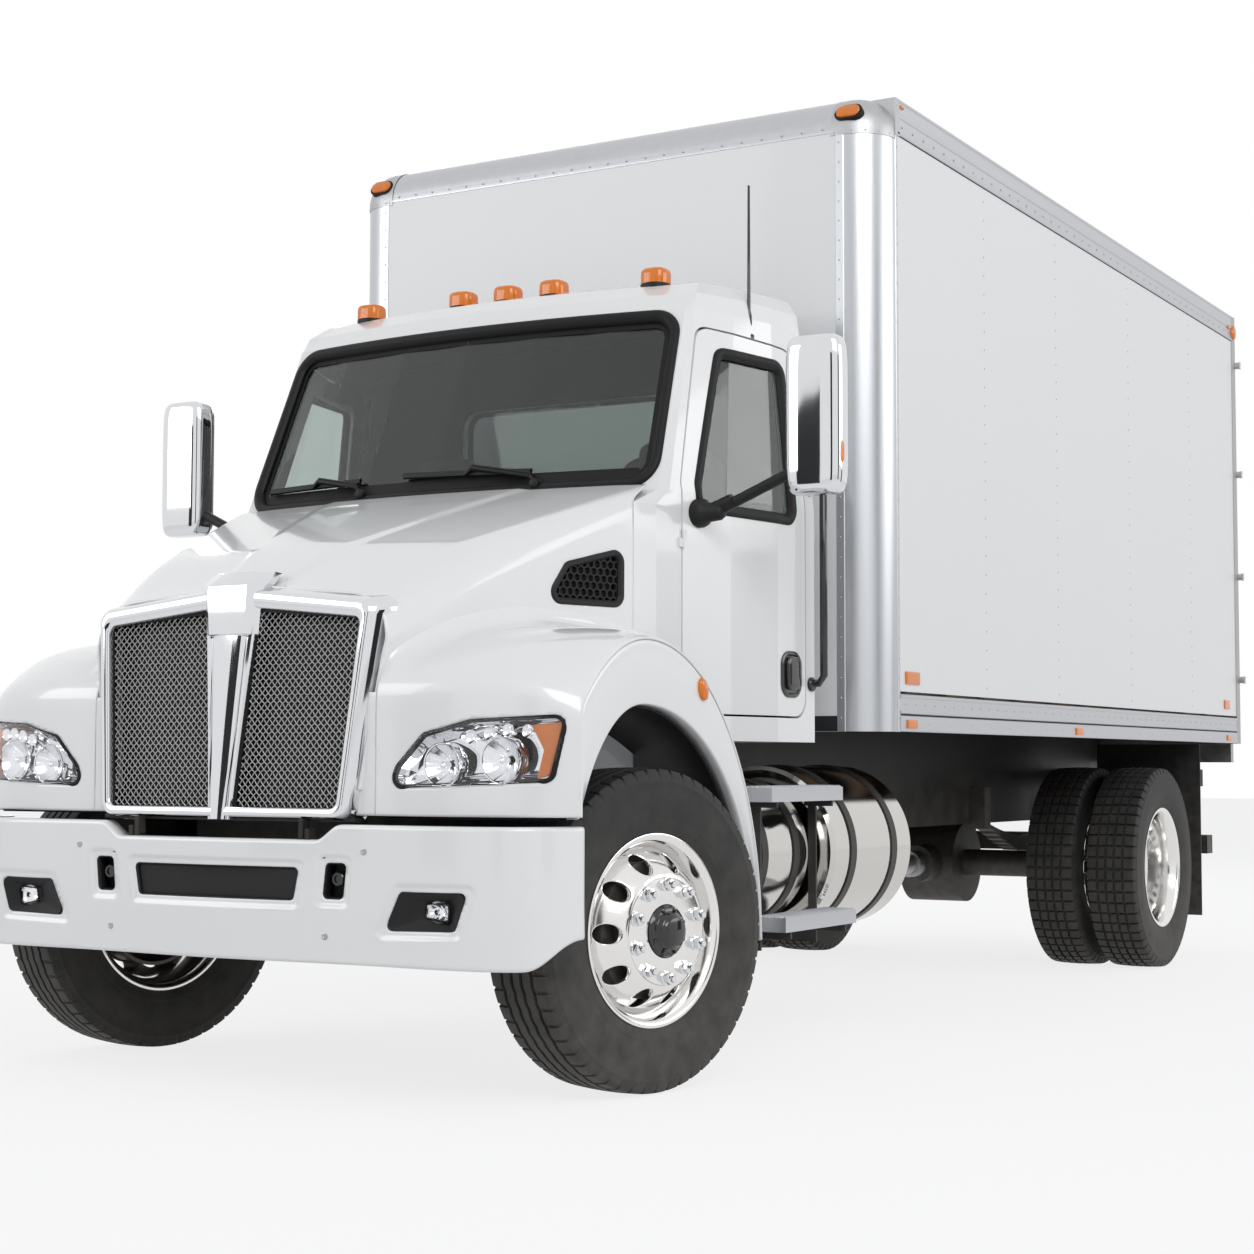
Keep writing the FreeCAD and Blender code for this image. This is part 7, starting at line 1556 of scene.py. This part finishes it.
def wipers():
    """Two blades low on the windshield, each with its arm and pivot."""
    parts = []
    for start, end, pivot in (((-0.784, 2.010), (-0.320, 2.016), (-0.300, 1.975)),
                              ((-0.123, 2.022), (0.411, 2.004), (0.440, 1.968))):
        start, end, pivot = (np.array(point) for point in (start, end, pivot))
        share = np.linspace(0, 1, 24)[:, None]
        line = start + (end - start) * share
        edge = [(0.0, -0.009), (0.0, 0.002), (0.006, 0.005), (0.016, 0.005), (0.020, 0.0),
                (0.018, -0.009)]
        rows = np.stack([np.column_stack([line[:, 0], line[:, 1] + up, np.full(24, 0.006 + out)])
                         for up, out in edge], 1)
        parts.append(outwards(mapped(surface(rows, close_columns=True), on_screen)))
        middle = start + (end - start) * 0.52
        arm = np.array([(*pivot, 0.010), (*(pivot + (-0.02, 0.018)), 0.026),
                        (*(middle + (0.03, 0.016)), 0.026), (*middle, 0.014)])
        parts.append(tube(on_screen(arm), 0.0065, 12))
        arm[:, 1] += 0.010
        arm[0, 1] -= 0.008
        parts.append(tube(on_screen(arm), 0.0045, 10))
        hub = turned([(0, 0.0001), (0, 0.020), (0.020, 0.018), (0.024, 0.012),
                      (0.024, 0.0001)], 20)
        hub = (hub[0][:, [1, 0, 2]] * (1, -1, 1), hub[1])
        at = on_screen(np.array([[*pivot, 0.0]]))[0]
        parts.append(facing(moved(hub, None, at), at + (0, -0.01, 0)))
    piece("wipers", together(*parts), black_plastic, "chassis", smooth=40)


def roof_lamps():
    """Five amber domes on black feet across the roof's front."""
    domes, feet = [], []
    for x, z in ((-0.636, 2.744), (-0.203, 2.748), (0, 2.748), (0.203, 2.748),
                 (0.636, 2.744)):
        at = np.array([x, AXLE + 0.812, z])
        domes.append(facing(round_box(at + (0, 0, 0.004), (0.051, 0.048, 0.040), 0.42, 0.7,
                                      rows=20, columns=40), at))
        feet.append(facing(round_box(at - (0, 0, 0.026), (0.053, 0.051, 0.016), 0.3, 0.8,
                                     rows=12, columns=40), at))
    piece("roof_lamp_lenses", together(*domes), amber_lens, "chassis", smooth=60,
          replaces=["small_lamps"])
    piece("roof_lamp_feet", together(*feet), black_plastic, "chassis")
    outline = AXLE + 0.147, 1.247
    ring = []
    for radius, proud in ((1.0, -0.004), (1.0, 0.004), (0.92, 0.009), (0.6, 0.013),
                          (0.02, 0.014)):
        a = np.linspace(0, 2 * pi, 40, endpoint=False)
        ring.append(np.stack([1.188 + np.full(40, proud),
                              outline[0] + 0.026 * radius * np.cos(a) - 0.008 * np.sin(a),
                              outline[1] + 0.036 * radius * np.sin(a)], -1))
    shape = facing(surface(np.array(ring), close_columns=True), (1.0, *outline))
    piece("fender_lamps", pair(shape), amber_lens, "hood", smooth=60)


def seats():
    """Cushion, backrest and headrest of each seat as rounded pads, and the box under."""
    pads = []
    for x in (-0.52, 0.52):
        low = AXLE + 0.97
        pads.append(facing(round_box((x, low + 0.02, 1.520), (0.245, 0.215, 0.065), 0.45,
                                     0.35), (x, low, 1.52)))
        back = round_box((0, 0, 0), (0.235, 0.058, 0.305), 0.40, 0.40)
        back = moved(back, turn_x(-0.10), (x, AXLE + 1.135, 1.860))
        pads.append(facing(back, (x, AXLE + 1.135, 1.86)))
        head = round_box((x, AXLE + 1.155, 2.140), (0.140, 0.045, 0.078), 0.5, 0.5)
        pads.append(facing(head, (x, AXLE + 1.155, 2.14)))
    cushions = piece("seat_pads", together(*pads), seat_cloth, "chassis",
                     replaces=["seats"], smooth=60)
    plinth = box((0.330, AXLE + 0.78, 1.162), (0.710, AXLE + 1.15, 1.470), 0.02)
    piece("seat_plinths", pair(plinth), black_plastic, "chassis")


def steering():
    """Round rim on three flat spokes and a column, tilted towards the driver."""
    a = np.linspace(0, 2 * pi, 72, endpoint=False)
    b = np.linspace(0, 2 * pi, 14, endpoint=False)
    big, small = crossed(a, b)
    reach = 0.225 + 0.014 * np.cos(small)
    rim = surface(np.stack([reach * np.cos(big), reach * np.sin(big),
                            0.014 * np.sin(small)], -1), True, True)
    rim = outwards(rim)
    spokes = [tube(np.array([(0.03 * math.cos(t), 0.03 * math.sin(t), -0.010),
                             (0.215 * math.cos(t), 0.215 * math.sin(t), 0)]), 0.013, 10)
              for t in (pi * 7 / 6, pi * 11 / 6, pi / 2)]
    hub = round_box((0, 0, -0.004), (0.075, 0.062, 0.020), 0.6, 0.7, rows=14, columns=32)
    column = tube(np.array([(0, 0, -0.01), (0, 0, -0.30)]), 0.024, 16)
    shape = together(rim, *spokes, facing(hub, (0, 0, 0)), column)
    shape = moved(shape, turn_x(-math.radians(28)), (0.52, AXLE + 0.622, 1.872))
    piece("steering_rim", shape, trim_grey, "chassis", replaces=["steering_wheel"], smooth=60)


window_seals()
cab_linings()
mirrors()
handles()
wipers()
roof_lamps()
seats()
steering()


# Van body: rails, posts, header, caps, rivets, lamps and rear doors.
SIDE, LOW, HIGH = 1.219, 1.133, 3.541
POST_REAR, FRAME_FRONT = -1.168, 3.522
WALL_FRONT = -1.3405
ROOF_ROUND = 0.139
TOP_RAIL = HIGH - ROOF_ROUND
POST_SIDE = 1.2225
DOOR_FACE = 3.5915
CORNER = np.array([1.067, -1.186])


def extruded(profile, axis, start, end):
    """Closed profile carried straight along an axis, with flat ends."""
    profile = np.asarray(profile, float)
    count = len(profile)
    points = np.zeros((2, count, 3))
    points[:, :, [i for i in range(3) if i != axis]] = profile
    points[0, :, axis], points[1, :, axis] = start, end
    ends = [np.arange(count)[None, ::-1], np.arange(count)[None] + count]
    return outwards((points.reshape(-1, 3),
                     [sheet_faces(2, count, close_columns=True), *ends]))


def studs(at, out, up, radius):
    """Low domes at places: an eight-sided foot, a smaller ring above it, a top point."""
    at, out, up = (np.asarray(value, float) for value in (at, out, up))
    side = np.cross(up, out)
    a = np.arange(8)[:, None] * pi / 4
    ring = np.cos(a) * side + np.sin(a) * up
    shape = np.concatenate([ring, 0.66 * ring + 0.42 * out, 0.55 * out[None]]) * radius
    points = at[:, None] + shape[None]
    i = np.arange(8)
    after = (i + 1) % 8
    quads = np.stack([i, after, after + 8, i + 8], 1)
    tops = np.stack([i + 8, after + 8, np.full(8, 16)], 1)
    return points.reshape(-1, 3), [repeated(quads, len(at), 17), repeated(tops, len(at), 17)]


def row_of(start, end, pitch):
    """Places from start to end, evenly spaced near a pitch."""
    start, end = np.array(start, float), np.array(end, float)
    count = int(round(np.linalg.norm(end - start) / pitch)) + 1
    return start + (end - start) * np.linspace(0, 1, count)[:, None]


def along_side(flat, foot, out=0.0):
    """Extrusion along the van's side, from an outline of (proud of the side, up)."""
    return extruded(np.array(flat) + (SIDE + out, foot), 1, POST_REAR, FRAME_FRONT)


def rails():
    """Top and bottom side rails: stepped extrusions with a groove between two bands."""
    low = [(-0.020, 0.002), (0.003, 0.002), (0.005, 0.005), (0.005, 0.058), (0.002, 0.062),
           (0.002, 0.067), (0.0065, 0.071), (0.0065, 0.077), (0.003, 0.081), (0.003, 0.126),
           (0.0065, 0.130), (0.0065, 0.137), (0.002, 0.142), (-0.020, 0.142)]
    high = [(-0.020, 0.0), (0.002, 0.0), (0.0055, 0.003), (0.0055, 0.010), (0.002, 0.014),
            (0.002, 0.064), (0.006, 0.068), (0.006, 0.076), (0.003, 0.080), (0.003, 0.124),
            (0.006, 0.130), (0.005, 0.138), (-0.020, 0.138)]
    piece("body_rails", pair(together(along_side(low, LOW), along_side(high, TOP_RAIL))),
          brushed_along, "chassis", replaces=["side_rails"], smooth=20)
    line = along_side([(0.0, 0.062), (0.0035, 0.062), (0.0035, 0.067), (0.0, 0.067)], LOW,
                      -0.0005)
    gap = along_side([(0, 0.142), (0.003, 0.142), (0.003, 0.146), (0, 0.146)], LOW, -0.0005)
    edge = along_side([(0, -0.004), (0.002, -0.004), (0.002, 0), (0, 0)], TOP_RAIL, -0.0005)
    piece("rail_joints", pair(together(line, gap, edge)), trim_grey, "chassis")


def posts():
    """Corner posts: a flat flange, a quarter round and the side flange in plan."""
    a = np.linspace(-pi / 2, 0, 25)[1:-1]
    arc = np.stack([CORNER[0] + 0.1525 * np.cos(a), CORNER[1] + 0.1525 * np.sin(a)], 1)
    plan = np.concatenate([[(1.044, -1.330), (1.044, WALL_FRONT), (1.074, WALL_FRONT),
                            (1.077, -1.3380)], arc[1:], [(1.2195, CORNER[1]), (POST_SIDE, -1.184),
                            (POST_SIDE, POST_REAR), (1.2100, POST_REAR)]])
    inner = CORNER + (plan[::-1] - CORNER) * 0.93
    post = extruded(np.concatenate([plan, inner]), 2, LOW, TOP_RAIL)
    piece("corner_posts", pair(post), brushed, "chassis", replaces=["front_frame"],
          smooth=25)
    a = np.linspace(0, pi / 2, 25)
    radius = 0.1395
    section = np.stack([-1.338 + ROOF_ROUND - radius * np.cos(a),
                        TOP_RAIL + radius * np.sin(a)], 1)
    foot = [(-1.334, HIGH - 0.150), (WALL_FRONT, HIGH - 0.150), (WALL_FRONT, HIGH - 0.141)]
    section = np.concatenate([foot, section[1:], [(-1.199, HIGH - 0.010),
                                                  (-1.199, HIGH - 0.145)]])
    piece("front_header", extruded(section, 0, -1.028, 1.028), brushed_along, "chassis",
          smooth=25)


def corner_caps():
    """Cast corner: quarter rounds in plan drawn in towards the top, carried on along the
    header and along the side rail, with a step at its edges."""
    up = np.linspace(0, pi / 2, 17)[:, None]
    round_plan = np.linspace(0, pi / 2, 25)
    reach = 0.155 - ROOF_ROUND * (1 - np.cos(up))
    turn_x_part = reach * np.sin(round_plan)[None]
    turn_y_part = -reach * np.cos(round_plan)[None]
    rise = TOP_RAIL + 0.1405 * np.sin(up)
    lead = np.stack([np.full((17, 1), -0.043), -reach], -1)
    tail = np.stack([reach, np.full((17, 1), 0.020)], -1)
    plan = np.concatenate([lead, np.stack([turn_x_part, turn_y_part], -1), tail], 1)
    points = np.concatenate([plan + CORNER, np.broadcast_to(
        rise[..., None], (17, plan.shape[1], 1))], -1)
    skirt = points[:1].copy()
    skirt[..., 2] -= 0.022
    inner = skirt.copy()
    inner[..., :2] = CORNER + (inner[..., :2] - CORNER) * 0.97
    top = points[-1:].copy()
    top[..., :2] = (1.050, -1.150)
    grid = np.concatenate([inner, skirt, points, top])
    shape = facing(surface(grid), (1.05, -1.10, 3.40))
    heel = box((1.045, -1.192, HIGH - 0.145), (SIDE + 0.0055, -1.150, HIGH - 0.001), 0.004)
    shape = together(shape, heel)
    piece("corner_caps", pair(shape), cast_silver, "chassis", smooth=35)


def body_rivets():
    """Rows of rivets on the rails, posts, header, caps and panel seams."""
    front_y, side_x = WALL_FRONT, SIDE + 0.0025
    ahead, left, up = (0, -1, 0), (1, 0, 0), (0, 0, 1)
    rail_start, rail_end = POST_REAR + 0.05, FRAME_FRONT - 0.04
    side = [(row_of((side_x + 0.0005, rail_start, z), (side_x + 0.0005, rail_end, z), pitch), r)
            for z, pitch, r in ((LOW + 0.104, 0.095, 0.0048), (LOW + 0.032, 0.215, 0.0062),
                                (HIGH - 0.103, 0.105, 0.0048))]
    for behind in (2.526, 3.400, 4.440, 5.470):
        y = AXLE + behind
        side.append((row_of((SIDE, y, LOW + 0.19), (SIDE, y, HIGH - 0.20), 0.078), 0.0045))
    side.append((row_of((POST_SIDE, -1.176, LOW + 0.05), (POST_SIDE, -1.176, HIGH - 0.19), 0.075),
                 0.0042))
    shapes = [studs(at, left, up, radius) for at, radius in side]
    mirrored_side = [mirror_of(shape) for shape in shapes]
    front = [(row_of((1.058, front_y, LOW + 0.05), (1.058, front_y, HIGH - 0.19), 0.075),
              0.0042)]
    shapes += [studs(at, ahead, up, radius) for at, radius in front]
    mirrored_front = [mirror_of(studs(at, ahead, up, radius)) for at, radius in front]
    header = row_of((-0.99, front_y - 0.0005, HIGH - 0.132), (0.99, front_y - 0.0005,
                                                             HIGH - 0.132), 0.085)
    shapes.append(studs(header, ahead, up, 0.0042))
    cap = np.array([(1.040, -1.3410, HIGH - 0.150), (1.058, -1.3410, HIGH - 0.150)])
    shapes.append(studs(cap, ahead, up, 0.004))
    a = np.radians([15, 35, 55, 75])
    for angle in a:
        out = np.array([math.sin(angle), -math.cos(angle), 0])
        at = np.array([[*CORNER, HIGH - 0.150]]) + out * 0.155
        shapes.append(studs(at, out, up, 0.004))
        mirrored_front.append(mirror_of(studs(at, out, up, 0.004)))
    shapes += mirrored_side + mirrored_front + [mirror_of(studs(cap, ahead, up, 0.004))]
    piece("body_rivets", together(*shapes), galvanised, "chassis", smooth=70)


def framed_lamp(wide, tall, radius, lens_proud=0.008):
    """Rounded lens in a thin black frame, as (lens, frame) in across, up, proud."""
    outline = np.array([(-wide, -tall), (wide, -tall), (wide, tall), (-wide, tall)]) / 2
    rows = [level_ring(rounded(inset_polygon(outline, inset), max(radius - inset, 0.002)),
                       height)
            for inset, height in ((0.004, -0.010), (0.004, lens_proud * 0.6),
                                  (0.006, lens_proud * 0.9), (0.012, lens_proud),
                                  (min(wide, tall) * 0.40, lens_proud * 1.05))]
    lens = surface(np.array(rows), close_columns=True)
    count = len(rows[-1])
    lens = (lens[0], [lens[1], np.arange(count)[None] + len(lens[0]) - count])
    frame_profile = [(-0.003, -0.012), (-0.003, 0.003), (0.000, 0.005), (0.005, 0.005),
                     (0.006, -0.012)]
    rim = moulding(outline, radius + 0.003, frame_profile)
    return lens, rim


def on_plane(shape, at, across, up, inside):
    """Shape in across, up, proud laid on a plane at a place, faces away from inside."""
    across, up = np.array(across, float), np.array(up, float)
    out = np.cross(across, up)
    points = np.array(at) + shape[0][:, :1] * across + shape[0][:, 1:2] * up \
        + shape[0][:, 2:] * out
    return facing((points, shape[1]), np.array(at) - out * inside)


def body_lamps():
    """Amber lamps and reflectors of the header and sides, red lamps at the rear."""
    lenses, frames, red = [], [], []
    lean = math.asin(0.062 / ROOF_ROUND)
    up = (0, math.sin(lean), math.cos(lean))
    lens, rim = framed_lamp(0.104, 0.060, 0.029, 0.014)
    at = (1.092, -1.199 - 0.141 * math.cos(lean), TOP_RAIL + 0.141 * math.sin(lean))
    lenses.append(on_plane(lens, at, (1, 0, 0), up, 0.1))
    long_rim = (rim[0] * (1.04, 1.06, 1), rim[1])
    deep = long_rim[0].copy()
    deep[deep[:, 2] < 0, 2] -= 0.030
    frames.append(on_plane((deep, long_rim[1]), at, (1, 0, 0), up, 0.02))
    for behind, z, wide, tall in ((1.751, 1.337, 0.140, 0.056), (6.124, 1.345, 0.110, 0.056),
                                  (1.737, 1.163, 0.105, 0.042), (3.652, 1.163, 0.105, 0.042),
                                  (6.150, 1.163, 0.090, 0.040), (1.672, 3.514, 0.040, 0.020),
                                  (6.270, 3.470, 0.050, 0.030)):
        lens, rim = framed_lamp(wide, tall, 0.004, 0.006)
        at = (SIDE + (0.004 if z < 1.2 or z > 3.4 else 0.001), AXLE + behind, z)
        lenses.append(on_plane(lens, at, (0, 1, 0), (0, 0, 1), 0.1))
    round_lamp = turned([(-0.006, 0.040), (0.004, 0.040), (0.009, 0.036), (0.013, 0.020),
                         (0.014, 0.0001)], 32)
    at = (SIDE + 0.004, 3.557, 3.452)
    lenses.append(facing(moved(round_lamp, None, at), np.array(at) - (0.01, 0, 0)))
    piece("side_lamps", pair(together(*lenses)), amber_lens, "chassis", smooth=40)
    piece("side_lamp_frames", pair(together(*frames)), seal, "chassis", smooth=40)
    for x in (1.091, 0.971):
        lens = turned([(-0.002, 0.044), (0.004, 0.044), (0.008, 0.040), (0.011, 0.024),
                       (0.012, 0.0001)], 40)
        lens = reordered(lens)
        at = np.array((x, 3.594, 1.081))
        red.append(facing(moved(lens, None, at), at - (0, 0.01, 0)))
    piece("tail_lamp_lenses", pair(together(*red)), red_lens, "chassis", smooth=40)
    strip = box((-1.044, WALL_FRONT, LOW + 0.001), (1.044, -1.3365, 1.191), 0.001)
    piece("front_wall_foot", strip, trim_grey, "chassis")


def rear_doors():
    """Panel with a rubber edge, two lock rods in guides, a handle and strap hinges."""
    panel = box((0.005, 3.555, 1.336), (1.133, DOOR_FACE, 3.400), 0.004)
    outline = np.array([(0.006, 1.337), (1.132, 1.337), (1.132, 3.399), (0.006, 3.399)])
    edge = moulding(outline, 0.006, [(-0.002, -0.004), (-0.002, 0.003), (0.012, 0.003),
                                     (0.014, -0.004)])
    edge = on_plane(edge, (0, DOOR_FACE, 0), (-1, 0, 0), (0, 0, 1), 0.002)
    edge = (edge[0] * (-1, 1, 1), [group[:, ::-1] for group in edge[1]])
    metal = []
    for x in (0.227, 0.703):
        metal.append(tube(np.array([(x, 3.602, 1.336), (x, 3.602, 3.400)]), 0.0085, 16))
        for z in (1.40, 1.75, 2.60, 3.05, 3.35):
            metal.append(box((x - 0.022, 3.590, z - 0.024), (x + 0.022, 3.6115, z + 0.024),
                             0.005))
        metal.append(box((x - 0.012, 3.592, 2.060), (x + 0.260, 3.606, 2.086), 0.004))
        metal.append(box((x + 0.200, 3.590, 2.040), (x + 0.280, 3.610, 2.106), 0.005))
    for share in (0.06, 0.34, 0.62, 0.92):
        z = 1.334 + share * 2.068 + 0.014
        metal.append(box((1.020, DOOR_FACE, z), (1.246, 3.5975, z + 0.036), 0.0015))
        metal.append(tube(np.array([(1.247, 3.600, z - 0.002), (1.247, 3.600, z + 0.038)]),
                          0.0065, 16))
        bolts = np.array([(x, 3.5975, z + 0.018) for x in (1.040, 1.080, 1.115)])
        metal.append(studs(bolts, (0, 1, 0), (0, 0, 1), 0.007))
    shape = together(*metal)
    for label, turn in (("left", lambda part: part), ("right", mirror_of)):
        body = f"cargo_door_{label}"
        piece(f"rear_door_panel_{label}", turn(panel), panel_white, body,
              replaces=[f"cargo_door_{label}"])
        piece(f"rear_door_seal_{label}", turn(edge), seal, body)
        piece(f"rear_door_metal_{label}", turn(shape), galvanised, body)


def treads():
    """Raised points in staggered rows on top of each step tread."""
    shapes = []
    for x, top in ((1.073, 0.932), (1.123, 0.500)):
        row, column = crossed(np.arange(6), np.arange(30))
        at = np.stack([x + 0.010 + 0.0195 * row,
                       AXLE + 0.642 + 0.0182 * column + 0.009 * (row % 2),
                       np.full(row.shape, top - 0.0005)], -1).reshape(-1, 3)
        points, faces = studs(at, (0, 0, 1), (0, 1, 0), 0.008)
        points[16::17, 2] += 0.003
        shapes.append((points, faces))
    piece("step_points", pair(together(*shapes)), brushed_along, "chassis", smooth=20)


rails()
treads()
posts()
corner_caps()
body_rivets()
body_lamps()
rear_doors()


# Studio.
def seen_rays(nodes, links):
    """1 for rays of the camera, of gloss and through glass, 0 for the rest."""
    rays = nodes.new("ShaderNodeLightPath")
    out = rays.outputs["Is Camera Ray"]
    for kind in ("Is Glossy Ray", "Is Transmission Ray"):
        most = nodes.new("ShaderNodeMath")
        most.operation = "MAXIMUM"
        links.new(out, most.inputs[0])
        links.new(rays.outputs[kind], most.inputs[1])
        out = most.outputs[0]
    return out


def backdrop(name, color, share):
    """Floor finish: a share of plain white for the rays that are seen, the rest a matt
    surface that the lamps light."""
    m = bpy.data.materials.new(name)
    m.use_nodes = True
    nodes, links = m.node_tree.nodes, m.node_tree.links
    matt = nodes["Principled BSDF"]
    matt.inputs["Base Color"].default_value = (*color, 1)
    matt.inputs["Roughness"].default_value = 0.9
    white = nodes.new("ShaderNodeEmission")
    part = nodes.new("ShaderNodeMath")
    part.operation = "MULTIPLY"
    part.inputs[1].default_value = share
    links.new(seen_rays(nodes, links), part.inputs[0])
    mix = nodes.new("ShaderNodeMixShader")
    links.new(part.outputs[0], mix.inputs["Fac"])
    links.new(matt.outputs["BSDF"], mix.inputs[1])
    links.new(white.outputs["Emission"], mix.inputs[2])
    links.new(mix.outputs["Shader"], nodes["Material Output"].inputs["Surface"])
    return m


def studio_floor():
    """Wide flat floor that catches the shadow."""
    mesh = bpy.data.meshes.new("studio_floor")
    half = 60.0
    mesh.from_pydata([(-half, -half, 0), (half, -half, 0), (half, half, 0), (-half, half, 0)],
                     [], [(0, 1, 2, 3)])
    mesh.materials.append(backdrop("studio_floor", (0.80, 0.80, 0.80), 0.80))
    floor = bpy.data.objects.new("studio_floor", mesh)
    bpy.context.scene.collection.objects.link(floor)


def sky():
    """White for the camera, for gloss and through glass; a soft grey for the light."""
    world = bpy.data.worlds.new("studio")
    bpy.context.scene.world = world
    world.use_nodes = True
    nodes, links = world.node_tree.nodes, world.node_tree.links
    light = nodes["Background"]
    light.inputs["Color"].default_value = (0.94, 0.97, 1.0, 1)
    light.inputs["Strength"].default_value = 0.44
    white = nodes.new("ShaderNodeBackground")
    white.inputs["Color"].default_value = (1, 1, 1, 1)
    white.inputs["Strength"].default_value = 1.0
    mix = nodes.new("ShaderNodeMixShader")
    links.new(seen_rays(nodes, links), mix.inputs["Fac"])
    links.new(light.outputs["Background"], mix.inputs[1])
    links.new(white.outputs["Background"], mix.inputs[2])
    links.new(mix.outputs["Shader"], nodes["World Output"].inputs["Surface"])


def lamp(name, place, aim, size, watts):
    """Rectangular area lamp at a place, aimed at a point."""
    light = bpy.data.lights.new(name, "AREA")
    light.shape = "RECTANGLE"
    light.size, light.size_y = size
    light.energy = watts
    obj = bpy.data.objects.new(name, light)
    obj.location = place
    way = np.array(aim, float) - np.array(place, float)
    yaw = math.atan2(way[0], -way[1])
    pitch = math.atan2(math.hypot(way[0], way[1]), -way[2])
    obj.rotation_euler = (pitch, 0, yaw + pi)
    obj.visible_camera = False
    bpy.context.scene.collection.objects.link(obj)


def flag(name, low, high, share):
    """Grey card that only gloss sees, for the dark edges of bright metal."""
    (x0, y0, z0), (x1, y1, z1) = low, high
    mesh = bpy.data.meshes.new(name)
    mesh.from_pydata([(x0, y0, z0), (x1, y1, z0), (x1, y1, z1), (x0, y0, z1)], [],
                     [(0, 1, 2, 3)])
    m = bpy.data.materials.new(name)
    m.use_nodes = True
    shader = m.node_tree.nodes["Principled BSDF"]
    shader.inputs["Base Color"].default_value = (share, share, share, 1)
    shader.inputs["Roughness"].default_value = 1.0
    mesh.materials.append(m)
    card = bpy.data.objects.new(name, mesh)
    bpy.context.scene.collection.objects.link(card)
    card.visible_camera = card.visible_shadow = False
    card.visible_diffuse = card.visible_transmission = False


def viewpoint():
    """Camera 8.8 m ahead of the truck's middle, 4.5 m to its left and 1 m up, turned and
    tipped to the photograph's view."""
    data = bpy.data.cameras.new("camera")
    data.sensor_width = 36
    data.lens = 62.98
    data.clip_end = 500
    yaw, pitch, roll = (math.radians(angle) for angle in (30.501, 3.5936, 0.1272))
    ahead = np.array([-math.sin(yaw) * math.cos(pitch), math.cos(yaw) * math.cos(pitch),
                      math.sin(pitch)])
    level = np.array([math.cos(yaw), math.sin(yaw), 0])
    above = np.cross(level, ahead)
    right = level * math.cos(roll) + above * math.sin(roll)
    up = np.cross(right, ahead)
    camera = bpy.data.objects.new("camera", data)
    turn = np.column_stack([right, up, -ahead])
    place = np.eye(4)
    place[:3, :3] = turn
    place[:3, 3] = (4.5038, -8.7530, 1.0080)
    camera.matrix_world = Matrix(place.tolist())
    bpy.context.scene.collection.objects.link(camera)
    bpy.context.scene.camera = camera


studio_floor()
sky()
lamp("key", (8.0, -9.0, 8.0), (0, 0, 1.5), (7, 5), 540)
lamp("front_fill", (-7.0, -10.0, 5.0), (0, -2.5, 1.3), (6, 4), 220)
lamp("side_fill", (11.0, 4.0, 5.0), (1.0, 1.5, 1.5), (8, 4), 265)
lamp("rear_fill", (-6.0, 9.0, 7.0), (0, 2, 1.5), (7, 4), 310)
flag("card_left", (15.0, -6.0, 0.0), (15.0, -2.5, 6.0), 0.03)
flag("card_front", (3.0, -19.0, 0.0), (6.0, -19.0, 7.0), 0.03)
flag("card_front_low", (-9.0, -17.0, 0.0), (-4.5, -17.0, 5.0), 0.05)
flag("card_rear", (14.0, 8.0, 0.0), (14.0, 13.0, 5.0), 0.05)
viewpoint()
bpy.context.scene.view_settings.view_transform = "Standard"
